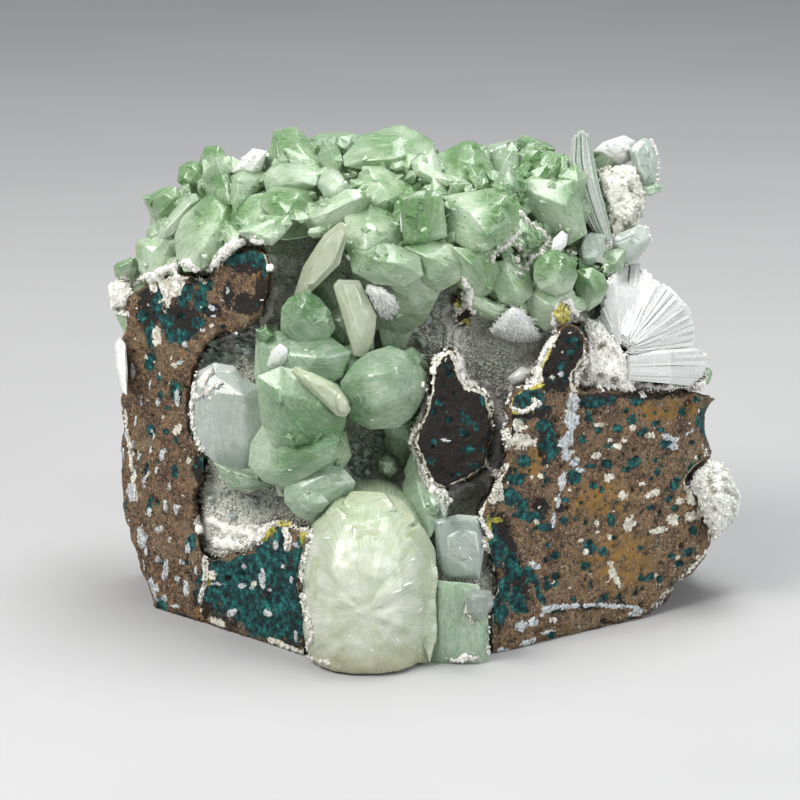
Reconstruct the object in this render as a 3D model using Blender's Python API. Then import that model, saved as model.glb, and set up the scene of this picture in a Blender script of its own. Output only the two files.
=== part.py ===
# Green apophyllite with stilbite on a vesicular basalt matrix.
# Units: metres, +Z up, +X to the viewer's right, the front of the specimen faces -Y.
# The origin is at the middle of the footprint, on the resting face.

import bpy
import bmesh
import math
import random
import numpy as np
from mathutils import Matrix, Vector

for ob in list(bpy.data.objects):
    bpy.data.objects.remove(ob, do_unlink=True)

# ------------------------------------------------------------------ driving dimensions (mm)
MM = 0.001
GAP = 0.34                 # clearance kept between touching pieces
LINING_T = 2.6             # thickness of the druse lining
FLOOR_CLEAR = 0.4          # crystals at the foot stop this far above the resting face
BACK_OF_CHEEKS = 9.0       # the front rock masses run back to this depth
WIDTH, DEPTH, HEIGHT = 121.0, 84.0, 93.7   # overall size the layout aims at
SHIFT = (-0.18, -0.40, 0.0)    # moves the whole layout so that the footprint's middle is the origin

# The layout is drawn as a front elevation seen slightly from above: a sheet position
# (u, v) plus a depth y gives a point in the specimen.
TILT = math.radians(14.0)
RANGE = 650.0
SHEET = 3444.4
AIM = (-4.5, 0.0, 41.6)
ST, CT = math.sin(TILT), math.cos(TILT)
EYE = (AIM[0], AIM[1] - RANGE * CT, AIM[2] + RANGE * ST)


def direction(u, v):
    kx = (u - 400.0) / SHEET
    ky = (400.0 - v) / SHEET
    return kx, CT + ky * ST, -ST + ky * CT


def at(u, v, y):
    dx, dy, dz = direction(u, v)
    t = (y - EYE[1]) / dy
    return Vector((EYE[0] + t * dx, y, EYE[2] + t * dz))


def on_face(u, v, p0, p1):
    """Point of the sheet position on the upright plane through p0 and p1 (x, y)."""
    dx, dy, dz = direction(u, v)
    a, b = p1[1] - p0[1], -(p1[0] - p0[0])
    t = -(a * (EYE[0] - p0[0]) + b * (EYE[1] - p0[1])) / (a * dx + b * dy)
    return Vector((EYE[0] + t * dx, EYE[1] + t * dy, EYE[2] + t * dz))


def sheet_of(p):
    x, y, z = p[0] - EYE[0], p[1] - EYE[1], p[2] - EYE[2]
    f = y * CT - z * ST
    h = y * ST + z * CT
    return 400.0 + SHEET * x / f, 400.0 - SHEET * h / f


# depth of the outer surface over the sheet, (u, v, y)
SKIN = [
    (110, 290, 8), (150, 250, 4), (150, 200, 11), (200, 260, -9), (200, 200, 3), (200, 165, 9),
    (250, 240, -17), (250, 170, 5), (275, 140, 8), (240, 200, -5), (300, 230, -19), (300, 190, -8),
    (300, 140, 6), (350, 260, -22), (350, 200, -14), (350, 160, -2), (340, 135, 9), (400, 280, -23),
    (420, 220, -17), (400, 170, -6), (400, 128, 8), (460, 250, -20), (460, 190, -12), (460, 150, 2),
    (500, 300, -17), (500, 230, -16), (510, 190, -9), (510, 145, 12), (540, 280, -14), (545, 200, -3),
    (545, 160, 6), (560, 310, -13), (590, 290, -7), (600, 240, 3), (585, 180, 8), (580, 140, 12),
    (620, 200, 9), (625, 150, 13), (645, 160, 13), (630, 245, 8), (650, 310, 3), (690, 340, 5),
    (620, 360, -4), (660, 370, 0), (700, 370, 5), (195, 420, -5), (230, 360, -9), (230, 430, -13),
    (260, 380, -17), (300, 330, -20), (300, 400, -25), (320, 460, -26), (350, 410, -24),
    (380, 390, -22), (420, 380, -20), (430, 320, -13), (500, 355, -11), (300, 260, -15),
    (370, 320, -17), (372, 455, -15), (240, 510, -16), (320, 490, -26), (470, 545, -27), (460, 625, -31),
]


def skin(u, v):
    top = bot = 0.0
    for su, sv, sy in SKIN:
        d2 = (u - su) ** 2 + (v - sv) ** 2 + 4.0
        w = 1.0 / (d2 * d2)
        top += w * sy
        bot += w
    return top / bot


# outline of the whole specimen on the sheet, for keeping hidden crystals behind it
OUTLINE = [
    (105, 297), (107, 285), (113, 264), (134, 257), (137, 240), (146, 228), (156, 222), (148, 210),
    (141, 196), (165, 187), (176, 186), (179, 169), (189, 161), (198, 160), (205, 146), (220, 145),
    (229, 153), (240, 157), (255, 148), (268, 150), (270, 152), (274, 130), (296, 126), (309, 137),
    (320, 133), (346, 132), (359, 133), (400, 124), (426, 134), (435, 145), (453, 143), (476, 141),
    (493, 146), (511, 139), (524, 134), (534, 140), (555, 146), (567, 153), (570, 138), (581, 131),
    (592, 141), (594, 150), (605, 144), (624, 136), (635, 141), (645, 137), (654, 143), (658, 156),
    (659, 182), (661, 191), (646, 197), (645, 205), (640, 212), (639, 223), (647, 225), (650, 238),
    (645, 249), (632, 264), (641, 268), (652, 278), (669, 286), (675, 297), (688, 310), (692, 331),
    (693, 350), (706, 362), (709, 383), (719, 398), (705, 410), (703, 424), (704, 440), (709, 454),
    (721, 462), (733, 481), (742, 497), (740, 513), (724, 532), (712, 543), (698, 561), (676, 580),
    (664, 598), (643, 619), (602, 635), (561, 643), (529, 651), (501, 660), (469, 666), (430, 672),
    (381, 681), (359, 675), (329, 664), (279, 649), (220, 637), (172, 620), (155, 608), (147, 584),
    (134, 541), (125, 488), (119, 445), (123, 410), (125, 388), (113, 344), (111, 327),
]


def inside_outline(u, v, margin=3.0):
    hit = False
    n = len(OUTLINE)
    near = 1e9
    for i in range(n):
        x1, y1 = OUTLINE[i]
        x2, y2 = OUTLINE[(i + 1) % n]
        if (y1 > v) != (y2 > v) and u < (x2 - x1) * (v - y1) / (y2 - y1) + x1:
            hit = not hit
        ex, ey = x2 - x1, y2 - y1
        s = max(0.0, min(1.0, ((u - x1) * ex + (v - y1) * ey) / (ex * ex + ey * ey)))
        near = min(near, math.hypot(u - x1 - s * ex, v - y1 - s * ey))
    return hit and near >= margin


# ------------------------------------------------------------------ collections and materials
scene = bpy.context.scene
PARTS = bpy.data.collections.new("green_apophyllite")
CUTTERS = bpy.data.collections.new("cutters")
scene.collection.children.link(PARTS)
scene.collection.children.link(CUTTERS)


def material(name, color, rough, transmission=0.0):
    mat = bpy.data.materials.new(name)
    mat.use_nodes = True
    b = mat.node_tree.nodes["Principled BSDF"]
    b.inputs["Base Color"].default_value = (*color, 1.0)
    b.inputs["Roughness"].default_value = rough
    b.inputs["Metallic"].default_value = 0.0
    b.inputs["Transmission Weight"].default_value = transmission
    b.inputs["IOR"].default_value = 1.535
    mat.diffuse_color = (*color, 1.0)
    return mat


# ------------------------------------------------------------------ shape helpers (mm in, metres out)
def new_object(name, bm, collection=CUTTERS, shifted=False):
    bmesh.ops.recalc_face_normals(bm, faces=bm.faces)
    if not shifted:
        bmesh.ops.translate(bm, vec=Vector(SHIFT) * MM, verts=bm.verts)
    me = bpy.data.meshes.new(name)
    bm.to_mesh(me)
    bm.free()
    ob = bpy.data.objects.new(name, me)
    collection.objects.link(ob)
    if collection is CUTTERS:
        ob.hide_render = True
        ob.display_type = 'WIRE'
    return ob


def hull(name, points):
    """Convex crystal through the given corners."""
    bm = bmesh.new()
    for p in points:
        bm.verts.new(Vector(p) * MM)
    res = bmesh.ops.convex_hull(bm, input=bm.verts)
    drop = [g for g in res["geom_interior"] + res["geom_unused"] if isinstance(g, bmesh.types.BMVert)]
    bmesh.ops.delete(bm, geom=list(set(drop)), context='VERTS')
    bmesh.ops.remove_doubles(bm, verts=bm.verts, dist=0.00002)
    bmesh.ops.dissolve_limit(bm, angle_limit=math.radians(1.5), verts=bm.verts, edges=bm.edges)
    return new_object(name, bm)


def loft(name, rings):
    """Closed skin over unlike sections with equal point counts."""
    bm = bmesh.new()
    layers = [[bm.verts.new(Vector(p) * MM) for p in ring] for ring in rings]
    n = len(rings[0])
    for a, b in zip(layers, layers[1:]):
        for i in range(n):
            bm.faces.new((a[i], a[(i + 1) % n], b[(i + 1) % n], b[i]))
    bm.faces.new(layers[0])
    bm.faces.new(layers[-1])
    return new_object(name, bm)


def box(name, lo, hi):
    bm = bmesh.new()
    bmesh.ops.create_cube(bm, size=1.0)
    for v in bm.verts:
        v.co = Vector([(lo[i] + (v.co[i] + 0.5) * (hi[i] - lo[i])) * MM for i in range(3)])
    return new_object(name, bm)


def inflate(ob, d):
    """Copy of a closed shape with every face moved out by d mm."""
    bm = bmesh.new()
    bm.from_mesh(ob.data)
    bmesh.ops.triangulate(bm, faces=bm.faces)
    bm.normal_update()
    moves = []
    for v in bm.verts:
        normals = []
        for f in v.link_faces:
            if f.calc_area() > 1e-12 and all(f.normal.dot(n) < 0.9995 for n in normals):
                normals.append(f.normal.copy())
        if not normals:
            moves.append(v.normal * (d * MM))
            continue
        a = np.array([list(n) for n in normals])
        m = np.linalg.lstsq(a, np.full(len(normals), 1.0), rcond=0.05)[0]
        low = float((a @ m).min())
        if low < 0.98:
            m = m * min(2.0, 1.0 / max(low, 0.2))
        size = float(np.linalg.norm(m))
        if size > 3.5:
            m = m * (3.5 / size)
        moves.append(Vector(m.tolist()) * (d * MM))
    for v, m in zip(bm.verts, moves):
        v.co += m
    return new_object(ob.name + "_grown", bm, shifted=True)


def outline_block(name, outline, front, back_y, root=None):
    """A block whose front section is the outline on a face and whose back section lies deeper.
    root = (y, scale, u, v) adds a smaller section further in, drawn towards the sheet point u, v."""
    rings = [[front(u, v) for u, v in outline], [at(u, v, back_y) for u, v in outline]]
    if root is not None:
        y, k, cu, cv = root
        rings.append([at(cu + (u - cu) * k, cv + (v - cv) * k, y) for u, v in outline])
    return loft(name, rings)


def centre(outline):
    return (sum(p[0] for p in outline) / len(outline), sum(p[1] for p in outline) / len(outline))


def gem_points(outline, dy=0.0, tips=None, th=14.0, back=0.7, drop=6.0, bevel=2.0, table=0.55, tilt=0.6):
    """Corners of a crystal whose girdle is the outline; tips are (u, v, forward) facet corners."""
    uc, vc = centre(outline)
    y0 = skin(uc, vc) + dy
    su = max(-0.25, min(0.25, (skin(uc + 8, vc) - skin(uc - 8, vc)) / 16.0)) * tilt
    sv = max(-0.25, min(0.25, (skin(uc, vc + 8) - skin(uc, vc - 8)) / 16.0)) * tilt
    pts = []
    for i, (u, v) in enumerate(outline):
        pts.append(at(u, v, y0 + su * (u - uc) + sv * (v - vc)))
        if i % 2 == 0:
            pts.append(at(uc + (u - uc) * back, vc + (v - vc) * back + drop, y0 + th + su * (u - uc) * back))
    if tips is None:
        for u, v in (outline if len(outline) < 6 else outline[::2]):
            a, b = (u - uc) * table, (v - vc) * table
            pts.append(at(uc + a, vc + b, y0 - bevel + su * a + sv * b))
    else:
        for u, v, f in tips:
            pts.append(at(u, v, y0 - f + su * (u - uc) + sv * (v - vc)))
    return pts


def spike_points(base, d, w, l, roll, taper=0.55, cap=0.25, w2=None):
    """Four-sided prism with a blunt four-sided tip."""
    d = Vector(d).normalized()
    side = d.cross(Vector((0.31, 0.2, 0.93)))
    side.normalize()
    other = d.cross(side)
    base = Vector(base)
    w2 = w if w2 is None else w2
    pts = []
    for s, k in ((0.0, 1.0), (l * taper, 1.0), (l, cap)):
        for q in range(4):
            a = roll + q * math.pi / 2 + math.pi / 4
            pts.append(base + d * s + side * (math.cos(a) * w * 0.707 * k) + other * (math.sin(a) * w2 * 0.707 * k))
    return pts


def boolean(ob, others, operation):
    if not others:
        return
    group = bpy.data.collections.new("operands")
    scene.collection.children.link(group)
    for o in others:
        group.objects.link(o)
    m = ob.modifiers.new("join", 'BOOLEAN')
    m.operand_type = 'COLLECTION'
    m.collection = group
    m.operation = operation
    m.solver = 'EXACT'
    graph = bpy.context.evaluated_depsgraph_get()
    graph.update()
    me = bpy.data.meshes.new_from_object(ob.evaluated_get(graph))
    ob.modifiers.remove(m)
    old = ob.data
    ob.data = me
    bpy.data.meshes.remove(old)
    bpy.data.collections.remove(group)


def tidy(ob, flattest=1.3):
    """Weld hairline edges, merge flat runs and keep the largest body only."""
    for merge, flat in ((0.00004, flattest), (0.00002, flattest * 0.7), (0.00002, flattest * 0.4), (0.00001, 0.2), (0.000005, 0.1)):
        bm = bmesh.new()
        bm.from_mesh(ob.data)
        bmesh.ops.remove_doubles(bm, verts=bm.verts, dist=merge)
        bmesh.ops.dissolve_degenerate(bm, dist=merge, edges=bm.edges)
        bmesh.ops.dissolve_limit(bm, angle_limit=math.radians(flat), verts=bm.verts, edges=bm.edges)
        bmesh.ops.triangulate(bm, faces=bm.faces)
        bmesh.ops.remove_doubles(bm, verts=bm.verts, dist=merge)
        bmesh.ops.dissolve_degenerate(bm, dist=merge, edges=bm.edges)
        keep_largest(bm)
        if all(len(e.link_faces) == 2 for e in bm.edges):
            break
        bm.free()
    bmesh.ops.recalc_face_normals(bm, faces=bm.faces)
    bm.to_mesh(ob.data)
    bm.free()


def keep_largest(bm):
    left = set(bm.faces)
    best, best_vol = None, -1.0
    islands = []
    while left:
        f = left.pop()
        island, stack = [f], [f]
        while stack:
            g = stack.pop()
            for e in g.edges:
                for h in e.link_faces:
                    if h in left:
                        left.remove(h)
                        island.append(h)
                        stack.append(h)
        vol = 0.0
        for g in island:
            a, b, c = [v.co for v in g.verts[:3]]
            vol += a.dot(b.cross(c)) / 6.0
        islands.append(island)
        if vol > best_vol:
            best, best_vol = island, vol
    for island in islands:
        if island is not best:
            bmesh.ops.delete(bm, geom=island, context='FACES')
    loose = [v for v in bm.verts if not v.link_faces]
    bmesh.ops.delete(bm, geom=loose, context='VERTS')


def reach(ob):
    cs = [v.co for v in ob.data.vertices]
    return ([min(c[i] for c in cs) for i in range(3)], [max(c[i] for c in cs) for i in range(3)])


def near_each_other(a, b, pad=0.0008):
    la, ha = reach(a)
    lb, hb = reach(b)
    return all(la[i] - pad < hb[i] and lb[i] - pad < ha[i] for i in range(3))


FLOOR = box("floor_cutter", (-120, -120, -60), (120, 120, 0))
GROWN = {}          # node -> grown source shapes that its neighbours are cut by


def make_node(name, sources, mat, cut_by=(), floor=None, grow=GAP, flattest=1.3):
    """Join the sources into one solid, clear it of the named earlier nodes and keep it."""
    GROWN[name] = [inflate(s, grow) for s in sources]
    body = bpy.data.objects.new(name, sources[0].data.copy())
    PARTS.objects.link(body)
    boolean(body, sources[1:], 'UNION')
    cutters = []
    for other in cut_by:
        cutters += [g for g in GROWN[other] if near_each_other(g, body)]
    if floor is not None:
        cutters.append(floor)
    boolean(body, cutters, 'DIFFERENCE')
    tidy(body, flattest)
    body.data.materials.clear()
    body.data.materials.append(mat)
    return body


# ------------------------------------------------------------------ basalt matrix
PROW = (-8.0, -42.0)
LEFT_CORNER = (-51.5, 1.5)
RIGHT_CORNER = (41.7, -5.4)


def left_face(u, v):
    return on_face(u, v, PROW, LEFT_CORNER)


def right_face(u, v):
    return on_face(u, v, PROW, RIGHT_CORNER)


# plan sections of the rock behind the cavity, height then (x, y)
CORE = [
    (-6, [(-48, 6), (-37, -5), (-26, -15), (-11, -21), (6, -22), (20, -20), (31, -12), (41, -3), (44, 9), (39, 26), (22, 37), (-2, 41), (-27, 38), (-43, 26)]),
    (4, [(-48, 6), (-37, -5), (-26, -15), (-11, -21), (6, -22), (20, -20), (31, -12), (42, -3), (46, 9), (40, 27), (22, 38), (-2, 41.5), (-28, 39), (-44, 26)]),
    (16, [(-50, 8), (-39, -3), (-27, -14), (-11, -21), (6, -21), (20, -18), (36, -8), (47, 2), (51, 13), (45, 30), (25, 40), (-3, 42), (-30, 40), (-48, 27)]),
    (29, [(-51, 9), (-40, -2), (-28, -9), (-11, -11), (5, -10), (19, -11), (38, -4), (51, 6), (54, 17), (47, 32), (26, 40.5), (-3, 42.3), (-31, 41), (-50, 28)]),
    (43, [(-51, 9), (-41, -1), (-29, -6), (-11, -6), (5, -5), (20, -7), (36, 0), (49, 8), (51, 18), (45, 31), (25, 40), (-3, 42), (-31, 40), (-50, 28)]),
    (54, [(-50, 10), (-40, 0), (-28, -6), (-10, -7), (6, -8), (20, -8), (31, -1), (41, 7), (43, 17), (38, 29), (22, 37), (-3, 40), (-29, 37), (-48, 27)]),
    (62, [(-48, 10), (-39, -1), (-27, -8), (-10, -9), (6, -9), (19, -7), (29, 0), (36, 8), (37, 17), (33, 27), (20, 35), (-3, 38), (-27, 35), (-45, 25)]),
    (69, [(-41, 9), (-33, -2), (-24, -8), (-9, -7), (6, -6), (17, -2), (25, 4), (32, 10), (32, 18), (28, 25), (17, 31), (-3, 34), (-24, 31), (-37, 22)]),
    (75, [(-31, 10), (-25, 2), (-18, 0), (-7, 0), (5, 1), (12, 4), (19, 8), (24, 12), (24, 18), (20, 22), (12, 26), (-3, 28), (-18, 26), (-28, 20)]),
]

# broken faces on the rear and the sides of the rock: a point and the way the face looks
FRACTURES = [
    ((33, 33, 34), (0.62, 0.76, 0.12)),
    ((-37, 34, 30), (-0.62, 0.77, 0.10)),
    ((-6, 39.5, 10), (0.10, 0.86, -0.50)),
    ((4, 40.2, 46), (0.16, 0.95, 0.28)),
    ((-22, 39.0, 40), (-0.22, 0.95, 0.20)),
    ((44, 20, 9), (0.80, 0.32, -0.50)),
    ((-47, 22, 10), (-0.84, 0.30, -0.45)),
    ((-45, 24, 56), (-0.72, 0.42, 0.55)),
    ((26, 34, 58), (0.42, 0.66, 0.62)),
]

LEFT_CHEEK = [
    (240, 249), (255, 247), (270, 255), (271, 272), (266, 296), (258, 322), (240, 330), (222, 332),
    (208, 345), (198, 360), (192, 378), (189, 409), (192, 434), (205, 456), (207, 472), (197, 495),
    (200, 530), (204, 556), (228, 561), (243, 553), (254, 556), (260, 542), (265, 526),
    (281, 521), (297, 528), (311, 530), (305, 554), (300, 586), (305, 612), (306, 660), (262, 650),
    (206, 636), (172, 622), (155, 610), (147, 584), (143, 572), (134, 541), (130, 519), (125, 488), (123, 462),
    (119, 445), (123, 430), (123, 410), (124, 393), (121, 360), (120, 341), (127, 325), (126, 310),
    (133, 296), (146, 283), (160, 276), (176, 272), (191, 276), (204, 279), (214, 277), (217, 263), (228, 253),
]
RIGHT_BLOCK = [
    (563, 326), (574, 325), (583, 328), (587, 355), (582, 366), (573, 378), (577, 392), (600, 391),
    (620, 394), (640, 391), (660, 394), (680, 390), (700, 391), (719, 398), (712, 404), (705, 410),
    (703, 424), (704, 440), (708, 454), (706, 462), (697, 467), (688, 478), (687, 486), (696, 494),
    (706, 505), (710, 520), (712, 541), (705, 550), (698, 561), (676, 580), (664, 598), (643, 619),
    (640, 640), (561, 660), (490, 680), (492, 628), (490, 600), (496, 587), (490, 560), (484, 540), (478, 515), (488, 492),
    (501, 472), (508, 455), (505, 440), (512, 425), (508, 405), (510, 396), (522, 388), (537, 383),
    (537, 368), (543, 356), (550, 344), (557, 334),
]
TEARDROP = [
    (449, 349), (455, 350), (464, 383), (478, 388), (486, 394), (492, 415), (493, 430), (489, 450),
    (488, 467), (469, 479), (448, 489), (434, 487), (424, 470), (418, 451), (413, 444), (418, 428),
    (424, 414), (429, 396), (432, 368), (440, 354),
]
KNOB_A = [(449, 294), (455, 291), (460, 296), (459, 305), (453, 304)]
KNOB_B = [(455, 326), (456, 315), (465, 308), (471, 311), (470, 319), (463, 326)]

core = loft("core", [[(x, y, z) for x, y in ring] for z, ring in CORE])
slabs = []
for i, (spot, way) in enumerate(FRACTURES):
    n = Vector(way).normalized()
    slab = box("fracture_%d" % i, (-80, -80, 0), (80, 80, 60))
    turn = n.to_track_quat('Z', 'Y').to_matrix().to_4x4()
    slab.data.transform(turn)
    slab.data.transform(Matrix.Translation(Vector(spot) * MM))
    slabs.append(slab)
boolean(core, slabs, 'DIFFERENCE')
tidy(core)
cheek = outline_block("left_cheek", LEFT_CHEEK, left_face, BACK_OF_CHEEKS, root=(26.0, 0.86, 200, 440))
block = outline_block("right_block", RIGHT_BLOCK, right_face, BACK_OF_CHEEKS + 4, root=(30.0, 0.84, 585, 500))


def shelf(depth_left, depth_right, u0=413.0, u1=493.0):
    def front(u, v):
        return at(u, v, depth_left + (depth_right - depth_left) * (u - u0) / (u1 - u0))
    return front


tear = outline_block("teardrop", TEARDROP, shelf(-27.0, -21.5), 2.0)
knob_a = outline_block("knob_a", KNOB_A, shelf(-16.5, -16.0, 449, 460), 2.0)
knob_b = outline_block("knob_b", KNOB_B, shelf(-16.5, -15.5, 455, 471), 2.0)

BASALT = material("basalt", (0.13, 0.085, 0.05), 0.85)
make_node("basalt_matrix", [core, cheek, block, tear, knob_a, knob_b], BASALT, floor=FLOOR, flattest=0.3)

# ------------------------------------------------------------------ druse lining of the vug and of the rock's top
lining_src = inflate(core, LINING_T)
lining_src.name = "lining_source"
REAR_EDGE = [(-60, 50), (-44, 56), (-33, 52), (-20, 61), (-6, 56), (8, 63), (17, 55), (28, 60), (37, 50), (60, 46)]
trims = []
for (xa, za), (xb, zb) in zip(REAR_EDGE, REAR_EDGE[1:]):
    pts = [(xa - 0.2, 4.0, za), (xb + 0.2, 4.0, zb), (xa - 0.2, 90, za + 4), (xb + 0.2, 90, zb + 4)]
    pts += [(x, y, -60) for x, y, z in pts]
    trims.append(hull("lining_edge_%d" % len(trims), pts))
trim_low = box("lining_low", (-90, -90, -60), (90, 90, 5.0))
lining_core = bpy.data.objects.new("lining_core", lining_src.data.copy())
CUTTERS.objects.link(lining_core)
lining_core.hide_render = True
boolean(lining_core, trims + [trim_low], 'DIFFERENCE')
DRUSE = material("druse", (0.42, 0.43, 0.38), 0.55)
GROWN_CORE = inflate(core, LINING_T + GAP)
make_node("druse_lining", [lining_core], DRUSE, cut_by=("basalt_matrix",), flattest=0.3)
GROWN["druse_lining"] = [GROWN_CORE]

# ------------------------------------------------------------------ crystals, each by its girdle outline
G_CROWN = material("apophyllite_green", (0.36, 0.60, 0.35), 0.22, 0.6)
G_DEEP = material("apophyllite_deep", (0.25, 0.50, 0.27), 0.22, 0.6)
G_PALE = material("apophyllite_pale", (0.52, 0.58, 0.42), 0.3, 0.45)
G_GREY = material("apophyllite_grey", (0.38, 0.48, 0.45), 0.25, 0.55)
WHITE = material("stilbite_white", (0.78, 0.78, 0.74), 0.35, 0.2)
CREAM = material("zeolite_cream", (0.66, 0.64, 0.54), 0.6)
CLEAR = material("quartz_clear", (0.75, 0.78, 0.76), 0.1, 0.8)

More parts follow.
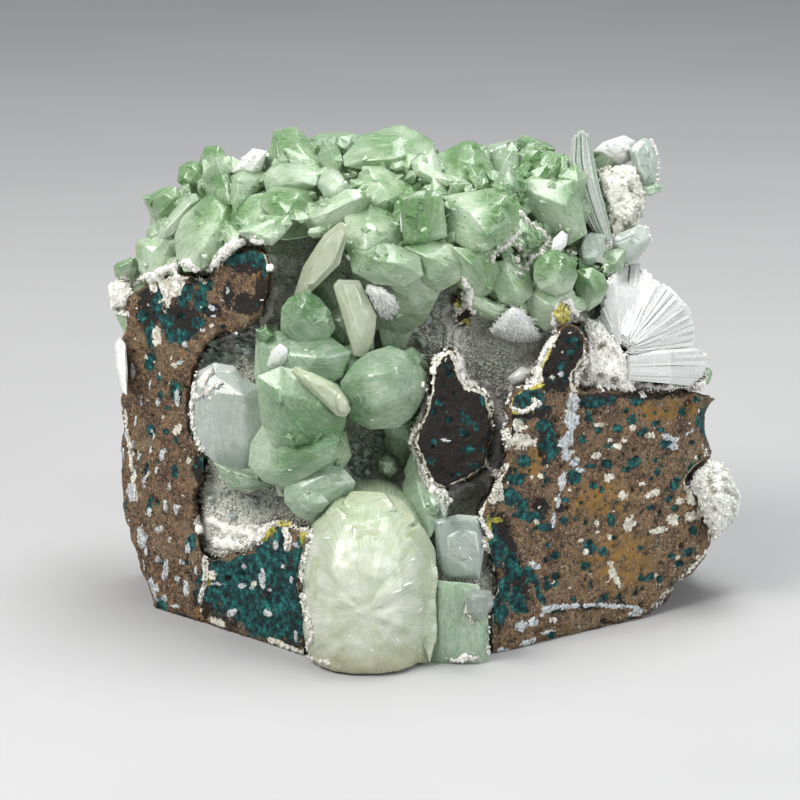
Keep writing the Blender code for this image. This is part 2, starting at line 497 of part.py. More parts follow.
# crown crystals: outline, then options for the facet layout
CROWN = [
    # top left group
    dict(o=[(199, 162), (205, 146), (219, 145), (225, 152), (228, 163), (222, 178), (205, 178)], dy=1, th=16),
    dict(o=[(177, 182), (179, 167), (188, 161), (197, 161), (204, 168), (204, 184), (190, 190)], dy=1, th=16),
    dict(o=[(192, 188), (198, 172), (214, 155), (224, 154), (240, 160), (236, 180), (214, 196)], dy=1.5, th=16),
    dict(o=[(146, 199), (153, 192), (165, 187), (176, 187), (182, 197), (173, 212), (161, 221), (150, 217)], dy=-2, th=16),
    dict(o=[(141, 195), (149, 194), (156, 200), (152, 210), (146, 205)], dy=-1, th=8),
    dict(o=[(155, 241), (157, 231), (168, 220), (180, 203), (196, 192), (200, 200), (186, 216), (174, 234), (163, 240)], dy=-3, th=12, tips=[(166, 229, 2), (188, 205, 2)]),
    dict(o=[(146, 241), (147, 229), (152, 224), (160, 223), (163, 236), (156, 246)], dy=0, th=12),
    dict(o=[(176, 255), (174, 236), (182, 217), (197, 203), (209, 193), (221, 187), (231, 200), (233, 236), (214, 262), (200, 271), (184, 272)], dy=-3, th=18, tips=[(208, 206, 3.0), (201, 250, 4.5), (222, 220, 3.5)]),
    dict(o=[(205, 190), (212, 171), (222, 168), (229, 175), (233, 190), (234, 204), (222, 208), (210, 200)], dy=-2, th=14),
    dict(o=[(136, 255), (135, 244), (139, 239), (148, 241), (160, 240), (173, 232), (177, 252), (177, 270), (168, 281), (158, 288), (148, 284), (139, 270)], dy=-2, th=14, tips=[(152, 252, 2.5), (163, 271, 3.0)]),
    dict(o=[(113, 266), (118, 262), (134, 256), (138, 262), (136, 274), (124, 280), (115, 277)], dy=0, th=10),
    dict(o=[(232, 175), (246, 168), (266, 172), (264, 186), (247, 204), (236, 214), (230, 200)], dy=-1, th=16),
    dict(o=[(232, 205), (246, 196), (263, 192), (272, 205), (268, 222), (250, 236), (236, 240), (230, 224)], dy=-2, th=16),
    dict(o=[(236, 232), (262, 214), (282, 216), (287, 232), (272, 246), (250, 240)], dy=-2.5, th=14),
    dict(o=[(206, 262), (222, 246), (236, 238), (246, 240), (238, 250), (220, 262), (208, 272)], dy=-2, th=10),
    # top centre group
    dict(o=[(268, 156), (274, 130), (296, 126), (310, 140), (322, 156), (331, 167), (318, 178), (286, 176), (270, 168)], dy=-1, th=18, tips=[(281, 148, 2.5), (298, 146, 3.0), (308, 160, 3.0)]),
    dict(o=[(262, 176), (275, 162), (300, 164), (318, 172), (316, 186), (290, 192), (266, 192)], dy=0, th=16),
    dict(o=[(309, 138), (321, 133), (346, 131), (361, 134), (358, 150), (338, 164), (322, 158)], dy=5, th=14),
    dict(o=[(343, 156), (361, 135), (381, 129), (401, 124), (420, 132), (435, 143), (434, 152), (416, 164), (392, 172), (362, 170), (344, 166)], dy=-1, th=20, tips=[(400, 138, 3.0), (398, 158, 4.0), (366, 160, 2.5)]),
    dict(o=[(316, 184), (325, 169), (334, 168), (343, 176), (347, 184), (344, 194), (334, 200), (324, 197)], dy=-3, th=14),
    dict(o=[(260, 196), (272, 187), (296, 180), (314, 186), (313, 206), (302, 219), (288, 226), (274, 220), (262, 208)], dy=-2, th=18, tips=[(276, 200, 2.5), (296, 198, 3.5), (288, 214, 3.0)]),
    dict(o=[(303, 220), (320, 204), (346, 189), (360, 189), (372, 195), (368, 206), (346, 224), (326, 234), (308, 230)], dy=-2, th=16, tips=[(324, 214, 2.5), (352, 200, 2.5)]),
    dict(o=[(361, 190), (362, 166), (382, 166), (404, 178), (421, 190), (420, 204), (386, 216), (372, 222), (360, 210)], dy=-1, th=18, tips=[(380, 184, 3.5), (396, 196, 3.5), (372, 206, 2.5)]),
    dict(o=[(344, 216), (370, 204), (390, 212), (402, 226), (402, 246), (384, 262), (362, 262), (346, 246)], dy=-1, th=18, tips=[(366, 226, 3.5), (386, 236, 4.0), (366, 250, 3.0)]),
    dict(o=[(399, 196), (420, 190), (442, 193), (443, 215), (448, 237), (426, 243), (404, 245), (401, 225)], dy=-5, th=20, bevel=1.2, table=0.86),
    dict(o=[(436, 155), (447, 149), (454, 147), (465, 140), (475, 141), (482, 150), (493, 165), (492, 182), (474, 190), (455, 196), (443, 193), (437, 180)], dy=-2, th=18, tips=[(458, 160, 3.0), (474, 164, 3.5), (456, 184, 3.0)]),
    dict(o=[(410, 162), (424, 152), (434, 148), (440, 160), (446, 190), (430, 184), (414, 174)], dy=-1, th=14),
    dict(o=[(443, 196), (458, 193), (490, 188), (511, 190), (521, 205), (520, 220), (513, 229), (501, 241), (489, 251), (470, 252), (452, 240), (446, 218)], dy=-3.5, th=20, tips=[(500, 204, 3.5), (470, 212, 4.0), (488, 236, 3.5), (508, 216, 2.0)]),
    dict(o=[(481, 150), (489, 144), (501, 141), (512, 139), (524, 146), (522, 160), (506, 168), (490, 166)], dy=4, th=14),
    dict(o=[(516, 140), (524, 134), (536, 138), (550, 143), (556, 149), (550, 158), (530, 160)], dy=5, th=12),
    dict(o=[(491, 187), (500, 172), (509, 164), (516, 172), (520, 190), (510, 196)], dy=-1, th=12),
    dict(o=[(516, 172), (524, 158), (535, 152), (550, 150), (562, 154), (568, 162), (572, 178), (560, 188), (536, 190), (522, 184)], dy=-1.5, th=16, tips=[(540, 164, 3.0), (556, 172, 3.0), (532, 178, 2.5)]),
    dict(o=[(514, 186), (530, 178), (552, 184), (574, 180), (582, 208), (588, 234), (568, 246), (548, 230), (530, 212), (518, 200)], dy=-1, th=18, tips=[(540, 196, 3.0), (566, 206, 4.0), (572, 230, 2.5)]),
    dict(o=[(346, 246), (372, 240), (402, 246), (420, 256), (424, 276), (404, 288), (374, 284), (352, 272)], dy=-1.5, th=18, tips=[(374, 258, 3.5), (400, 264, 4.0), (384, 276, 3.0)]),
    dict(o=[(404, 246), (430, 240), (452, 244), (466, 258), (462, 280), (440, 292), (418, 286), (406, 268)], dy=-2, th=18, tips=[(426, 256, 3.5), (448, 266, 3.5), (430, 280, 3.0)]),
    dict(o=[(452, 246), (474, 250), (492, 252), (500, 270), (496, 292), (476, 300), (458, 286)], dy=-1, th=18, tips=[(472, 264, 3.5), (484, 280, 3.5)]),
    dict(o=[(492, 262), (512, 258), (530, 270), (534, 294), (518, 308), (500, 302), (490, 284)], dy=0, th=18, tips=[(508, 274, 3.0), (518, 292, 3.5)]),
    dict(o=[(524, 230), (532, 227), (540, 229), (543, 238), (540, 246), (530, 249), (523, 242)], dy=-2, th=10),
    dict(o=[(534, 264), (542, 253), (554, 251), (566, 254), (574, 263), (578, 276), (572, 290), (556, 296), (540, 290), (533, 278)], dy=-4, th=18, tips=[(548, 262, 3.0), (564, 268, 3.5), (554, 284, 3.0)]),
    dict(o=[(528, 290), (548, 290), (574, 290), (578, 304), (566, 320), (546, 332), (532, 322), (526, 306)], dy=-1, th=16, tips=[(548, 304, 3.0), (560, 310, 2.5)]),
    dict(o=[(576, 270), (592, 267), (603, 274), (609, 286), (602, 302), (588, 312), (578, 300), (574, 284)], dy=-1, th=16, tips=[(588, 280, 3.0), (596, 292, 2.5)]),
    dict(o=[(462, 286), (482, 298), (500, 304), (512, 312), (500, 322), (478, 316), (462, 304)], dy=0, th=12),
    dict(o=[(606, 258), (616, 262), (614, 272), (606, 278), (600, 268)], dy=-1, th=8),
]

# broad bed the crown crystals share, behind their faces
BED = [
    [(150, 285), (150, 200), (215, 170), (262, 176), (262, 240), (205, 268)],
    [(236, 240), (236, 176), (330, 160), (340, 232), (288, 240)],
    [(312, 226), (318, 156), (420, 150), (430, 270), (360, 270)],
    [(404, 280), (404, 160), (500, 158), (512, 290), (440, 292)],
    [(486, 296), (492, 164), (570, 162), (592, 236), (590, 296), (540, 320)],
]


def core_top(x, y):
    return 78.0 - 0.0098 * (x + 4.0) ** 2 - 0.0085 * (y - 10.0) ** 2


def roof_spikes():
    """Crystals over the roof and round its rear rim, all below the front skyline."""
    rng = random.Random(41)
    out = []
    rows = [(10, -48, 34, 12), (20, -50, 34, 12), (30, -42, 28, 12)]
    for y0, xa, xb, step in rows:
        x = xa
        while x <= xb:
            bx = x + rng.uniform(-2, 2)
            by = y0 + rng.uniform(-2.5, 2.5)
            w = rng.uniform(9.5, 14)
            l = rng.uniform(17, 24)
            lean_x = (bx + 4) * 0.011 + rng.uniform(-0.25, 0.25)
            lean_y = (by - 8) * 0.022 + rng.uniform(-0.2, 0.25)
            roll = rng.uniform(0, 1.57)
            taper = rng.uniform(0.5, 0.75)
            cap = rng.choice((0.05, 0.2, 0.45, 0.6))
            w2 = w * rng.uniform(0.7, 1.1)
            for _ in range(12):
                base = (bx, by, core_top(bx, by) - 7.0)
                pts = spike_points(base, (lean_x, lean_y, 1.0), w, l, roll, taper, cap, w2)
                if all(inside_outline(*sheet_of(p)) for p in pts) and max(p[1] for p in pts) < 41.5:
                    out.append(pts)
                    break
                l *= 0.9
                w *= 0.97
                w2 *= 0.97
            x += step
    return out


crown = []
for i, c in enumerate(CROWN):
    c = dict(c)
    crown.append(hull("crown_%02d" % i, gem_points(c.pop("o"), **c)))
for i, o in enumerate(BED):
    uc, vc = centre(o)
    pts = [at(u, v, skin(u, v) + 6.0) for u, v in o] + [at(uc + (u - uc) * 0.8, vc + (v - vc) * 0.8 + 10, skin(uc, vc) + 26.0) for u, v in o]
    crown.append(hull("bed_%d" % i, pts))
for i, pts in enumerate(roof_spikes()):
    crown.append(hull("roof_%02d" % i, pts))
make_node("apophyllite_crown", crown, G_CROWN, cut_by=("basalt_matrix", "druse_lining"))

# ------------------------------------------------------------------ crystals of the central cavity
CAVITY = [
    dict(o=[(281, 308), (288, 298), (298, 293), (309, 291), (320, 298), (330, 310), (336, 328), (326, 342), (298, 344), (280, 330)], dy=-1, th=14, tips=[(304, 304, 2.5), (318, 318, 3.0), (294, 324, 2.5)]),
    dict(o=[(258, 344), (276, 330), (300, 336), (330, 336), (352, 352), (342, 378), (310, 392), (276, 388), (259, 372)], dy=-1, th=18, tips=[(284, 354, 3.0), (318, 358, 4.0), (300, 378, 3.0)]),
    dict(o=[(256, 376), (280, 366), (312, 372), (338, 384), (350, 402), (344, 430), (330, 452), (298, 462), (272, 446), (260, 418)], dy=-2, th=20, tips=[(284, 396, 4.5), (318, 404, 5.5), (300, 436, 5.0), (328, 424, 4.0)]),
    dict(o=[(262, 424), (290, 430), (330, 430), (340, 440), (332, 462), (306, 478), (282, 488), (264, 482), (248, 466), (250, 444)], dy=-1, th=16, tips=[(284, 450, 3.5), (312, 452, 4.0), (280, 472, 3.0)]),
    dict(o=[(213, 462), (236, 470), (262, 476), (270, 486), (252, 492), (228, 488)], dy=-2, th=12),
    dict(o=[(340, 382), (352, 364), (368, 352), (390, 345), (408, 352), (416, 366), (427, 373), (427, 388), (421, 404), (412, 418), (398, 428), (370, 430), (350, 420), (342, 404)], dy=-2, th=18, tips=[(368, 376, 4.5), (396, 372, 5.0), (404, 396, 4.5), (374, 408, 4.5)]),
    dict(o=[(400, 352), (412, 346), (424, 356), (430, 368), (420, 378), (406, 368)], dy=0, th=10),
    dict(o=[(380, 420), (396, 424), (414, 420), (418, 436), (414, 452), (400, 446), (386, 436)], dy=1, th=12),
    dict(o=[(377, 460), (386, 454), (397, 460), (399, 472), (390, 478), (379, 472)], dy=-1, th=8),
    dict(o=[(255, 329), (266, 325), (274, 335), (266, 344), (258, 340)], dy=-3, th=9),
]
cavity = []
for i, c in enumerate(CAVITY):
    c = dict(c)
    cavity.append(hull("cavity_%02d" % i, gem_points(c.pop("o"), **c)))
make_node("apophyllite_cavity_cluster", cavity, G_DEEP,
          cut_by=("basalt_matrix", "druse_lining", "apophyllite_crown"))

ALL_BIG = ["basalt_matrix", "druse_lining", "apophyllite_crown", "apophyllite_cavity_cluster"]


def crystal(name, mat, pieces, cut_by=None, floor=None):
    """A node of one or more overlapping gem shapes; later nodes are cut by it too."""
    sources = []
    for i, c in enumerate(pieces):
        c = dict(c)
        sources.append(hull("%s_%d" % (name, i), gem_points(c.pop("o"), **c)))
    make_node(name, sources, mat, cut_by=ALL_BIG if cut_by is None else cut_by, floor=floor)
    ALL_BIG.append(name)


LOW = box("low_cutter", (-120, -120, -60), (120, 120, FLOOR_CLEAR))

crystal("bluegrey_plate_crystal", G_GREY, [
    dict(o=[(191, 386), (208, 371), (236, 374), (260, 386), (268, 424), (264, 458), (242, 474), (216, 464), (198, 447), (190, 426)],
         dy=-1, th=14, tips=[(212, 392, 2.0), (244, 396, 2.5), (248, 446, 2.5), (214, 438, 2.0)]),
])

# the pale ball at the foot: a squarish ellipsoid stopped at the resting face
bm = bmesh.new()
bmesh.ops.create_uvsphere(bm, u_segments=24, v_segments=14, radius=1.0)
for v in bm.verts:
    x, y, z = v.co
    k = (abs(x) ** 2.5 + abs(y) ** 2.5 + abs(z) ** 2.5) ** (-1.0 / 2.5)
    v.co = Vector((-10.6 + 12.4 * x * k, -21.5 + 20.0 * y * k, 11.0 + 20.0 * z * k)) * MM
ball = new_object("ball_source", bm)
ball_skirt = hull("ball_skirt", gem_points([(318, 540), (420, 520), (438, 572), (438, 640), (424, 676), (381, 690), (330, 672), (306, 640), (304, 590)],
                                           dy=-2.0, th=16, tips=[(350, 600, 3), (400, 600, 4)]))
make_node("pale_apophyllite_ball", [ball, ball_skirt], G_PALE, cut_by=ALL_BIG, floor=LOW)
ALL_BIG.append("pale_apophyllite_ball")

crystal("green_wedge_crystal", G_CROWN, [
    dict(o=[(284, 486), (304, 472), (328, 464), (344, 468), (356, 482), (352, 492), (330, 506), (312, 524), (296, 516), (284, 502)], dy=0, th=14),
])
crystal("bluegrey_pane_crystal", G_GREY, [
    dict(o=[(434, 520), (458, 514), (480, 516), (485, 545), (480, 580), (444, 577), (436, 555)], dy=0, th=14, bevel=1.0, table=0.85),
])
crystal("green_side_crystal", G_DEEP, [
    dict(o=[(436, 580), (478, 584), (488, 602), (489, 648), (486, 674), (440, 684), (426, 660), (430, 610)], dy=0, th=16),
], floor=LOW)
crystal("green_tuft_crystal", G_CROWN, [
    dict(o=[(402, 484), (416, 456), (430, 478), (440, 492), (452, 500), (436, 520), (430, 538), (416, 524), (404, 504)], dy=-1, th=14,
         tips=[(416, 480, 2.0), (424, 508, 2.5)]),
])
crystal("clear_crystals_low", CLEAR, [
    dict(o=[(464, 596), (474, 588), (492, 590), (494, 604), (482, 622), (468, 614)], dy=-5, th=8),
])
crystal("clear_quartz_point", CLEAR, [
    dict(o=[(439, 506), (443, 503), (449, 508), (446, 519), (443, 520)], dy=-4, th=8, drop=-6),
])
crystal("pale_blade_upper", G_PALE, [
    dict(o=[(324, 234), (341, 221), (348, 226), (346, 240), (340, 264), (322, 280), (303, 300), (292, 300), (303, 266)], dy=-3.5, th=7, bevel=1.0),
])
crystal("pale_blade_lower", G_PALE, [
    dict(o=[(333, 286), (338, 279), (360, 280), (366, 300), (377, 316), (375, 335), (369, 350), (365, 358), (354, 356), (350, 334), (341, 304)], dy=-5, th=9, bevel=1.2),
])
crystal("sparkle_patch", WHITE, [
    dict(o=[(364, 287), (371, 282), (384, 288), (396, 298), (396, 308), (389, 318), (380, 315), (368, 307)], dy=-3.5, th=9),
])
crystal("fibrous_patch", WHITE, [
    dict(o=[(490, 330), (500, 316), (512, 306), (525, 311), (541, 336), (522, 341), (502, 336)], dy=-2.5, th=8),
])
crystal("pale_rod", G_PALE, [
    dict(o=[(290, 371), (296, 366), (334, 383), (346, 397), (351, 410), (346, 417), (337, 416), (310, 391)], dy=-7.5, th=6, bevel=1.2, drop=2),
])
crystal("white_chip", WHITE, [
    dict(o=[(266, 366), (271, 350), (280, 343), (288, 349), (288, 359), (282, 369), (272, 371)], dy=-5, th=7, bevel=1.2, drop=2),
])

# ------------------------------------------------------------------ right side: stilbite and its companions
# the fan: a thin radiating wedge whose rim faces up and right
FAN_HUB = (622, 350)
FAN_RIM = [(600, 316), (604, 292), (609, 278), (626, 264), (637, 265), (650, 277), (658, 284), (670, 287), (675, 297), (688, 308), (692, 331), (690, 350), (660, 354)]
fan_pts = []
for u, v in FAN_RIM:
    y = skin(u, v) + 0.5
    fan_pts.append(at(u, v, y + 1.0))
    fan_pts.append(at(FAN_HUB[0] + (u - FAN_HUB[0]) * 0.88, FAN_HUB[1] + (v - FAN_HUB[1]) * 0.88, y - 1.6))
    fan_pts.append(at(FAN_HUB[0] + (u - FAN_HUB[0]) * 0.8, FAN_HUB[1] + (v - FAN_HUB[1]) * 0.8 + 6, y + 14.0))
fan_pts.append(at(FAN_HUB[0], FAN_HUB[1], -7.5))
fan_pts.append(at(FAN_HUB[0], FAN_HUB[1] + 8, 8.0))
make_node("stilbite_fan", [hull("fan_source", fan_pts)], WHITE, cut_by=ALL_BIG)
ALL_BIG.append("stilbite_fan")

crystal("stilbite_bundle", WHITE, [
    dict(o=[(632, 354), (664, 351), (696, 352), (707, 366), (704, 380), (690, 384), (654, 383), (634, 378)], dy=-3, th=16, tips=[(646, 362, 3), (690, 364, 3.5), (690, 376, 2.5), (650, 376, 2.5)]),
])
crystal("stilbite_crust", WHITE, [
    dict(o=[(588, 318), (606, 322), (628, 346), (634, 372), (632, 392), (600, 388), (580, 388), (578, 372), (590, 354), (587, 330)], dy=-3, th=16, drop=0),
    dict(o=[(600, 372), (640, 378), (706, 380), (704, 389), (680, 387), (640, 389), (600, 389)], dy=0, th=14, drop=0),
])
crystal("striated_blade", G_GREY, [
    dict(o=[(567, 152), (569, 139), (581, 131), (591, 138), (594, 150), (592, 162), (598, 188), (610, 228), (612, 236), (600, 242), (590, 232), (579, 205), (571, 180)], dy=-5, th=8, bevel=1.4),
])
crystal("zeolite_grain_mass", CREAM, [
    dict(o=[(592, 172), (604, 165), (634, 166), (642, 183), (645, 200), (640, 212), (637, 226), (622, 236), (612, 236), (600, 205)], dy=-2, th=20, drop=8),
    dict(o=[(596, 220), (636, 220), (634, 244), (626, 264), (604, 270), (590, 262), (588, 238)], dy=2, th=18, drop=6),
])
crystal("white_cap_crystal", WHITE, [
    dict(o=[(592, 152), (603, 142), (624, 135), (636, 141), (632, 160), (620, 166), (600, 160)], dy=0, th=12),
])
crystal("leaf_crystal", G_GREY, [
    dict(o=[(629, 150), (636, 142), (645, 137), (653, 142), (658, 155), (659, 178), (655, 184), (646, 189), (638, 184), (633, 168)], dy=-2, th=8, bevel=1.2),
])
crystal("teal_tip_crystal", G_DEEP, [
    dict(o=[(639, 187), (648, 188), (657, 183), (665, 185), (662, 192), (651, 196), (642, 198)], dy=-1.5, th=7, bevel=0.8, drop=0),
])
crystal("disc_crystal", G_GREY, [
    dict(o=[(609, 238), (628, 232), (638, 225), (647, 226), (651, 239), (646, 250), (637, 260), (626, 265), (614, 262), (608, 252)], dy=-4, th=9, bevel=1.0, drop=2),
])
crystal("pale_fan_blades", G_PALE, [
    dict(o=[(576, 248), (590, 234), (604, 238), (607, 250), (601, 264), (590, 268), (578, 266)], dy=-4, th=9, drop=2),
])
crystal("small_green_crystal", G_CROWN, [
    dict(o=[(703, 366), (709, 366), (713, 373), (709, 384), (702, 386), (699, 376)], dy=-1, th=8, bevel=0.8, drop=0),
])
crystal("white_prism", WHITE, [
    dict(o=[(551, 249), (553, 239), (562, 230), (568, 235), (567, 245), (560, 252)], dy=-7, th=8, bevel=0.8, drop=2),
])
crystal("cream_quartz", WHITE, [
    dict(o=[(508, 377), (521, 366), (535, 369), (534, 378), (520, 385), (511, 386)], dy=-3, th=9, bevel=1.0, drop=0),
])
crystal("white_cap_left", WHITE, [
    dict(o=[(231, 172), (242, 158), (253, 148), (267, 151), (264, 160), (262, 169), (253, 178), (242, 179)], dy=-5, th=10),
])
crystal("druse_tip_left", CREAM, [
    dict(o=[(106, 294), (108, 284), (118, 280), (132, 277), (137, 290), (136, 304), (128, 312), (110, 309)], dy=0, th=11),
])
crystal("edge_plates_left", WHITE, [
    dict(o=[(114, 343), (120, 336), (126, 344), (128, 372), (127, 396), (122, 392), (116, 368)], dy=3.0, th=6, bevel=0.8, drop=0),
])
crystal("druse_spur_right", CREAM, [
    dict(o=[(690, 486), (698, 468), (710, 461), (722, 462), (734, 481), (742, 497), (740, 513), (724, 532), (714, 541), (706, 520), (700, 500)], dy=2.5, th=16, tips=[(712, 482, 3), (726, 500, 3), (718, 520, 2.5)], drop=0),
])

# ------------------------------------------------------------------ finish
for ob in CUTTERS.objects:
    ob.hide_render = True
    ob.display_type = 'WIRE'
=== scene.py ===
import bpy
import bmesh
import math
import random
import numpy as np
from mathutils import Matrix, Vector, noise
from mathutils.bvhtree import BVHTree


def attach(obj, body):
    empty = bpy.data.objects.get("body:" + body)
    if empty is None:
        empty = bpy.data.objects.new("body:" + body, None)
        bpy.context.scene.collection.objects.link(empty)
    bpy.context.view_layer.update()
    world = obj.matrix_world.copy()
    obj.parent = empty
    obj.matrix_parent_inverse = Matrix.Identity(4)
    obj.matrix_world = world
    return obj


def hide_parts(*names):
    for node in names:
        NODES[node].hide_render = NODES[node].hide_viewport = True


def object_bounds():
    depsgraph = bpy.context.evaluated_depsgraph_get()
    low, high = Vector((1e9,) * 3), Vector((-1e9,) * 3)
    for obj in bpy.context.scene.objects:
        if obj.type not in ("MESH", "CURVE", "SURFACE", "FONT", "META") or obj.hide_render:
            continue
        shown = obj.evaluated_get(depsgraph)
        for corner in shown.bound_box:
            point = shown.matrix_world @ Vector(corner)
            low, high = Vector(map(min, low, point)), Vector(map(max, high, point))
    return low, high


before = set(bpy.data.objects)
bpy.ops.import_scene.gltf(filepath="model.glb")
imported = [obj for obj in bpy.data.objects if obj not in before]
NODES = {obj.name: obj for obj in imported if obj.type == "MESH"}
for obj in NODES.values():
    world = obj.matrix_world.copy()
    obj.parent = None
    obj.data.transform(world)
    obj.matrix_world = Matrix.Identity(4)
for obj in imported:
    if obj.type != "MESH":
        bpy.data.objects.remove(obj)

CAD_BOX = [list(c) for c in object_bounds()]
MM = 0.001

# ------------------------------------------------------------------ layout shared with the CAD
SHIFT = (-0.18, -0.40, 0.0)
TILT = math.radians(14.0)
RANGE = 650.0
SHEET = 3444.4
AIM = (-4.5 + SHIFT[0], SHIFT[1], 41.6)
ST, CT = math.sin(TILT), math.cos(TILT)
EYE = (AIM[0], AIM[1] - RANGE * CT, AIM[2] + RANGE * ST)


def direction(u, v):
    kx = (u - 400.0) / SHEET
    ky = (400.0 - v) / SHEET
    return kx, CT + ky * ST, -ST + ky * CT


def at(u, v, y):
    """Sheet position and depth to a point, mm."""
    dx, dy, dz = direction(u, v)
    y = y + SHIFT[1]
    t = (y - EYE[1]) / dy
    return Vector((EYE[0] + t * dx, y, EYE[2] + t * dz))


def on_face(u, v, p0, p1):
    dx, dy, dz = direction(u, v)
    x0, y0 = p0[0] + SHIFT[0], p0[1] + SHIFT[1]
    x1, y1 = p1[0] + SHIFT[0], p1[1] + SHIFT[1]
    a, b = y1 - y0, -(x1 - x0)
    t = -(a * (EYE[0] - x0) + b * (EYE[1] - y0)) / (a * dx + b * dy)
    return Vector((EYE[0] + t * dx, EYE[1] + t * dy, EYE[2] + t * dz))


def sheet_np(p):
    """Points in mm (n, 3) to sheet positions."""
    x, y, z = p[:, 0] - EYE[0], p[:, 1] - EYE[1], p[:, 2] - EYE[2]
    f = y * CT - z * ST
    h = y * ST + z * CT
    return 400.0 + SHEET * x / f, 400.0 - SHEET * h / f


SKIN = [
    (110, 290, 8), (150, 250, 4), (150, 200, 11), (200, 260, -9), (200, 200, 3), (200, 165, 9),
    (250, 240, -17), (250, 170, 5), (275, 140, 8), (240, 200, -5), (300, 230, -19), (300, 190, -8),
    (300, 140, 6), (350, 260, -22), (350, 200, -14), (350, 160, -2), (340, 135, 9), (400, 280, -23),
    (420, 220, -17), (400, 170, -6), (400, 128, 8), (460, 250, -20), (460, 190, -12), (460, 150, 2),
    (500, 300, -17), (500, 230, -16), (510, 190, -9), (510, 145, 12), (540, 280, -14), (545, 200, -3),
    (545, 160, 6), (560, 310, -13), (590, 290, -7), (600, 240, 3), (585, 180, 8), (580, 140, 12),
    (620, 200, 9), (625, 150, 13), (645, 160, 13), (630, 245, 8), (650, 310, 3), (690, 340, 5),
    (620, 360, -4), (660, 370, 0), (700, 370, 5), (195, 420, -5), (230, 360, -9), (230, 430, -13),
    (260, 380, -17), (300, 330, -20), (300, 400, -25), (320, 460, -26), (350, 410, -24),
    (380, 390, -22), (420, 380, -20), (430, 320, -13), (500, 355, -11), (300, 260, -15),
    (370, 320, -17), (372, 455, -15), (240, 510, -16), (320, 490, -26), (470, 545, -27), (460, 625, -31),
]


def skin(u, v):
    top = bot = 0.0
    for su, sv, sy in SKIN:
        d2 = (u - su) ** 2 + (v - sv) ** 2 + 4.0
        w = 1.0 / (d2 * d2)
        top += w * sy
        bot += w
    return top / bot


def centre(outline):
    return (sum(p[0] for p in outline) / len(outline), sum(p[1] for p in outline) / len(outline))


def gem_points(outline, dy=0.0, tips=None, th=14.0, back=0.7, drop=6.0, bevel=2.0, table=0.55, tilt=0.6):
    uc, vc = centre(outline)
    y0 = skin(uc, vc) + dy
    su = max(-0.25, min(0.25, (skin(uc + 8, vc) - skin(uc - 8, vc)) / 16.0)) * tilt
    sv = max(-0.25, min(0.25, (skin(uc, vc + 8) - skin(uc, vc - 8)) / 16.0)) * tilt
    pts = []
    for i, (u, v) in enumerate(outline):
        pts.append(at(u, v, y0 + su * (u - uc) + sv * (v - vc)))
        if i % 2 == 0:
            pts.append(at(uc + (u - uc) * back, vc + (v - vc) * back + drop, y0 + th + su * (u - uc) * back))
    if tips is None:
        for u, v in (outline if len(outline) < 6 else outline[::2]):
            a, b = (u - uc) * table, (v - vc) * table
            pts.append(at(uc + a, vc + b, y0 - bevel + su * a + sv * b))
    else:
        for u, v, f in tips:
            pts.append(at(u, v, y0 - f + su * (u - uc) + sv * (v - vc)))
    return pts


# ------------------------------------------------------------------ numpy helpers
def smooth(x, a, b):
    t = np.clip((x - a) / (b - a), 0.0, 1.0)
    return t * t * (3.0 - 2.0 * t)


def field(points, scale, octaves=3, seed=0.0, gain=0.5):
    """Smooth noise at points (mm), features of about scale mm, roughly -1 to 1."""
    out = np.empty(len(points))
    s = 1.0 / scale
    for i, p in enumerate(points):
        v, amp, f = 0.0, 1.0, s
        for o in range(octaves):
            v += amp * noise.noise((p[0] * f + seed, p[1] * f + 3.1 * seed, p[2] * f - seed))
            amp *= gain
            f *= 2.03
        out[i] = v
    return out


def signed_in(poly, u, v):
    """Distance to the polygon's edge in px, positive inside."""
    u, v = np.asarray(u, float), np.asarray(v, float)
    inside = np.zeros(len(u), bool)
    near = np.full(len(u), 1e9)
    n = len(poly)
    for i in range(n):
        x1, y1 = poly[i]
        x2, y2 = poly[(i + 1) % n]
        cross = (y1 > v) != (y2 > v)
        if y1 != y2:
            inside ^= cross & (u < (x2 - x1) * (v - y1) / (y2 - y1) + x1)
        ex, ey = x2 - x1, y2 - y1
        t = np.clip(((u - x1) * ex + (v - y1) * ey) / (ex * ex + ey * ey + 1e-9), 0, 1)
        near = np.minimum(near, np.hypot(u - x1 - t * ex, v - y1 - t * ey))
    return np.where(inside, near, -near)


def coords(me):
    co = np.empty(len(me.vertices) * 3)
    me.vertices.foreach_get("co", co)
    return co.reshape(-1, 3)


def set_coords(me, co):
    me.vertices.foreach_set("co", np.ascontiguousarray(co, np.float32).ravel())
    me.update()


def normals(me):
    n = np.empty(len(me.vertices) * 3, np.float32)
    me.vertices.foreach_get("normal", n)
    return n.reshape(-1, 3).astype(float)


def put_attr(me, name, values, kind="FLOAT", domain="POINT"):
    a = me.attributes.get(name) or me.attributes.new(name, kind, domain)
    key = {"FLOAT": "value", "FLOAT_COLOR": "color", "FLOAT_VECTOR": "vector", "INT": "value"}[kind]
    a.data.foreach_set(key, np.ascontiguousarray(values, np.float32).ravel())
    return a


def link(ob):
    bpy.context.scene.collection.objects.link(ob)
    return ob


def baked(ob):
    """Mesh of an object with its modifiers applied."""
    graph = bpy.context.evaluated_depsgraph_get()
    graph.update()
    return bpy.data.meshes.new_from_object(ob.evaluated_get(graph))


def welded(node, name):
    me = NODES[node].data.copy()
    me.materials.clear()
    bm = bmesh.new()
    bm.from_mesh(me)
    bmesh.ops.remove_doubles(bm, verts=bm.verts, dist=2e-6)
    bmesh.ops.recalc_face_normals(bm, faces=bm.faces)
    bm.to_mesh(me)
    bm.free()
    for a in [x.name for x in me.attributes if x.name.startswith(("UV", "custom", "sharp"))]:
        at_ = me.attributes.get(a)
        if at_ is not None and not at_.is_required:
            me.attributes.remove(at_)
    return link(bpy.data.objects.new(name, me))


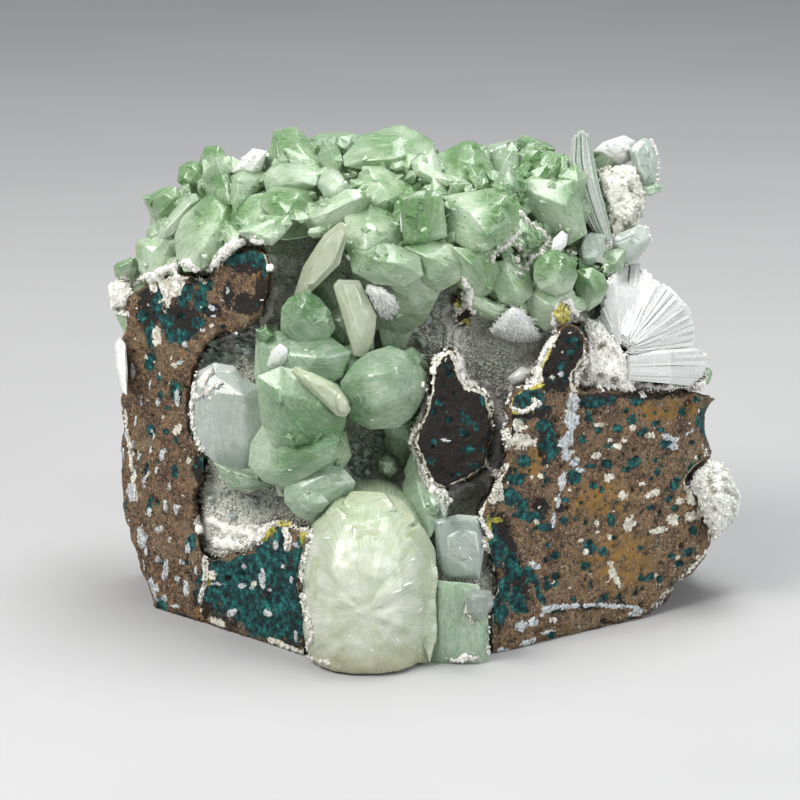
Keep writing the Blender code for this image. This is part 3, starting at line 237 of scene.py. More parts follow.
def remeshed(ob, size):
    m = ob.modifiers.new("r", 'REMESH')
    m.mode = 'VOXEL'
    m.voxel_size = size * MM
    m.use_smooth_shade = True
    me = baked(ob)
    ob.modifiers.clear()
    old = ob.data
    ob.data = me
    bpy.data.meshes.remove(old)
    return ob


def smooth_shade(me, angle=None):
    me.polygons.foreach_set("use_smooth", [True] * len(me.polygons))
    if angle is not None:
        me.set_sharp_from_angle(angle=math.radians(angle))


def finish_piece(ob, mat, replaces=()):
    ob.data.validate()
    ob.data.update()
    ob.data.materials.clear()
    ob.data.materials.append(mat)
    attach(ob, "root")
    if replaces:
        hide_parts(*replaces)
    return ob


def many(name, shape, places, mats3, tint=None, jitter=0.0, seed=1):
    """One joined mesh of copies of a small closed shape. places (n, 3) mm, mats3 (n, 3, 3) with columns the axes in mm."""
    verts, faces = shape
    v = np.array(verts, float)
    n, k = len(places), len(v)
    rng = np.random.default_rng(seed)
    base = np.broadcast_to(v, (n, k, 3)).copy()
    if jitter:
        base = base * (1.0 + rng.uniform(-jitter, jitter, (n, k, 3)))
    w = np.einsum("nij,nkj->nki", mats3, base) + places[:, None, :]
    co = (w.reshape(-1, 3) * MM).astype(np.float32)
    sizes = np.array([len(f) for f in faces])
    flat = np.concatenate([np.array(f) for f in faces])
    loops = (flat[None, :] + (np.arange(n) * k)[:, None]).ravel().astype(np.int32)
    starts_one = np.concatenate([[0], np.cumsum(sizes)[:-1]])
    starts = (starts_one[None, :] + (np.arange(n) * len(flat))[:, None]).ravel().astype(np.int32)
    me = bpy.data.meshes.new(name)
    me.vertices.add(len(co))
    me.vertices.foreach_set("co", co.ravel())
    me.loops.add(len(loops))
    me.loops.foreach_set("vertex_index", loops)
    me.polygons.add(n * len(faces))
    me.polygons.foreach_set("loop_start", starts)
    me.update(calc_edges=True)
    if tint is not None:
        put_attr(me, "tint", np.repeat(np.asarray(tint, float), k, axis=0), "FLOAT_COLOR", "POINT")
    me.validate()
    return link(bpy.data.objects.new(name, me))


def frames_for(nrm, rng, tilt, sx, sy, sz):
    """Random frames whose third axis leans about the given normals."""
    n = len(nrm)
    d = nrm + rng.normal(0, tilt, (n, 3))
    d /= np.linalg.norm(d, axis=1)[:, None] + 1e-12
    r = rng.normal(0, 1, (n, 3))
    a = np.cross(d, r)
    a /= np.linalg.norm(a, axis=1)[:, None] + 1e-12
    b = np.cross(d, a)
    m = np.empty((n, 3, 3))
    m[:, :, 0] = a * np.asarray(sx)[:, None]
    m[:, :, 1] = b * np.asarray(sy)[:, None]
    m[:, :, 2] = d * np.asarray(sz)[:, None]
    return m


def prism_shape(sides, top=0.0, waist=0.6):
    """Crystal point: prism from z -0.5 to waist, then a tip at z 1."""
    vs, fs = [], []
    for z in (-0.5, waist):
        for i in range(sides):
            a = 2 * math.pi * i / sides
            vs.append((math.cos(a), math.sin(a), z))
    if top > 0:
        for i in range(sides):
            a = 2 * math.pi * i / sides
            vs.append((math.cos(a) * top, math.sin(a) * top, 1.0))
        for i in range(sides):
            j = (i + 1) % sides
            fs.append((i, j, sides + j, sides + i))
            fs.append((sides + i, sides + j, 2 * sides + j, 2 * sides + i))
        fs.append(tuple(range(2 * sides, 3 * sides)))
    else:
        vs.append((0, 0, 1.0))
        for i in range(sides):
            j = (i + 1) % sides
            fs.append((i, j, sides + j, sides + i))
            fs.append((sides + i, sides + j, 2 * sides))
    fs.append(tuple(reversed(range(sides))))
    return vs, fs


BLOCK = ([(-1, -1, -1), (1, -1, -1), (1, 1, -1), (-1, 1, -1), (-.8, -.8, 1), (.8, -.8, 1), (.8, .8, 1), (-.8, .8, 1)],
         [(3, 2, 1, 0), (4, 5, 6, 7), (0, 1, 5, 4), (1, 2, 6, 5), (2, 3, 7, 6), (3, 0, 4, 7)])
POINT6 = prism_shape(6)
POINT4 = prism_shape(4, waist=0.35)
POINT4T = prism_shape(4, top=0.5, waist=0.4)


def lump_shape():
    bm = bmesh.new()
    bmesh.ops.create_icosphere(bm, subdivisions=1, radius=1.0)
    vs = [tuple(v.co) for v in bm.verts]
    fs = [tuple(v.index for v in f.verts) for f in bm.faces]
    bm.free()
    return vs, fs


LUMP = lump_shape()


# ------------------------------------------------------------------ node material helpers
class Mat:
    """Small helper that builds a Principled material with procedural inputs."""

    def __init__(self, name):
        self.mat = bpy.data.materials.new(name)
        self.mat.use_nodes = True
        self.nt = self.mat.node_tree
        self.p = self.nt.nodes["Principled BSDF"]
        self.out = self.nt.nodes["Material Output"]
        self.obj = self.nt.nodes.new("ShaderNodeTexCoord").outputs["Object"]

    def node(self, kind, **props):
        n = self.nt.nodes.new(kind)
        for k, v in props.items():
            setattr(n, k, v)
        return n

    def put(self, socket, value):
        if isinstance(value, bpy.types.NodeSocket):
            self.nt.links.new(value, socket)
        elif isinstance(value, (tuple, list)) and len(value) == 3 and socket.type == 'RGBA':
            socket.default_value = (*value, 1.0)
        else:
            socket.default_value = value

    def noise(self, scale, detail=3.0, rough=0.55, vec=None, distortion=0.0, dims='3D', w=None):
        n = self.node("ShaderNodeTexNoise", noise_dimensions=dims)
        if dims != '1D':
            self.put(n.inputs["Vector"], vec if vec is not None else self.obj)
        if w is not None:
            self.put(n.inputs["W"], w)
        n.inputs["Scale"].default_value = scale
        n.inputs["Detail"].default_value = detail
        n.inputs["Roughness"].default_value = rough
        n.inputs["Distortion"].default_value = distortion
        return n.outputs["Fac"]

    def voronoi(self, scale, feature='F1', vec=None, out="Distance", randomness=1.0):
        n = self.node("ShaderNodeTexVoronoi", feature=feature)
        self.put(n.inputs["Vector"], vec if vec is not None else self.obj)
        n.inputs["Scale"].default_value = scale
        n.inputs["Randomness"].default_value = randomness
        return n.outputs[out]

    def stretch(self, x, y, z, vec=None):
        n = self.node("ShaderNodeVectorMath", operation='MULTIPLY')
        self.put(n.inputs[0], vec if vec is not None else self.obj)
        n.inputs[1].default_value = (x, y, z)
        return n.outputs[0]

    def dot(self, a, b):
        n = self.node("ShaderNodeVectorMath", operation='DOT_PRODUCT')
        self.put(n.inputs[0], a)
        self.put(n.inputs[1], b)
        return n.outputs["Value"]

    def band(self, fac, a, b, lo=0.0, hi=1.0, mode='SMOOTHSTEP'):
        n = self.node("ShaderNodeMapRange", interpolation_type=mode)
        self.put(n.inputs["Value"], fac)
        n.inputs["From Min"].default_value = a
        n.inputs["From Max"].default_value = b
        n.inputs["To Min"].default_value = lo
        n.inputs["To Max"].default_value = hi
        return n.outputs["Result"]

    def math(self, op, a, b=0.0, c=None, clamp=False):
        n = self.node("ShaderNodeMath", operation=op, use_clamp=clamp)
        self.put(n.inputs[0], a)
        self.put(n.inputs[1], b)
        if c is not None:
            self.put(n.inputs[2], c)
        return n.outputs[0]

    def mix(self, fac, a, b, blend='MIX'):
        n = self.node("ShaderNodeMix", data_type='RGBA', blend_type=blend)
        self.put(n.inputs[0], fac)
        self.put(n.inputs[6], a)
        self.put(n.inputs[7], b)
        return n.outputs[2]

    def lerp(self, fac, a, b):
        n = self.node("ShaderNodeMix", data_type='FLOAT')
        self.put(n.inputs[0], fac)
        self.put(n.inputs[2], a)
        self.put(n.inputs[3], b)
        return n.outputs[0]

    def ramp(self, fac, stops):
        n = self.node("ShaderNodeValToRGB")
        self.put(n.inputs[0], fac)
        els = n.color_ramp.elements
        els[0].position, els[0].color = stops[0][0], (*stops[0][1], 1)
        els[1].position, els[1].color = stops[-1][0], (*stops[-1][1], 1)
        for pos, col in stops[1:-1]:
            e = els.new(pos)
            e.color = (*col, 1)
        return n.outputs["Color"]

    def attr(self, name, out="Color"):
        n = self.node("ShaderNodeAttribute", attribute_type='GEOMETRY', attribute_name=name)
        return n.outputs[out]

    def split(self, color):
        n = self.node("ShaderNodeSeparateColor")
        self.put(n.inputs[0], color)
        return n.outputs[0], n.outputs[1], n.outputs[2]

    def bump(self, height, strength=0.3, distance=0.0004, prev=None):
        n = self.node("ShaderNodeBump")
        n.inputs["Strength"].default_value = strength
        n.inputs["Distance"].default_value = distance
        self.put(n.inputs["Height"], height)
        if prev is not None:
            self.put(n.inputs["Normal"], prev)
        return n.outputs["Normal"]

    def set(self, **kw):
        names = {"color": "Base Color", "rough": "Roughness", "metal": "Metallic", "ior": "IOR", "trans": "Transmission Weight",
                 "normal": "Normal", "spec": "Specular IOR Level", "coat": "Coat Weight", "coat_rough": "Coat Roughness",
                 "sss": "Subsurface Weight", "sss_radius": "Subsurface Radius", "sss_scale": "Subsurface Scale"}
        for k, v in kw.items():
            self.put(self.p.inputs[names[k]], v)
        return self

    def absorb(self, color, density):
        n = self.node("ShaderNodeVolumeAbsorption")
        n.inputs["Color"].default_value = (*color, 1)
        n.inputs["Density"].default_value = density
        self.nt.links.new(n.outputs[0], self.out.inputs["Volume"])
        return self


def lin(r, g, b):
    """sRGB 0-255 to linear."""
    return tuple(((c / 255.0) / 12.92) if c / 255.0 <= 0.04045 else (((c / 255.0) + 0.055) / 1.055) ** 2.4 for c in (r, g, b))


# ================================================================== LINES OF WHITE CRUST
CRUST = [
    # points, half width, count per px, pale share, raise
    ([(118, 294), (132, 284), (146, 276), (160, 272), (176, 266), (188, 262), (204, 273), (218, 262), (230, 246), (246, 240), (262, 245)], 5.5, 5.0, 1.0, .3),
    ([(158, 270), (163, 284), (168, 296)], 4.0, 5.0, 1.0, .2), ([(174, 268), (179, 282), (176, 292)], 5.0, 5.0, 1.0, .2), ([(148, 276), (153, 290)], 3.0, 4.0, 1.0, .2),
    ([(190, 262), (196, 274), (204, 282)], 3.0, 4.0, .9, .2), ([(224, 256), (236, 244), (258, 240)], 5.0, 5.0, .75, .4),
    ([(266, 246), (273, 262), (276, 286), (270, 308), (263, 324)], 6.0, 6.0, .85, .4),
    ([(263, 324), (248, 334), (228, 336), (212, 347), (202, 361), (195, 378), (192, 398), (191, 416), (196, 438), (206, 456)], 3.0, 4.0, .9, .3),
    ([(200, 384), (206, 376), (214, 372)], 6.0, 6.0, .9, .5), ([(196, 398), (206, 392), (220, 384)], 4.0, 4.0, .95, .5),
    ([(202, 522), (208, 538), (222, 545), (242, 548), (257, 538), (262, 528)], 7.0, 8.0, .95, .5), ([(204, 556), (205, 576), (200, 602)], 2.6, 4.0, .8, .2),
    ([(210, 520), (232, 530), (250, 528)], 8.0, 6.0, .9, .4), ([(262, 527), (282, 521), (298, 527), (312, 531)], 3.0, 4.5, .85, .3), ([(284, 528), (288, 540), (286, 548)], 3.5, 4.0, .9, .2),
    ([(311, 530), (308, 548), (303, 566), (301, 588), (306, 610), (313, 636), (306, 652)], 4.0, 5.0, .9, .4),
    ([(270, 640), (288, 648), (308, 656), (330, 664)], 3.0, 4.0, .7, .2),
    # teardrop rim
    ([(449, 346), (439, 354), (431, 368), (428, 394), (423, 413), (416, 428), (411, 444), (417, 454), (424, 472), (434, 490)], 5.0, 6.0, .95, .3),
    ([(434, 490), (448, 494), (468, 484), (488, 472)], 6.5, 8.0, .7, .3), ([(418, 470), (428, 486), (446, 498)], 5.0, 6.0, .5, .3), ([(436, 496), (444, 506), (452, 498)], 4.0, 5.0, .5, .4),
    ([(455, 348), (464, 376), (470, 384), (484, 388), (492, 398), (497, 415), (499, 432), (495, 452), (492, 468)], 6.6, 9.0, 1.0, .5), ([(488, 384), (500, 396), (506, 420), (504, 440)], 4.5, 6.0, .95, .6),
    ([(494, 456), (492, 476), (486, 490)], 4.0, 5.0, .6, .4), ([(500, 486), (500, 498)], 4.0, 4.0, .7, .3),
    # knobs
    ([(447, 290), (455, 288), (462, 295), (461, 306), (453, 308), (447, 300), (447, 290)], 3.2, 6.0, .95, .2), ([(453, 328), (454, 314), (464, 305), (474, 310), (473, 321), (464, 329), (453, 328)], 3.4, 6.0, .95, .2),
    ([(446, 300), (444, 316), (448, 332), (446, 348)], 5.0, 7.0, .95, .6), ([(468, 300), (476, 318), (470, 334), (460, 350)], 3.4, 5.0, .9, .4), ([(456, 330), (454, 342)], 5.0, 7.0, .95, .5),
    ([(462, 276), (466, 286), (472, 300)], 5.0, 3.0, .9, .5),
    # prong
    ([(566, 300), (556, 308), (553, 322), (556, 330), (548, 344), (541, 358), (536, 372), (524, 382), (510, 390), (507, 404)], 4.2, 5.0, .95, .2),
    ([(566, 300), (574, 312), (584, 322), (591, 336), (590, 352), (584, 366), (576, 376), (576, 386)], 5.5, 9.0, 1.0, .5), ([(571, 304), (578, 314)], 4.0, 5.0, .95, .3),
    ([(512, 384), (520, 372), (534, 368), (538, 378), (526, 384)], 5.0, 6.0, .85, .5), ([(512, 408), (522, 412), (540, 404), (534, 400)], 2.2, 4.0, .8, .15),
    # over the right block
    ([(578, 382), (596, 386), (616, 386), (640, 387), (662, 388), (684, 384), (704, 384)], 5.0, 9.0, .95, .4), ([(640, 391), (644, 396)], 2.5, 3.0, .9, .2), ([(655, 380), (680, 380), (698, 382)], 4.0, 5.0, .7, .8),
    # centre right, down to the foot
    ([(508, 430), (508, 446), (500, 462)], 3.0, 4.0, .7, .3), ([(500, 462), (490, 482), (481, 506), (480, 518), (490, 536)], 2.6, 4.0, .8, .2), ([(476, 512), (480, 508)], 4.0, 4.0, .9, .3),
    ([(484, 540), (488, 560), (494, 586), (489, 606), (490, 634), (488, 654)], 3.4, 5.0, .8, .4), ([(440, 664), (458, 661), (476, 656)], 5.0, 7.0, .85, .4), ([(500, 656), (530, 646), (560, 640)], 2.0, 2.5, .5, .1),
    ([(492, 500), (498, 480), (506, 466)], 4.0, 3.0, .5, .4), ([(470, 598), (466, 612), (474, 624)], 4.0, 3.0, .5, .3),
    # between the crown crystals
    ([(521, 212), (530, 224), (544, 232), (547, 246), (538, 256), (524, 256)], 3.6, 5.0, 1.0, .3), ([(518, 232), (508, 244), (496, 252), (490, 262)], 4.0, 5.0, .95, .3), ([(520, 244), (516, 258), (520, 268)], 4.0, 4.0, .9, .4),
    ([(548, 236), (552, 250)], 2.6, 3.0, .9, .3), ([(566, 250), (576, 254)], 4.0, 3.0, .7, .4), ([(536, 256), (520, 274), (508, 270)], 2.5, 3.0, .8, .3), ([(606, 256), (600, 262), (604, 268), (610, 278)], 2.4, 3.0, .95, .3),
    # right edge of the block and the spur
    ([(706, 464), (696, 470), (688, 482), (690, 490), (702, 500), (710, 520), (712, 540)], 3.0, 4.5, .8, .4), ([(704, 446), (708, 456)], 2.0, 3.0, .6, .1), ([(712, 544), (698, 562), (678, 580), (662, 600), (644, 620)], 2.0, 3.0, .6, .1),
    # left edge
    ([(118, 336), (122, 350), (124, 372)], 2.5, 3.0, 1.0, .2), ([(108, 300), (116, 312), (126, 314)], 4.0, 4.0, .95, .3), ([(124, 410), (128, 440), (132, 470), (136, 500)], 1.6, 1.2, .95, .1),
    ([(112, 288), (126, 278), (140, 282)], 5.0, 5.0, 1.0, .3),
]


def crust_near(u, v, wob):
    """Nearness to the crust lines: 1 on the line, 0 at its width; and its pale share."""
    best = np.full(len(u), -9.0)
    pale = np.zeros(len(u))
    for line, hw, dens, share, up in CRUST:
        p = np.array(line, float)
        pick = np.where((u > p[:, 0].min() - 14) & (u < p[:, 0].max() + 14) & (v > p[:, 1].min() - 14) & (v < p[:, 1].max() + 14))[0]
        if not len(pick):
            continue
        q = np.stack([u[pick], v[pick]], 1)
        d = np.full(len(pick), 1e9)
        for s, e in zip(p, p[1:]):
            w = e - s
            t = np.clip(((q - s) @ w) / (w @ w + 1e-9), 0, 1)
            d = np.minimum(d, np.hypot(*(q - s - t[:, None] * w).T))
        near = 1.0 - d / (hw * (1.0 + 0.35 * wob[pick]))
        up_ = near > best[pick]
        best[pick[up_]] = near[up_]
        pale[pick[up_]] = share
    return best, pale


# ================================================================== ROCK
LEFT_CHEEK = [
    (240, 249), (255, 247), (270, 255), (271, 272), (266, 296), (258, 322), (240, 330), (222, 332),
    (208, 345), (198, 360), (192, 378), (189, 409), (192, 434), (205, 456), (207, 472), (197, 495),
    (200, 530), (204, 556), (228, 561), (243, 553), (254, 556), (260, 542), (265, 526),
    (281, 521), (297, 528), (311, 530), (305, 554), (300, 586), (305, 612), (306, 660), (262, 650),
    (206, 636), (172, 622), (155, 610), (147, 584), (143, 572), (134, 541), (130, 519), (125, 488), (123, 462),
    (119, 445), (123, 430), (123, 410), (124, 393), (121, 360), (120, 341), (127, 325), (126, 310),
    (133, 296), (146, 283), (160, 276), (176, 272), (191, 276), (204, 279), (214, 277), (217, 263), (228, 253),
]
RIGHT_BLOCK = [
    (563, 326), (574, 325), (583, 328), (587, 355), (582, 366), (573, 378), (577, 392), (600, 391),
    (620, 394), (640, 391), (660, 394), (680, 390), (700, 391), (719, 398), (712, 404), (705, 410),
    (703, 424), (704, 440), (708, 454), (706, 462), (697, 467), (688, 478), (687, 486), (696, 494),
    (706, 505), (710, 520), (712, 541), (705, 550), (698, 561), (676, 580), (664, 598), (643, 619),
    (640, 640), (561, 660), (490, 680), (492, 628), (490, 600), (496, 587), (490, 560), (484, 540), (478, 515), (488, 492),
    (501, 472), (508, 455), (505, 440), (512, 425), (508, 405), (510, 396), (522, 388), (537, 383),
    (537, 368), (543, 356), (550, 344), (557, 334),
]
TEARDROP = [
    (449, 349), (455, 350), (464, 383), (478, 388), (486, 394), (492, 415), (493, 430), (489, 450),
    (488, 467), (469, 479), (448, 489), (434, 487), (424, 470), (418, 451), (413, 444), (418, 428),
    (424, 414), (429, 396), (432, 368), (440, 354),
]

# painted patches on the broken rock faces: (u, v, half width, half height, turn in degrees)
TEAL = [
    (232, 258, 12, 8, 0), (255, 258, 14, 9, 10), (266, 272, 4, 10, 0), (184, 296, 9, 14, 15), (200, 300, 8, 12, 0),
    (205, 284, 8, 7, 0), (158, 300, 6, 16, 10), (166, 322, 7, 9, 0), (152, 335, 6, 14, 5), (180, 336, 14, 7, 0),
    (197, 322, 7, 6, 0), (150, 362, 6, 10, 10), (142, 316, 4, 8, 0), (176, 394, 6, 12, -10), (152, 430, 5, 7, -30),
    (168, 408, 3, 3, 0), (175, 472, 4, 8, 0), (208, 466, 9, 11, 0), (231, 494, 6, 10, 0), (190, 545, 5, 10, 20),
    (158, 378, 3, 4, 0), (166, 432, 3, 4, 0), (146, 470, 2.4, 8, 10), (160, 395, 2.5, 5, 0), (150, 505, 2.5, 9, 10),
    (176, 440, 3, 4, 0), (178, 618, 16, 5, 15), (160, 606, 8, 6, 30),
    # teal block
    (232, 585, 34, 24, 0), (262, 560, 18, 30, 0), (282, 548, 10, 26, 0), (285, 600, 16, 42, 0), (262, 620, 24, 20, 0),
    (225, 560, 20, 10, 0), (298, 560, 6, 26, 0), (296, 630, 10, 14, 0), (240, 606, 24, 14, 0),
    # teardrop flecks
    (446, 366, 4, 3, 0), (448, 375, 4, 2, 20), (439, 403, 4, 3, 0), (461, 412, 3.4, 4, 0), (467, 420, 4.5, 5, 0),
    (463, 431, 5, 3, 10), (476, 427, 3.6, 4.5, 0), (467, 449, 7, 5, 0), (482, 450, 3, 4, 0), (433, 442, 4, 3.5, 0),
    (430, 460, 4.5, 4, 0), (475, 466, 6, 3, 15), (459, 474, 3.5, 3, 0), (485, 400, 4.5, 8, -20), (490, 436, 2.5, 4, 0),
    # right block, left strip
    (527, 398, 17, 13, 10), (543, 425, 9, 6, -20), (551, 446, 7, 16, 0), (524, 462, 7, 6, 0), (516, 480, 9, 6, 0),
    (512, 497, 12, 9, 20), (524, 505, 6, 7, 0), (530, 516, 16, 6, 10), (546, 527, 10, 5, 0), (490, 535, 7, 18, 0),
    (500, 552, 9, 14, 0), (512, 566, 9, 18, -20), (505, 590, 9, 14, 0), (517, 600, 9, 15, -15), (500, 612, 9, 12, 0),
    (531, 575, 5, 12, -30), (538, 593, 3, 9, -20), (560, 366, 4, 5, 0), (571, 352, 4, 4, 0), (552, 378, 4, 3, 0),
    (565, 378, 3, 4, 0), (573, 340, 4, 3, 0), (590, 418, 4, 6, 0), (596, 402, 12, 6, 0), (609, 401, 7, 5, 0),
    (636, 402, 6, 5, 0), (632, 420, 5, 7, 0), (617, 428, 5, 5, 45), (642, 432, 6, 4, -20), (574, 477, 7, 8, 0),
    (594, 486, 5, 4, 0), (602, 490, 3, 4, 0), (589, 547, 7, 8, 0), (602, 551, 5, 5, 0), (556, 584, 3, 4, 0),
    (556, 556, 4, 4, 0), (591, 582, 3, 3, 0), (548, 545, 3, 3, 0), (700, 420, 4, 9, 10), (693, 470, 5, 7, 0),
    (660, 430, 4, 3, 0), (667, 445, 8, 5, 20), (634, 462, 7, 7, 0), (591, 466, 6, 3, 0), (657, 472, 4, 4, 0),
    (606, 462, 3, 3, 0), (626, 470, 4, 3, 0), (583, 440, 3, 4, 0), (612, 446, 6, 3, 0), (655, 460, 3, 3, 0),
    (612, 520, 4, 7, 0), (650, 508, 5, 3, 0), (640, 548, 3, 3, 0), (668, 500, 3, 3, 0), (678, 480, 3, 3, 0),
    (566, 500, 5, 3, 0), (563, 520, 4, 4, 0), (693, 530, 4, 5, 0), (688, 552, 8, 4, -30), (650, 577, 8, 4, -20),
    (672, 556, 4, 3, 0), (600, 602, 3, 3, 0), (574, 600, 3, 3, 0), (543, 600, 3, 5, 0),
]
DARK = [
    (245, 262, 24, 12, 10), (262, 290, 8, 20, 0), (250, 306, 18, 10, 0), (194, 279, 10, 6, 0), (142, 290, 8, 8, 0),
    (150, 310, 14, 22, 0), (180, 320, 26, 22, 0), (228, 295, 6, 14, 0), (203, 468, 12, 16, 0), (235, 500, 40, 20, 0),
    (255, 585, 60, 45, 0), (290, 600, 18, 60, 0), (236, 520, 40, 12, 0), (206, 600, 6, 20, 0),
    (455, 400, 28, 60, 0), (445, 460, 45, 30, 0), (470, 440, 26, 40, 0), (450, 360, 10, 20, 0),
    (565, 350, 30, 30, 0), (556, 372, 24, 22, 0), (580, 350, 20, 36, 0), (592, 400, 20, 9, 0), (640, 394, 40, 6, 0),
    (512, 425, 12, 16, 0), (500, 470, 12, 14, 0), (498, 540, 14, 30, 0), (510, 545, 8, 14, -30), (515, 575, 10, 30, -25),
    (497, 600, 8, 30, 0), (522, 505, 6, 5, 0), (541, 506, 10, 8, 20), (560, 508, 6, 5, 0), (547, 440, 10, 26, 0),
    (532, 412, 20, 8, 0), (575, 606, 14, 3, 0), (592, 608, 9, 3, 0), (560, 611, 7, 2.4, 0), (622, 604, 8, 3, 0),
    (212, 310, 10, 8, 0), (243, 300, 10, 8, 0),
]
WHITE_MARKS = [
    # drips and flakes of the left column
    (126, 433, 2.4, 9, 0), (131, 492, 4.4, 10, -8), (146, 479, 1.8, 12, 6), (153, 434, 2.4, 6, -25), (142, 538, 4.2, 12, -5),
    (160, 529, 5, 3.4, 0), (166, 568, 3.4, 12, 8), (176, 510, 3, 6, 0), (166, 505, 2.2, 7, 0), (187, 588, 3, 10, -10),
    (188, 549, 3, 6, 0), (158, 559, 3, 4, 0), (153, 590, 6, 12, -10), (177, 579, 3, 3, 0), (129, 523, 3, 9, 0),
    (143, 567, 2.4, 7, 0), (133, 371, 2.6, 9, 0), (177, 398, 3, 10, 0), (158, 402, 2.2, 5, 0), (163, 455, 3, 7, 0),
    (181, 362, 4, 3, 0), (186, 345, 3, 4, 0), (123, 455, 2, 8, 0), (130, 545, 2.4, 8, -10), (150, 512, 2, 5, 0),
    (170, 486, 1.6, 5, 0), (158, 470, 1.5, 4, 0), (140, 455, 1.6, 6, 0), (142, 400, 1.6, 7, 0), (150, 385, 1.5, 5, 0),
    (195, 523, 2, 3, 0), (146, 552, 2, 5, 0), (170, 540, 1.6, 4, 0), (182, 562, 1.6, 4, 0), (165, 598, 3, 4, 0),
    (176, 606, 6, 2.4, 12), (196, 570, 1.8, 5, 0), (152, 450, 1.5, 4, 0), (136, 420, 1.5, 6, 0), (133, 445, 1.6, 5, 0),
    (212, 307, 5, 3, 30), (228, 290, 3, 4, 0), (222, 300, 3, 2, 0), (214, 316, 3, 2, 0), (203, 330, 3, 2.4, 0),
    # right block
    (573, 402, 7, 10, 0), (571, 420, 8, 12, 6), (567, 438, 7, 10, 8), (565, 455, 6, 8, 0), (574, 462, 5, 5, 0),
    (562, 482, 3.4, 9, 12), (558, 500, 2.6, 8, 10), (553, 520, 2.4, 8, 5), (534, 565, 6, 4, 20), (667, 437, 8, 3, 20),
    (674, 447, 5, 4, 0), (562, 443, 4, 6, 0), (580, 470, 6, 2, 0), (560, 374, 3.2, 3, 0), (612, 606, 34, 2.6, 3),
    (560, 607, 28, 3.2, -4), (520, 626, 7, 6, -20), (533, 622, 6, 5, -30), (636, 612, 9, 4, -20), (545, 612, 8, 2, -25),
    (690, 432, 5, 1.6, -40), (676, 440, 3, 5, 30), (588, 382, 4, 3, 0), (527, 641, 10, 3, -15), (550, 632, 9, 2, -10),
    (502, 650, 6, 3, -10),
    # teardrop
    (445, 440, 7, 2.2, 10),
    # teal block spots
    (263, 578, 4, 12, 0), (232, 613, 6, 4, -25), (268, 613, 7, 3.6, 25), (276, 545, 3, 5, 0), (291, 580, 2.4, 4, 0),
    (296, 545, 5, 3, 20), (241, 586, 3, 2.6, 0), (252, 588, 3, 2.6, 0), (216, 584, 7, 2, 0), (283, 566, 2.4, 3, 0),
    (296, 636, 2, 7, -8), (245, 566, 3, 3, 0), (270, 590, 3, 2, 0),
]
CREAM_MARKS = [
    (178, 430, 4.2, 6, 15), (176, 365, 4, 3, 0), (189, 461, 4, 3, 0), (157, 336, 4, 12, 0), (168, 290, 7, 18, 15), (181, 275, 12, 6, 0),
    (599, 425, 4.5, 3, 0), (610, 477, 6, 5, 0), (622, 495, 6, 5, 0), (653, 493, 7, 4, -15), (629, 524, 7, 7, 0),
    (617, 446, 5, 3, 0), (657, 530, 10, 3, -8), (612, 572, 4, 5, 20), (617, 582, 3, 7, -20), (693, 500, 7, 5, 0), (700, 512, 5, 8, 0),
    (624, 440, 3, 2, 0), (585, 552, 3, 3, 0), (642, 484, 4, 2, 0), (672, 520, 6, 6, 0), (690, 516, 6, 6, 0), (524, 440, 13, 8, 0),
    (520, 425, 8, 6, 0), (212, 575, 5, 4, 0), (540, 476, 3, 3, 0), (504, 655, 12, 4, -12), (216, 622, 10, 4, 20), (296, 652, 14, 4, 20),
]
OCHRE = [
    (472, 446, 14, 12, 0), (480, 458, 7, 6, 0), (468, 425, 9, 6, 0), (442, 372, 4, 6, 0), (436, 378, 4, 5, 0), (455, 445, 10, 6, 0),
    (488, 415, 3, 8, 0), (240, 578, 9, 3, 0), (203, 603, 8, 14, 0), (262, 282, 8, 10, 0), (540, 452, 10, 8, 0),
    (530, 470, 12, 8, 0), (690, 410, 14, 5, 0), (620, 560, 30, 24, 0), (600, 500, 30, 18, 0), (660, 410, 24, 10, 0),
]
YELLOW = [
    (264, 531, 11, 8, -20), (304, 536, 5, 8, 0), (560, 316, 9, 12, 0), (511, 402, 3, 12, 0), (519, 388, 9, 3, -30),
    (536, 386, 8, 2.4, -15), (549, 350, 2.4, 14, 25), (540, 372, 2.4, 12, 10), (486, 392, 8, 2.2, 20), (489, 530, 2.4, 14, 0),
    (496, 520, 5, 2.4, 0), (209, 581, 3, 5, 0), (520, 412, 14, 2, 0),
]


def paint(u, v, marks, wob, soft=0.35, rough=0.45):
    """Highest weight of the marks at each sheet position; wob (n,) breaks their edges."""
    out = np.zeros(len(u))
    for mu, mv, ru, rv, turn in marks:
        c, s = math.cos(math.radians(turn)), math.sin(math.radians(turn))
        near = (np.abs(u - mu) < (ru + rv) * 1.6) & (np.abs(v - mv) < (ru + rv) * 1.6)
        if not near.any():
            continue
        du, dv = u[near] - mu, v[near] - mv
        d = np.hypot((du * c + dv * s) / ru, (-du * s + dv * c) / rv) + wob[near] * rough
        out[near] = np.maximum(out[near], smooth(1.0 + soft - d, 0.0, 2 * soft))
    return out


rock = remeshed(welded("basalt_matrix", "basalt_rock"), 1.12)


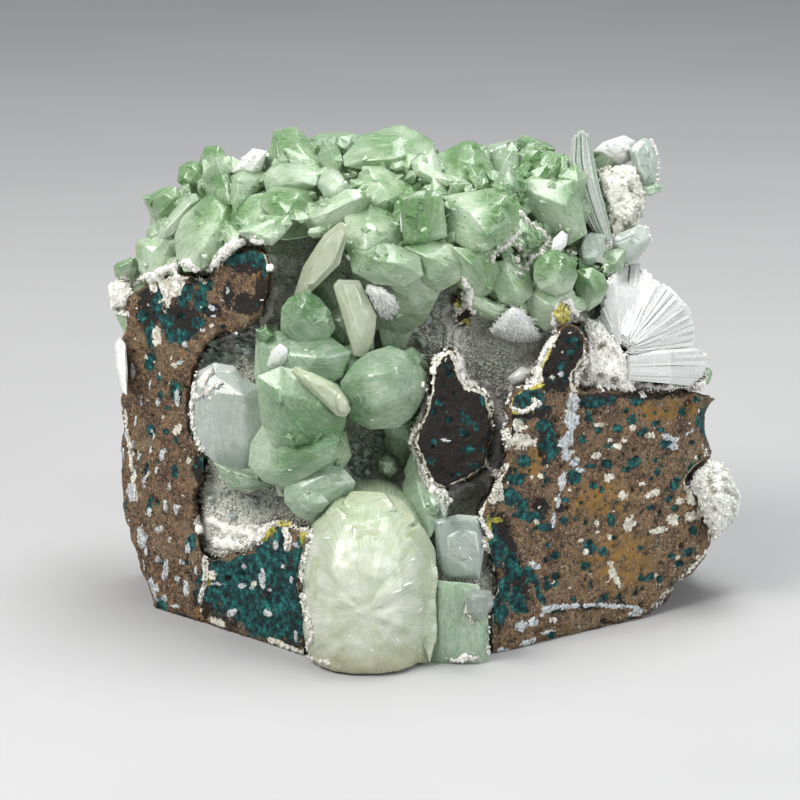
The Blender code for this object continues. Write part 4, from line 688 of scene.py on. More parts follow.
def refine_front(ob, cuts):
    """Finer faces where the broken rock faces look towards the front."""
    bm = bmesh.new()
    bm.from_mesh(ob.data)
    pick = set()
    eye = Vector(EYE) * MM
    cen = np.array([list(f.calc_center_median()) for f in bm.faces]) / MM
    nor = np.array([list(f.normal) for f in bm.faces])
    u, v = sheet_np(cen)
    near = np.maximum(np.maximum(signed_in(LEFT_CHEEK, u, v), signed_in(RIGHT_BLOCK, u, v)), signed_in(TEARDROP, u, v))
    way = np.array(EYE) - cen
    way /= np.linalg.norm(way, axis=1)[:, None]
    ok = (near > -3.0) & ((nor * way).sum(1) > 0.25) & (cen[:, 1] < 14.0)
    faces = [f for f, k in zip(bm.faces, ok) if k]
    edges = list({e for f in faces for e in f.edges})
    bmesh.ops.subdivide_edges(bm, edges=edges, cuts=cuts, use_grid_fill=True)
    bm.to_mesh(ob.data)
    bm.free()


refine_front(rock, 2)
co = coords(rock.data) / MM
nor = normals(rock.data)
U, V = sheet_np(co)
way = np.array(EYE) - co
way /= np.linalg.norm(way, axis=1)[:, None]
facing = (nor * way).sum(1)
frontness = smooth(facing, 0.05, 0.4) * smooth(-co[:, 1], -16.0, -10.0)
side = 1.0 - frontness

# broad relief, finer on the front faces than on the rest
big = field(co, 11.0, 3, 1.3)
mid = field(co, 3.6, 3, 5.7)
fine = field(co, 1.1, 2, 9.1)
in_left = signed_in(LEFT_CHEEK, U, V)
in_right = signed_in(RIGHT_BLOCK, U, V)
in_tear = signed_in(TEARDROP, U, V)
edge_in = np.maximum(np.maximum(in_left, in_right), in_tear)
lift = frontness * (0.32 * big + 0.26 * mid + 0.13 * fine) + side * (1.15 * big + 0.55 * mid + 0.18 * fine)
# chipped margins round the broken faces
lift -= frontness * 0.55 * smooth(-edge_in, -5.0, -0.5) * (0.6 + 0.6 * fine)

wob = field(co, 0.9, 2, 21.0) * 0.8 + field(co, 2.6, 1, 33.0) * 0.6
teal = paint(U, V, TEAL, wob) * frontness
dark = paint(U, V, DARK + [(457, 297, 6, 9, 0), (463, 316, 9, 11, 0), (568, 322, 10, 17, 15), (566, 347, 22, 22, 0), (557, 366, 16, 14, 0)], wob, 0.5) * frontness
white = paint(U, V, WHITE_MARKS, wob, 0.25, 0.4) * frontness
cream = paint(U, V, CREAM_MARKS, wob, 0.3, 0.6) * frontness
ochre = paint(U, V, OCHRE, wob, 0.6) * frontness
yellow = paint(U, V, YELLOW, wob, 0.4) * frontness

# gas bubbles: round pits, many lined with teal
rng = np.random.default_rng(12)
pit_u, pit_v, pit_r, pit_kind = [], [], [], []
for box, count, rlo, rhi in (((490, 400, 712, 640), 520, 1.0, 4.6), ((122, 280, 270, 625), 300, 0.9, 3.4),
                             ((540, 326, 590, 392), 60, 1.0, 3.2), ((418, 350, 492, 488), 46, 1.2, 3.4)):
    pit_u.append(rng.uniform(box[0], box[2], count))
    pit_v.append(rng.uniform(box[1], box[3], count))
    pit_r.append(rlo + (rhi - rlo) * rng.uniform(0, 1, count) ** 2.6)
    pit_kind.append(rng.uniform(0, 1, count))
pit_u, pit_v, pit_r, pit_kind = map(np.concatenate, (pit_u, pit_v, pit_r, pit_kind))
pit = np.zeros(len(co))
pit_teal = np.zeros(len(co))
pit_cream = np.zeros(len(co))
pit_rim = np.zeros(len(co))
for mu, mv, r, kind in zip(pit_u, pit_v, pit_r, pit_kind):
    near = (np.abs(U - mu) < 2 * r + 2) & (np.abs(V - mv) < 2 * r + 2)
    if not near.any():
        continue
    d = np.hypot((U[near] - mu) / (1.0 + 0.25 * math.sin(kind * 40)), V[near] - mv) / r + wob[near] * 0.22
    w = smooth(1.25 - d, 0.0, 0.45)
    if kind < 0.60:
        pit[near] = np.maximum(pit[near], w * min(1.0, r / 2.4))
        if kind < 0.42:
            pit_teal[near] = np.maximum(pit_teal[near], w)
        if kind < 0.2:
            pit_rim[near] = np.maximum(pit_rim[near], smooth(1.6 - d, 0.0, 0.3) * smooth(d, 0.8, 1.1))
    elif kind < 0.70:
        pit_cream[near] = np.maximum(pit_cream[near], w)
    else:
        pit[near] = np.maximum(pit[near], 0.5 * w)
pit *= frontness
lift -= 0.75 * pit
lift += 0.28 * white + 0.12 * cream - 0.12 * teal * (fine > 0)
back_pits = smooth(field(co, 2.6, 1, 71.0), 0.42, 0.6) * side
lift -= 0.8 * back_pits
co2 = co + nor * lift[:, None]
co2[:, 2] = np.maximum(co2[:, 2], 0.0)
co2[:, 2] = np.where(co[:, 2] < 0.6, np.minimum(co2[:, 2], 0.4), co2[:, 2])
co2[:, 2] = np.where(co[:, 2] < 0.15, 0.0, co2[:, 2])
lo_, hi_ = np.array(CAD_BOX[0]) / MM, np.array(CAD_BOX[1]) / MM
co2 = np.clip(co2, lo_ + 0.02, hi_ - 0.02)
co2[:, 2] = np.where(co[:, 2] < 0.15, 0.0, co2[:, 2])
set_coords(rock.data, co2 * MM)

back_teal = smooth(field(co, 7.0, 2, 44.0), 0.30, 0.55) * side * 0.8
back_white = smooth(field(co, 5.0, 3, 87.0), 0.50, 0.68) * side * smooth(co[:, 2], 20.0, 60.0)
rim_d, rim_pale = crust_near(U, V, wob)
rim_f = smooth(rim_d, -0.12, 0.22) * frontness * np.clip(rim_pale + 0.1, 0, 1)
teal = teal * (1 - rim_f)
dark = np.maximum(dark, 1.25 * smooth(in_tear, -0.5, 1.5) * frontness) * (1 - rim_f)
yellow = np.maximum(yellow, paint(U, V, [(459, 303, 4, 4, 0), (468, 323, 5, 4, 0), (562, 314, 7, 9, 0)], wob) * frontness)
cream = np.maximum(cream, rim_f * 1.5)
# zone_a holds teal, dark, white and cream; the dark channel also takes the plain pits, darkened as painted shade in the
# hollows
A = np.stack([np.maximum.reduce([teal, pit_teal * 0.95 * frontness, back_teal, back_pits * 0.6]), np.maximum(dark * 0.8, pit * 0.5),
              np.maximum(np.maximum(white, pit_rim * 0.25 * frontness), back_white), np.maximum(cream, pit_cream * frontness)], 1)
B = np.stack([ochre, yellow, np.maximum(pit, back_pits), smooth(edge_in, 0.0, 9.0)], 1)
put_attr(rock.data, "zone_a", A, "FLOAT_COLOR")
put_attr(rock.data, "zone_b", B, "FLOAT_COLOR")
smooth_shade(rock.data)

m = Mat("basalt")
za, zb = m.node("ShaderNodeAttribute", attribute_name="zone_a"), m.node("ShaderNodeAttribute", attribute_name="zone_b")
a_teal, a_dark, a_white = m.split(za.outputs["Color"])
a_cream = za.outputs["Alpha"]
b_ochre, b_yellow, b_pit = m.split(zb.outputs["Color"])
n_mid = m.noise(420, 4, 0.6)
n_fine = m.noise(1500, 3, 0.6)
n_speck = m.noise(3300, 2, 0.5)
cell = m.voronoi(1500, 'F1')
base = m.ramp(n_mid, [(0.28, lin(52, 43, 35)), (0.45, lin(88, 71, 53)), (0.56, lin(114, 93, 69)), (0.70, lin(76, 63, 51))])
n_big = m.noise(150, 3, 0.6)
base = m.mix(m.band(n_big, 0.50, 0.62, 0, 0.7), base, m.mix(n_mid, lin(40, 33, 28), lin(78, 56, 44)))
base = m.mix(m.band(n_big, 0.44, 0.34, 0, 0.5), base, lin(120, 112, 92))
base = m.mix(m.band(n_fine, 0.52, 0.62, 0, 0.8), base, lin(134, 106, 78))
base = m.mix(m.band(n_fine, 0.44, 0.36), base, lin(40, 33, 28))
base = m.mix(m.band(n_speck, 0.60, 0.66, 0, 0.8), base, lin(158, 124, 90))
base = m.mix(m.band(n_speck, 0.36, 0.30), base, lin(26, 24, 22))
base = m.mix(m.band(cell, 0.16, 0.08, 0.0, 0.55), base, lin(190, 175, 150))
base = m.mix(m.band(m.noise(1900, 2), 0.65, 0.71, 0, 0.8), base, lin(186, 184, 172))
base = m.mix(m.math('MULTIPLY', b_ochre, m.band(n_mid, 0.35, 0.6)), base, lin(138, 104, 48))
edge_n = m.math('MULTIPLY', m.math('SUBTRACT', n_fine, 0.5), 1.5)
speck_n = m.math('ADD', m.math('MULTIPLY', m.math('SUBTRACT', n_speck, 0.5), 1.6), edge_n)


def crisp(w, lo=0.36, hi=0.56, by=None):
    return m.band(m.math('ADD', w, by or edge_n), lo, hi)


# dark rock patches, and the painted shade of the pits, take this near-black colour
darkcol = m.ramp(m.noise(2200, 2), [(0.35, lin(7, 7, 8)), (0.58, lin(18, 16, 15)), (0.74, lin(54, 42, 32))])
base = m.mix(m.math('MULTIPLY', crisp(a_dark), 0.95), base, darkcol)
tealcol = m.ramp(m.noise(900, 4, 0.6), [(0.32, lin(5, 16, 18)), (0.47, lin(8, 48, 50)), (0.57, lin(14, 84, 82)), (0.72, lin(56, 132, 122))])
base = m.mix(crisp(a_teal, 0.52, 0.64, speck_n), base, tealcol)
base = m.mix(crisp(b_yellow), base, m.ramp(m.noise(800, 3), [(0.35, lin(96, 92, 30)), (0.6, lin(176, 166, 62)), (0.75, lin(214, 208, 140))]))
creamcol = m.ramp(m.noise(1300, 3), [(0.35, lin(168, 162, 142)), (0.55, lin(214, 210, 196)), (0.72, lin(238, 235, 226))])
base = m.mix(crisp(a_cream, 0.54, 0.68, speck_n), base, creamcol)
whitecol = m.ramp(m.noise(1600, 2), [(0.35, lin(140, 146, 148)), (0.6, lin(206, 210, 210))])
base = m.mix(crisp(a_white, 0.64, 0.78, speck_n), base, whitecol)
rough = m.band(n_fine, 0.3, 0.7, 0.62, 0.88, 'LINEAR')
bn = m.bump(m.noise(1400, 5, 0.65), 0.75, 0.0005)
bn = m.bump(cell, 0.35, 0.0003, bn)
m.set(color=base, rough=rough, normal=bn, spec=0.35)
BASALT = m.mat
finish_piece(rock, BASALT, ("basalt_matrix",))
ROCK_BVH = BVHTree.FromPolygons([tuple(c) for c in co2], [tuple(p.vertices) for p in rock.data.polygons])

# ================================================================== CAMERA, FLOOR, LIGHT
cam_data = bpy.data.cameras.new("camera")
cam = link(bpy.data.objects.new("camera", cam_data))
cam_data.lens = 155.0
cam_data.sensor_width = 36.0
cam_data.clip_start = 0.02
cam_data.clip_end = 20.0
cam.location = Vector(EYE) * MM
cam.rotation_euler = (math.radians(90.0 - 14.0), 0.0, 0.0)
bpy.context.scene.camera = cam

bm = bmesh.new()
bmesh.ops.create_grid(bm, x_segments=1, y_segments=1, size=1.6)
me = bpy.data.meshes.new("floor")
bm.to_mesh(me)
bm.free()
floor = link(bpy.data.objects.new("floor", me))
fm = Mat("floor_pale")
fcol = fm.mix(fm.band(fm.noise(9.0, 2), 0.3, 0.7, 0.0, 0.5), (0.40, 0.40, 0.40), (0.43, 0.43, 0.43))
fm.set(color=fcol, rough=0.75, spec=0.2)
floor.data.materials.append(fm.mat)

world = bpy.data.worlds.new("studio")
bpy.context.scene.world = world
world.use_nodes = True
world.node_tree.nodes["Background"].inputs[0].default_value = (0.93, 0.95, 1.0, 1)
world.node_tree.nodes["Background"].inputs[1].default_value = 0.42


def softbox(name, where, size, power, color=(1, 1, 1), aim=(0, 0, 0.045)):
    data = bpy.data.lights.new(name, 'AREA')
    data.shape = 'RECTANGLE'
    data.size, data.size_y = size
    data.energy = power
    data.color = color
    ob = link(bpy.data.objects.new(name, data))
    ob.location = where
    ob.rotation_euler = (Vector(aim) - Vector(where)).to_track_quat('-Z', 'Y').to_euler()
    return ob


softbox("key", (-0.42, -0.40, 0.62), (0.42, 0.42), 7.0, (1.0, 0.985, 0.96))
softbox("top", (0.12, 0.10, 0.75), (0.5, 0.4), 5.0, (1.0, 1.0, 1.0))
softbox("fill", (0.55, -0.5, 0.28), (0.5, 0.5), 3.2, (0.95, 0.98, 1.0))

sc = bpy.context.scene
sc.view_settings.view_transform = 'Standard'
sc.view_settings.look = 'None'
sc.view_settings.exposure = 0.0
sc.cycles.use_denoising = True
sc.cycles.max_bounces = 8
sc.cycles.transmission_bounces = 6
sc.cycles.glossy_bounces = 3
sc.cycles.diffuse_bounces = 2
sc.cycles.caustics_refractive = True
sc.cycles.caustics_reflective = False
sc.cycles.sample_clamp_indirect = 6.0

# ================================================================== LAYOUT OF THE CRYSTALS
# outline of the whole specimen on the sheet, for keeping hidden crystals behind it
OUTLINE = [
    (105, 297), (107, 285), (113, 264), (134, 257), (137, 240), (146, 228), (156, 222), (148, 210),
    (141, 196), (165, 187), (176, 186), (179, 169), (189, 161), (198, 160), (205, 146), (220, 145),
    (229, 153), (240, 157), (255, 148), (268, 150), (270, 152), (274, 130), (296, 126), (309, 137),
    (320, 133), (346, 132), (359, 133), (400, 124), (426, 134), (435, 145), (453, 143), (476, 141),
    (493, 146), (511, 139), (524, 134), (534, 140), (555, 146), (567, 153), (570, 138), (581, 131),
    (592, 141), (594, 150), (605, 144), (624, 136), (635, 141), (645, 137), (654, 143), (658, 156),
    (659, 182), (661, 191), (646, 197), (645, 205), (640, 212), (639, 223), (647, 225), (650, 238),
    (645, 249), (632, 264), (641, 268), (652, 278), (669, 286), (675, 297), (688, 310), (692, 331),
    (693, 350), (706, 362), (709, 383), (719, 398), (705, 410), (703, 424), (704, 440), (709, 454),
    (721, 462), (733, 481), (742, 497), (740, 513), (724, 532), (712, 543), (698, 561), (676, 580),
    (664, 598), (643, 619), (602, 635), (561, 643), (529, 651), (501, 660), (469, 666), (430, 672),
    (381, 681), (359, 675), (329, 664), (279, 649), (220, 637), (172, 620), (155, 608), (147, 584),
    (134, 541), (125, 488), (119, 445), (123, 410), (125, 388), (113, 344), (111, 327),
]


def sheet_of(p):
    x, y, z = p[0] - EYE[0], p[1] - EYE[1], p[2] - EYE[2]
    f = y * CT - z * ST
    h = y * ST + z * CT
    return 400.0 + SHEET * x / f, 400.0 - SHEET * h / f


def inside_outline(u, v, margin=3.0):
    hit = False
    n = len(OUTLINE)
    near = 1e9
    for i in range(n):
        x1, y1 = OUTLINE[i]
        x2, y2 = OUTLINE[(i + 1) % n]
        if (y1 > v) != (y2 > v) and u < (x2 - x1) * (v - y1) / (y2 - y1) + x1:
            hit = not hit
        ex, ey = x2 - x1, y2 - y1
        s = max(0.0, min(1.0, ((u - x1) * ex + (v - y1) * ey) / (ex * ex + ey * ey)))
        near = min(near, math.hypot(u - x1 - s * ex, v - y1 - s * ey))
    return hit and near >= margin


def spike_points(base, d, w, l, roll, taper=0.55, cap=0.25, w2=None):
    """Four-sided prism with a blunt four-sided tip."""
    d = Vector(d).normalized()
    side = d.cross(Vector((0.31, 0.2, 0.93)))
    side.normalize()
    other = d.cross(side)
    base = Vector(base)
    w2 = w if w2 is None else w2
    pts = []
    for s, k in ((0.0, 1.0), (l * taper, 1.0), (l, cap)):
        for q in range(4):
            a = roll + q * math.pi / 2 + math.pi / 4
            pts.append(base + d * s + side * (math.cos(a) * w * 0.707 * k) + other * (math.sin(a) * w2 * 0.707 * k))
    return pts


# crown crystals: outline, then options for the facet layout
CROWN = [
    # top left group
    dict(o=[(199, 162), (205, 146), (219, 145), (225, 152), (228, 163), (222, 178), (205, 178)], dy=1, th=16),
    dict(o=[(177, 182), (179, 167), (188, 161), (197, 161), (204, 168), (204, 184), (190, 190)], dy=1, th=16),
    dict(o=[(192, 188), (198, 172), (214, 155), (224, 154), (240, 160), (236, 180), (214, 196)], dy=1.5, th=16),
    dict(o=[(146, 199), (153, 192), (165, 187), (176, 187), (182, 197), (173, 212), (161, 221), (150, 217)], dy=-2, th=16),
    dict(o=[(141, 195), (149, 194), (156, 200), (152, 210), (146, 205)], dy=-1, th=8),
    dict(o=[(155, 241), (157, 231), (168, 220), (180, 203), (196, 192), (200, 200), (186, 216), (174, 234), (163, 240)], dy=-3, th=12, tips=[(166, 229, 2), (188, 205, 2)]),
    dict(o=[(146, 241), (147, 229), (152, 224), (160, 223), (163, 236), (156, 246)], dy=0, th=12),
    dict(o=[(176, 255), (174, 236), (182, 217), (197, 203), (209, 193), (221, 187), (231, 200), (233, 236), (214, 262), (200, 271), (184, 272)], dy=-3, th=18, tips=[(208, 206, 3.0), (201, 250, 4.5), (222, 220, 3.5)]),
    dict(o=[(205, 190), (212, 171), (222, 168), (229, 175), (233, 190), (234, 204), (222, 208), (210, 200)], dy=-2, th=14),
    dict(o=[(136, 255), (135, 244), (139, 239), (148, 241), (160, 240), (173, 232), (177, 252), (177, 270), (168, 281), (158, 288), (148, 284), (139, 270)], dy=-2, th=14, tips=[(152, 252, 2.5), (163, 271, 3.0)]),
    dict(o=[(113, 266), (118, 262), (134, 256), (138, 262), (136, 274), (124, 280), (115, 277)], dy=0, th=10),
    dict(o=[(232, 175), (246, 168), (266, 172), (264, 186), (247, 204), (236, 214), (230, 200)], dy=-1, th=16),
    dict(o=[(232, 205), (246, 196), (263, 192), (272, 205), (268, 222), (250, 236), (236, 240), (230, 224)], dy=-2, th=16),
    dict(o=[(236, 232), (262, 214), (282, 216), (287, 232), (272, 246), (250, 240)], dy=-2.5, th=14),
    dict(o=[(206, 262), (222, 246), (236, 238), (246, 240), (238, 250), (220, 262), (208, 272)], dy=-2, th=10),
    # top centre group
    dict(o=[(268, 156), (274, 130), (296, 126), (310, 140), (322, 156), (331, 167), (318, 178), (286, 176), (270, 168)], dy=-1, th=18, tips=[(281, 148, 2.5), (298, 146, 3.0), (308, 160, 3.0)]),
    dict(o=[(262, 176), (275, 162), (300, 164), (318, 172), (316, 186), (290, 192), (266, 192)], dy=0, th=16),
    dict(o=[(309, 138), (321, 133), (346, 131), (361, 134), (358, 150), (338, 164), (322, 158)], dy=5, th=14),
    dict(o=[(343, 156), (361, 135), (381, 129), (401, 124), (420, 132), (435, 143), (434, 152), (416, 164), (392, 172), (362, 170), (344, 166)], dy=-1, th=20, tips=[(400, 138, 3.0), (398, 158, 4.0), (366, 160, 2.5)]),
    dict(o=[(316, 184), (325, 169), (334, 168), (343, 176), (347, 184), (344, 194), (334, 200), (324, 197)], dy=-3, th=14),
    dict(o=[(260, 196), (272, 187), (296, 180), (314, 186), (313, 206), (302, 219), (288, 226), (274, 220), (262, 208)], dy=-2, th=18, tips=[(276, 200, 2.5), (296, 198, 3.5), (288, 214, 3.0)]),
    dict(o=[(303, 220), (320, 204), (346, 189), (360, 189), (372, 195), (368, 206), (346, 224), (326, 234), (308, 230)], dy=-2, th=16, tips=[(324, 214, 2.5), (352, 200, 2.5)]),
    dict(o=[(361, 190), (362, 166), (382, 166), (404, 178), (421, 190), (420, 204), (386, 216), (372, 222), (360, 210)], dy=-1, th=18, tips=[(380, 184, 3.5), (396, 196, 3.5), (372, 206, 2.5)]),
    dict(o=[(344, 216), (370, 204), (390, 212), (402, 226), (402, 246), (384, 262), (362, 262), (346, 246)], dy=-1, th=18, tips=[(366, 226, 3.5), (386, 236, 4.0), (366, 250, 3.0)]),
    dict(o=[(399, 196), (420, 190), (442, 193), (443, 215), (448, 237), (426, 243), (404, 245), (401, 225)], dy=-5, th=20, bevel=1.2, table=0.86),
    dict(o=[(436, 155), (447, 149), (454, 147), (465, 140), (475, 141), (482, 150), (493, 165), (492, 182), (474, 190), (455, 196), (443, 193), (437, 180)], dy=-2, th=18, tips=[(458, 160, 3.0), (474, 164, 3.5), (456, 184, 3.0)]),
    dict(o=[(410, 162), (424, 152), (434, 148), (440, 160), (446, 190), (430, 184), (414, 174)], dy=-1, th=14),
    dict(o=[(443, 196), (458, 193), (490, 188), (511, 190), (521, 205), (520, 220), (513, 229), (501, 241), (489, 251), (470, 252), (452, 240), (446, 218)], dy=-3.5, th=20, tips=[(500, 204, 3.5), (470, 212, 4.0), (488, 236, 3.5), (508, 216, 2.0)]),
    dict(o=[(481, 150), (489, 144), (501, 141), (512, 139), (524, 146), (522, 160), (506, 168), (490, 166)], dy=4, th=14),
    dict(o=[(516, 140), (524, 134), (536, 138), (550, 143), (556, 149), (550, 158), (530, 160)], dy=5, th=12),
    dict(o=[(491, 187), (500, 172), (509, 164), (516, 172), (520, 190), (510, 196)], dy=-1, th=12),
    dict(o=[(516, 172), (524, 158), (535, 152), (550, 150), (562, 154), (568, 162), (572, 178), (560, 188), (536, 190), (522, 184)], dy=-1.5, th=16, tips=[(540, 164, 3.0), (556, 172, 3.0), (532, 178, 2.5)]),
    dict(o=[(514, 186), (530, 178), (552, 184), (574, 180), (582, 208), (588, 234), (568, 246), (548, 230), (530, 212), (518, 200)], dy=-1, th=18, tips=[(540, 196, 3.0), (566, 206, 4.0), (572, 230, 2.5)]),
    dict(o=[(346, 246), (372, 240), (402, 246), (420, 256), (424, 276), (404, 288), (374, 284), (352, 272)], dy=-1.5, th=18, tips=[(374, 258, 3.5), (400, 264, 4.0), (384, 276, 3.0)]),
    dict(o=[(404, 246), (430, 240), (452, 244), (466, 258), (462, 280), (440, 292), (418, 286), (406, 268)], dy=-2, th=18, tips=[(426, 256, 3.5), (448, 266, 3.5), (430, 280, 3.0)]),
    dict(o=[(452, 246), (474, 250), (492, 252), (500, 270), (496, 292), (476, 300), (458, 286)], dy=-1, th=18, tips=[(472, 264, 3.5), (484, 280, 3.5)]),
    dict(o=[(492, 262), (512, 258), (530, 270), (534, 294), (518, 308), (500, 302), (490, 284)], dy=0, th=18, tips=[(508, 274, 3.0), (518, 292, 3.5)]),
    dict(o=[(524, 230), (532, 227), (540, 229), (543, 238), (540, 246), (530, 249), (523, 242)], dy=-2, th=10),
    dict(o=[(534, 264), (542, 253), (554, 251), (566, 254), (574, 263), (578, 276), (572, 290), (556, 296), (540, 290), (533, 278)], dy=-4, th=18, tips=[(548, 262, 3.0), (564, 268, 3.5), (554, 284, 3.0)]),
    dict(o=[(528, 290), (548, 290), (574, 290), (578, 304), (566, 320), (546, 332), (532, 322), (526, 306)], dy=-1, th=16, tips=[(548, 304, 3.0), (560, 310, 2.5)]),
    dict(o=[(576, 270), (592, 267), (603, 274), (609, 286), (602, 302), (588, 312), (578, 300), (574, 284)], dy=-1, th=16, tips=[(588, 280, 3.0), (596, 292, 2.5)]),
    dict(o=[(462, 286), (482, 298), (500, 304), (512, 312), (500, 322), (478, 316), (462, 304)], dy=0, th=12),
    dict(o=[(606, 258), (616, 262), (614, 272), (606, 278), (600, 268)], dy=-1, th=8),
]

# broad bed the crown crystals share, behind their faces
BED = [
    [(150, 285), (150, 200), (215, 170), (262, 176), (262, 240), (205, 268)],
    [(236, 240), (236, 176), (330, 160), (340, 232), (288, 240)],
    [(312, 226), (318, 156), (420, 150), (430, 270), (360, 270)],
    [(404, 280), (404, 160), (500, 158), (512, 290), (440, 292)],
    [(486, 296), (492, 164), (570, 162), (592, 236), (590, 296), (540, 320)],
]


def core_top(x, y):
    return 78.0 - 0.0098 * (x + 4.0) ** 2 - 0.0085 * (y - 10.0) ** 2


def roof_spikes():
    """Crystals over the roof and round its rear rim, all below the front skyline."""
    rng = random.Random(41)
    out = []
    rows = [(10, -48, 34, 12), (20, -50, 34, 12), (30, -42, 28, 12)]
    for y0, xa, xb, step in rows:
        x = xa
        while x <= xb:
            bx = x + rng.uniform(-2, 2)
            by = y0 + rng.uniform(-2.5, 2.5)
            w = rng.uniform(9.5, 14)
            l = rng.uniform(17, 24)
            lean_x = (bx + 4) * 0.011 + rng.uniform(-0.25, 0.25)
            lean_y = (by - 8) * 0.022 + rng.uniform(-0.2, 0.25)
            roll = rng.uniform(0, 1.57)
            taper = rng.uniform(0.5, 0.75)
            cap = rng.choice((0.05, 0.2, 0.45, 0.6))
            w2 = w * rng.uniform(0.7, 1.1)
            for _ in range(12):
                base = (bx, by, core_top(bx, by) - 7.0)
                pts = [p + Vector(SHIFT) for p in spike_points(base, (lean_x, lean_y, 1.0), w, l, roll, taper, cap, w2)]
                if all(inside_outline(*sheet_of(p)) for p in pts) and max(p[1] for p in pts) < 41.1:
                    out.append(pts)
                    break
                l *= 0.9
                w *= 0.97
                w2 *= 0.97
            x += step
    return out


CAVITY = [
    dict(o=[(281, 308), (288, 298), (298, 293), (309, 291), (320, 298), (330, 310), (336, 328), (326, 342), (298, 344), (280, 330)], dy=-1, th=14, tips=[(304, 304, 2.5), (318, 318, 3.0), (294, 324, 2.5)]),
    dict(o=[(258, 344), (276, 330), (300, 336), (330, 336), (352, 352), (342, 378), (310, 392), (276, 388), (259, 372)], dy=-1, th=18, tips=[(284, 354, 3.0), (318, 358, 4.0), (300, 378, 3.0)]),
    dict(o=[(256, 376), (280, 366), (312, 372), (338, 384), (350, 402), (344, 430), (330, 452), (298, 462), (272, 446), (260, 418)], dy=-2, th=20, tips=[(284, 396, 4.5), (318, 404, 5.5), (300, 436, 5.0), (328, 424, 4.0)]),
    dict(o=[(262, 424), (290, 430), (330, 430), (340, 440), (332, 462), (306, 478), (282, 488), (264, 482), (248, 466), (250, 444)], dy=-1, th=16, tips=[(284, 450, 3.5), (312, 452, 4.0), (280, 472, 3.0)]),
    dict(o=[(213, 462), (236, 470), (262, 476), (270, 486), (252, 492), (228, 488)], dy=-2, th=12),
    dict(o=[(340, 382), (352, 364), (368, 352), (390, 345), (408, 352), (416, 366), (427, 373), (427, 388), (421, 404), (412, 418), (398, 428), (370, 430), (350, 420), (342, 404)], dy=-2, th=18, tips=[(368, 376, 4.5), (396, 372, 5.0), (404, 396, 4.5), (374, 408, 4.5)]),
    dict(o=[(400, 352), (412, 346), (424, 356), (430, 368), (420, 378), (406, 368)], dy=0, th=10),
    dict(o=[(380, 420), (396, 424), (414, 420), (418, 436), (414, 452), (400, 446), (386, 436)], dy=1, th=12),
    dict(o=[(377, 460), (386, 454), (397, 460), (399, 472), (390, 478), (379, 472)], dy=-1, th=8),
    dict(o=[(255, 329), (266, 325), (274, 335), (266, 344), (258, 340)], dy=-3, th=9),
]
# ================================================================== CRYSTALS
def hull_mesh(points, bevel=0.2, flat=2.0):
    bm = bmesh.new()
    for p in points:
        bm.verts.new(Vector(p) * MM)
    res = bmesh.ops.convex_hull(bm, input=bm.verts)
    drop = [g for g in res["geom_interior"] + res["geom_unused"] if isinstance(g, bmesh.types.BMVert)]
    bmesh.ops.delete(bm, geom=list(set(drop)), context='VERTS')
    bmesh.ops.remove_doubles(bm, verts=bm.verts, dist=0.00003)
    bmesh.ops.dissolve_limit(bm, angle_limit=math.radians(flat), verts=bm.verts, edges=bm.edges)
    if bevel:
        bmesh.ops.bevel(bm, geom=list(bm.edges), offset=bevel * MM, offset_type='OFFSET', segments=1, profile=0.5,
                        affect='EDGES', clamp_overlap=True)
        bmesh.ops.remove_doubles(bm, verts=bm.verts, dist=0.00001)
    bmesh.ops.recalc_face_normals(bm, faces=bm.faces)
    return bm


def tag_crystal(bm, axis, sat, dark=0.0, grey=0.0, seed=0, tip=None):
    """Corner data used by the shader: grain position along the crystal, its colour family, and a rim flag on the narrow
    bevel faces that the shader paints as an edge highlight.
    """
    rng = random.Random(seed * 7919 + 13)
    a = Vector(axis).normalized()
    side = a.cross(Vector((0.3, 0.9, 0.2))).normalized()
    other = a.cross(side)
    roll = rng.uniform(0, 6.28)
    s2 = side * math.cos(roll) + other * math.sin(roll)
    o2 = a.cross(s2)
    off = Vector((rng.uniform(-50, 50), rng.uniform(-50, 50), rng.uniform(-50, 50)))
    t = Vector(tip).normalized() if tip is not None else a
    vals = [v.co.dot(t) for v in bm.verts]
    lo, hi = min(vals), max(vals)
    grain = bm.loops.layers.float_vector.new("grain")
    shade = bm.loops.layers.float_color.new("shade")
    rim = bm.loops.layers.float.new("rim")
    for f in bm.faces:
        # narrow bevel faces get the rim flag: a painted edge highlight in the shader
        long_ = max(e.calc_length() for e in f.edges)
        thin = 1.0 if f.calc_area() / (long_ + 1e-9) < 0.00026 and long_ > 0.0009 else 0.0
        for l in f.loops:
            l[rim] = thin
            p = l.vert.co / MM
            l[grain] = Vector((p.dot(s2), p.dot(o2), p.dot(a))) + off
            s = (l.vert.co.dot(t) - lo) / (hi - lo + 1e-9)
            l[shade] = (sat, s, dark, grey)


def to_object(name, bm):
    me = bpy.data.meshes.new(name)
    bm.to_mesh(me)
    bm.free()
    return link(bpy.data.objects.new(name, me))


def union(name, objects):
    """One closed skin round overlapping closed shapes."""
    first, rest = objects[0], objects[1:]
    body = link(bpy.data.objects.new(name, first.data.copy()))
    if rest:
        group = bpy.data.collections.new("operands")
        bpy.context.scene.collection.children.link(group)
        for o in rest:
            group.objects.link(o)
        mod = body.modifiers.new("join", 'BOOLEAN')
        mod.operand_type = 'COLLECTION'
        mod.collection = group
        mod.operation = 'UNION'
        mod.solver = 'EXACT'
        me = baked(body)
        body.modifiers.clear()
        body.data = me
        bpy.data.collections.remove(group)
    for o in objects:
        bpy.data.objects.remove(o, do_unlink=True)
    return body


def joined(name, objects):
    """Objects put together in one mesh, corner data kept."""
    bm = bmesh.new()
    for o in objects:
        bm.from_mesh(o.data)
    me = bpy.data.meshes.new(name)
    bm.to_mesh(me)
    bm.free()
    for o in objects:
        bpy.data.objects.remove(o, do_unlink=True)
    return link(bpy.data.objects.new(name, me))


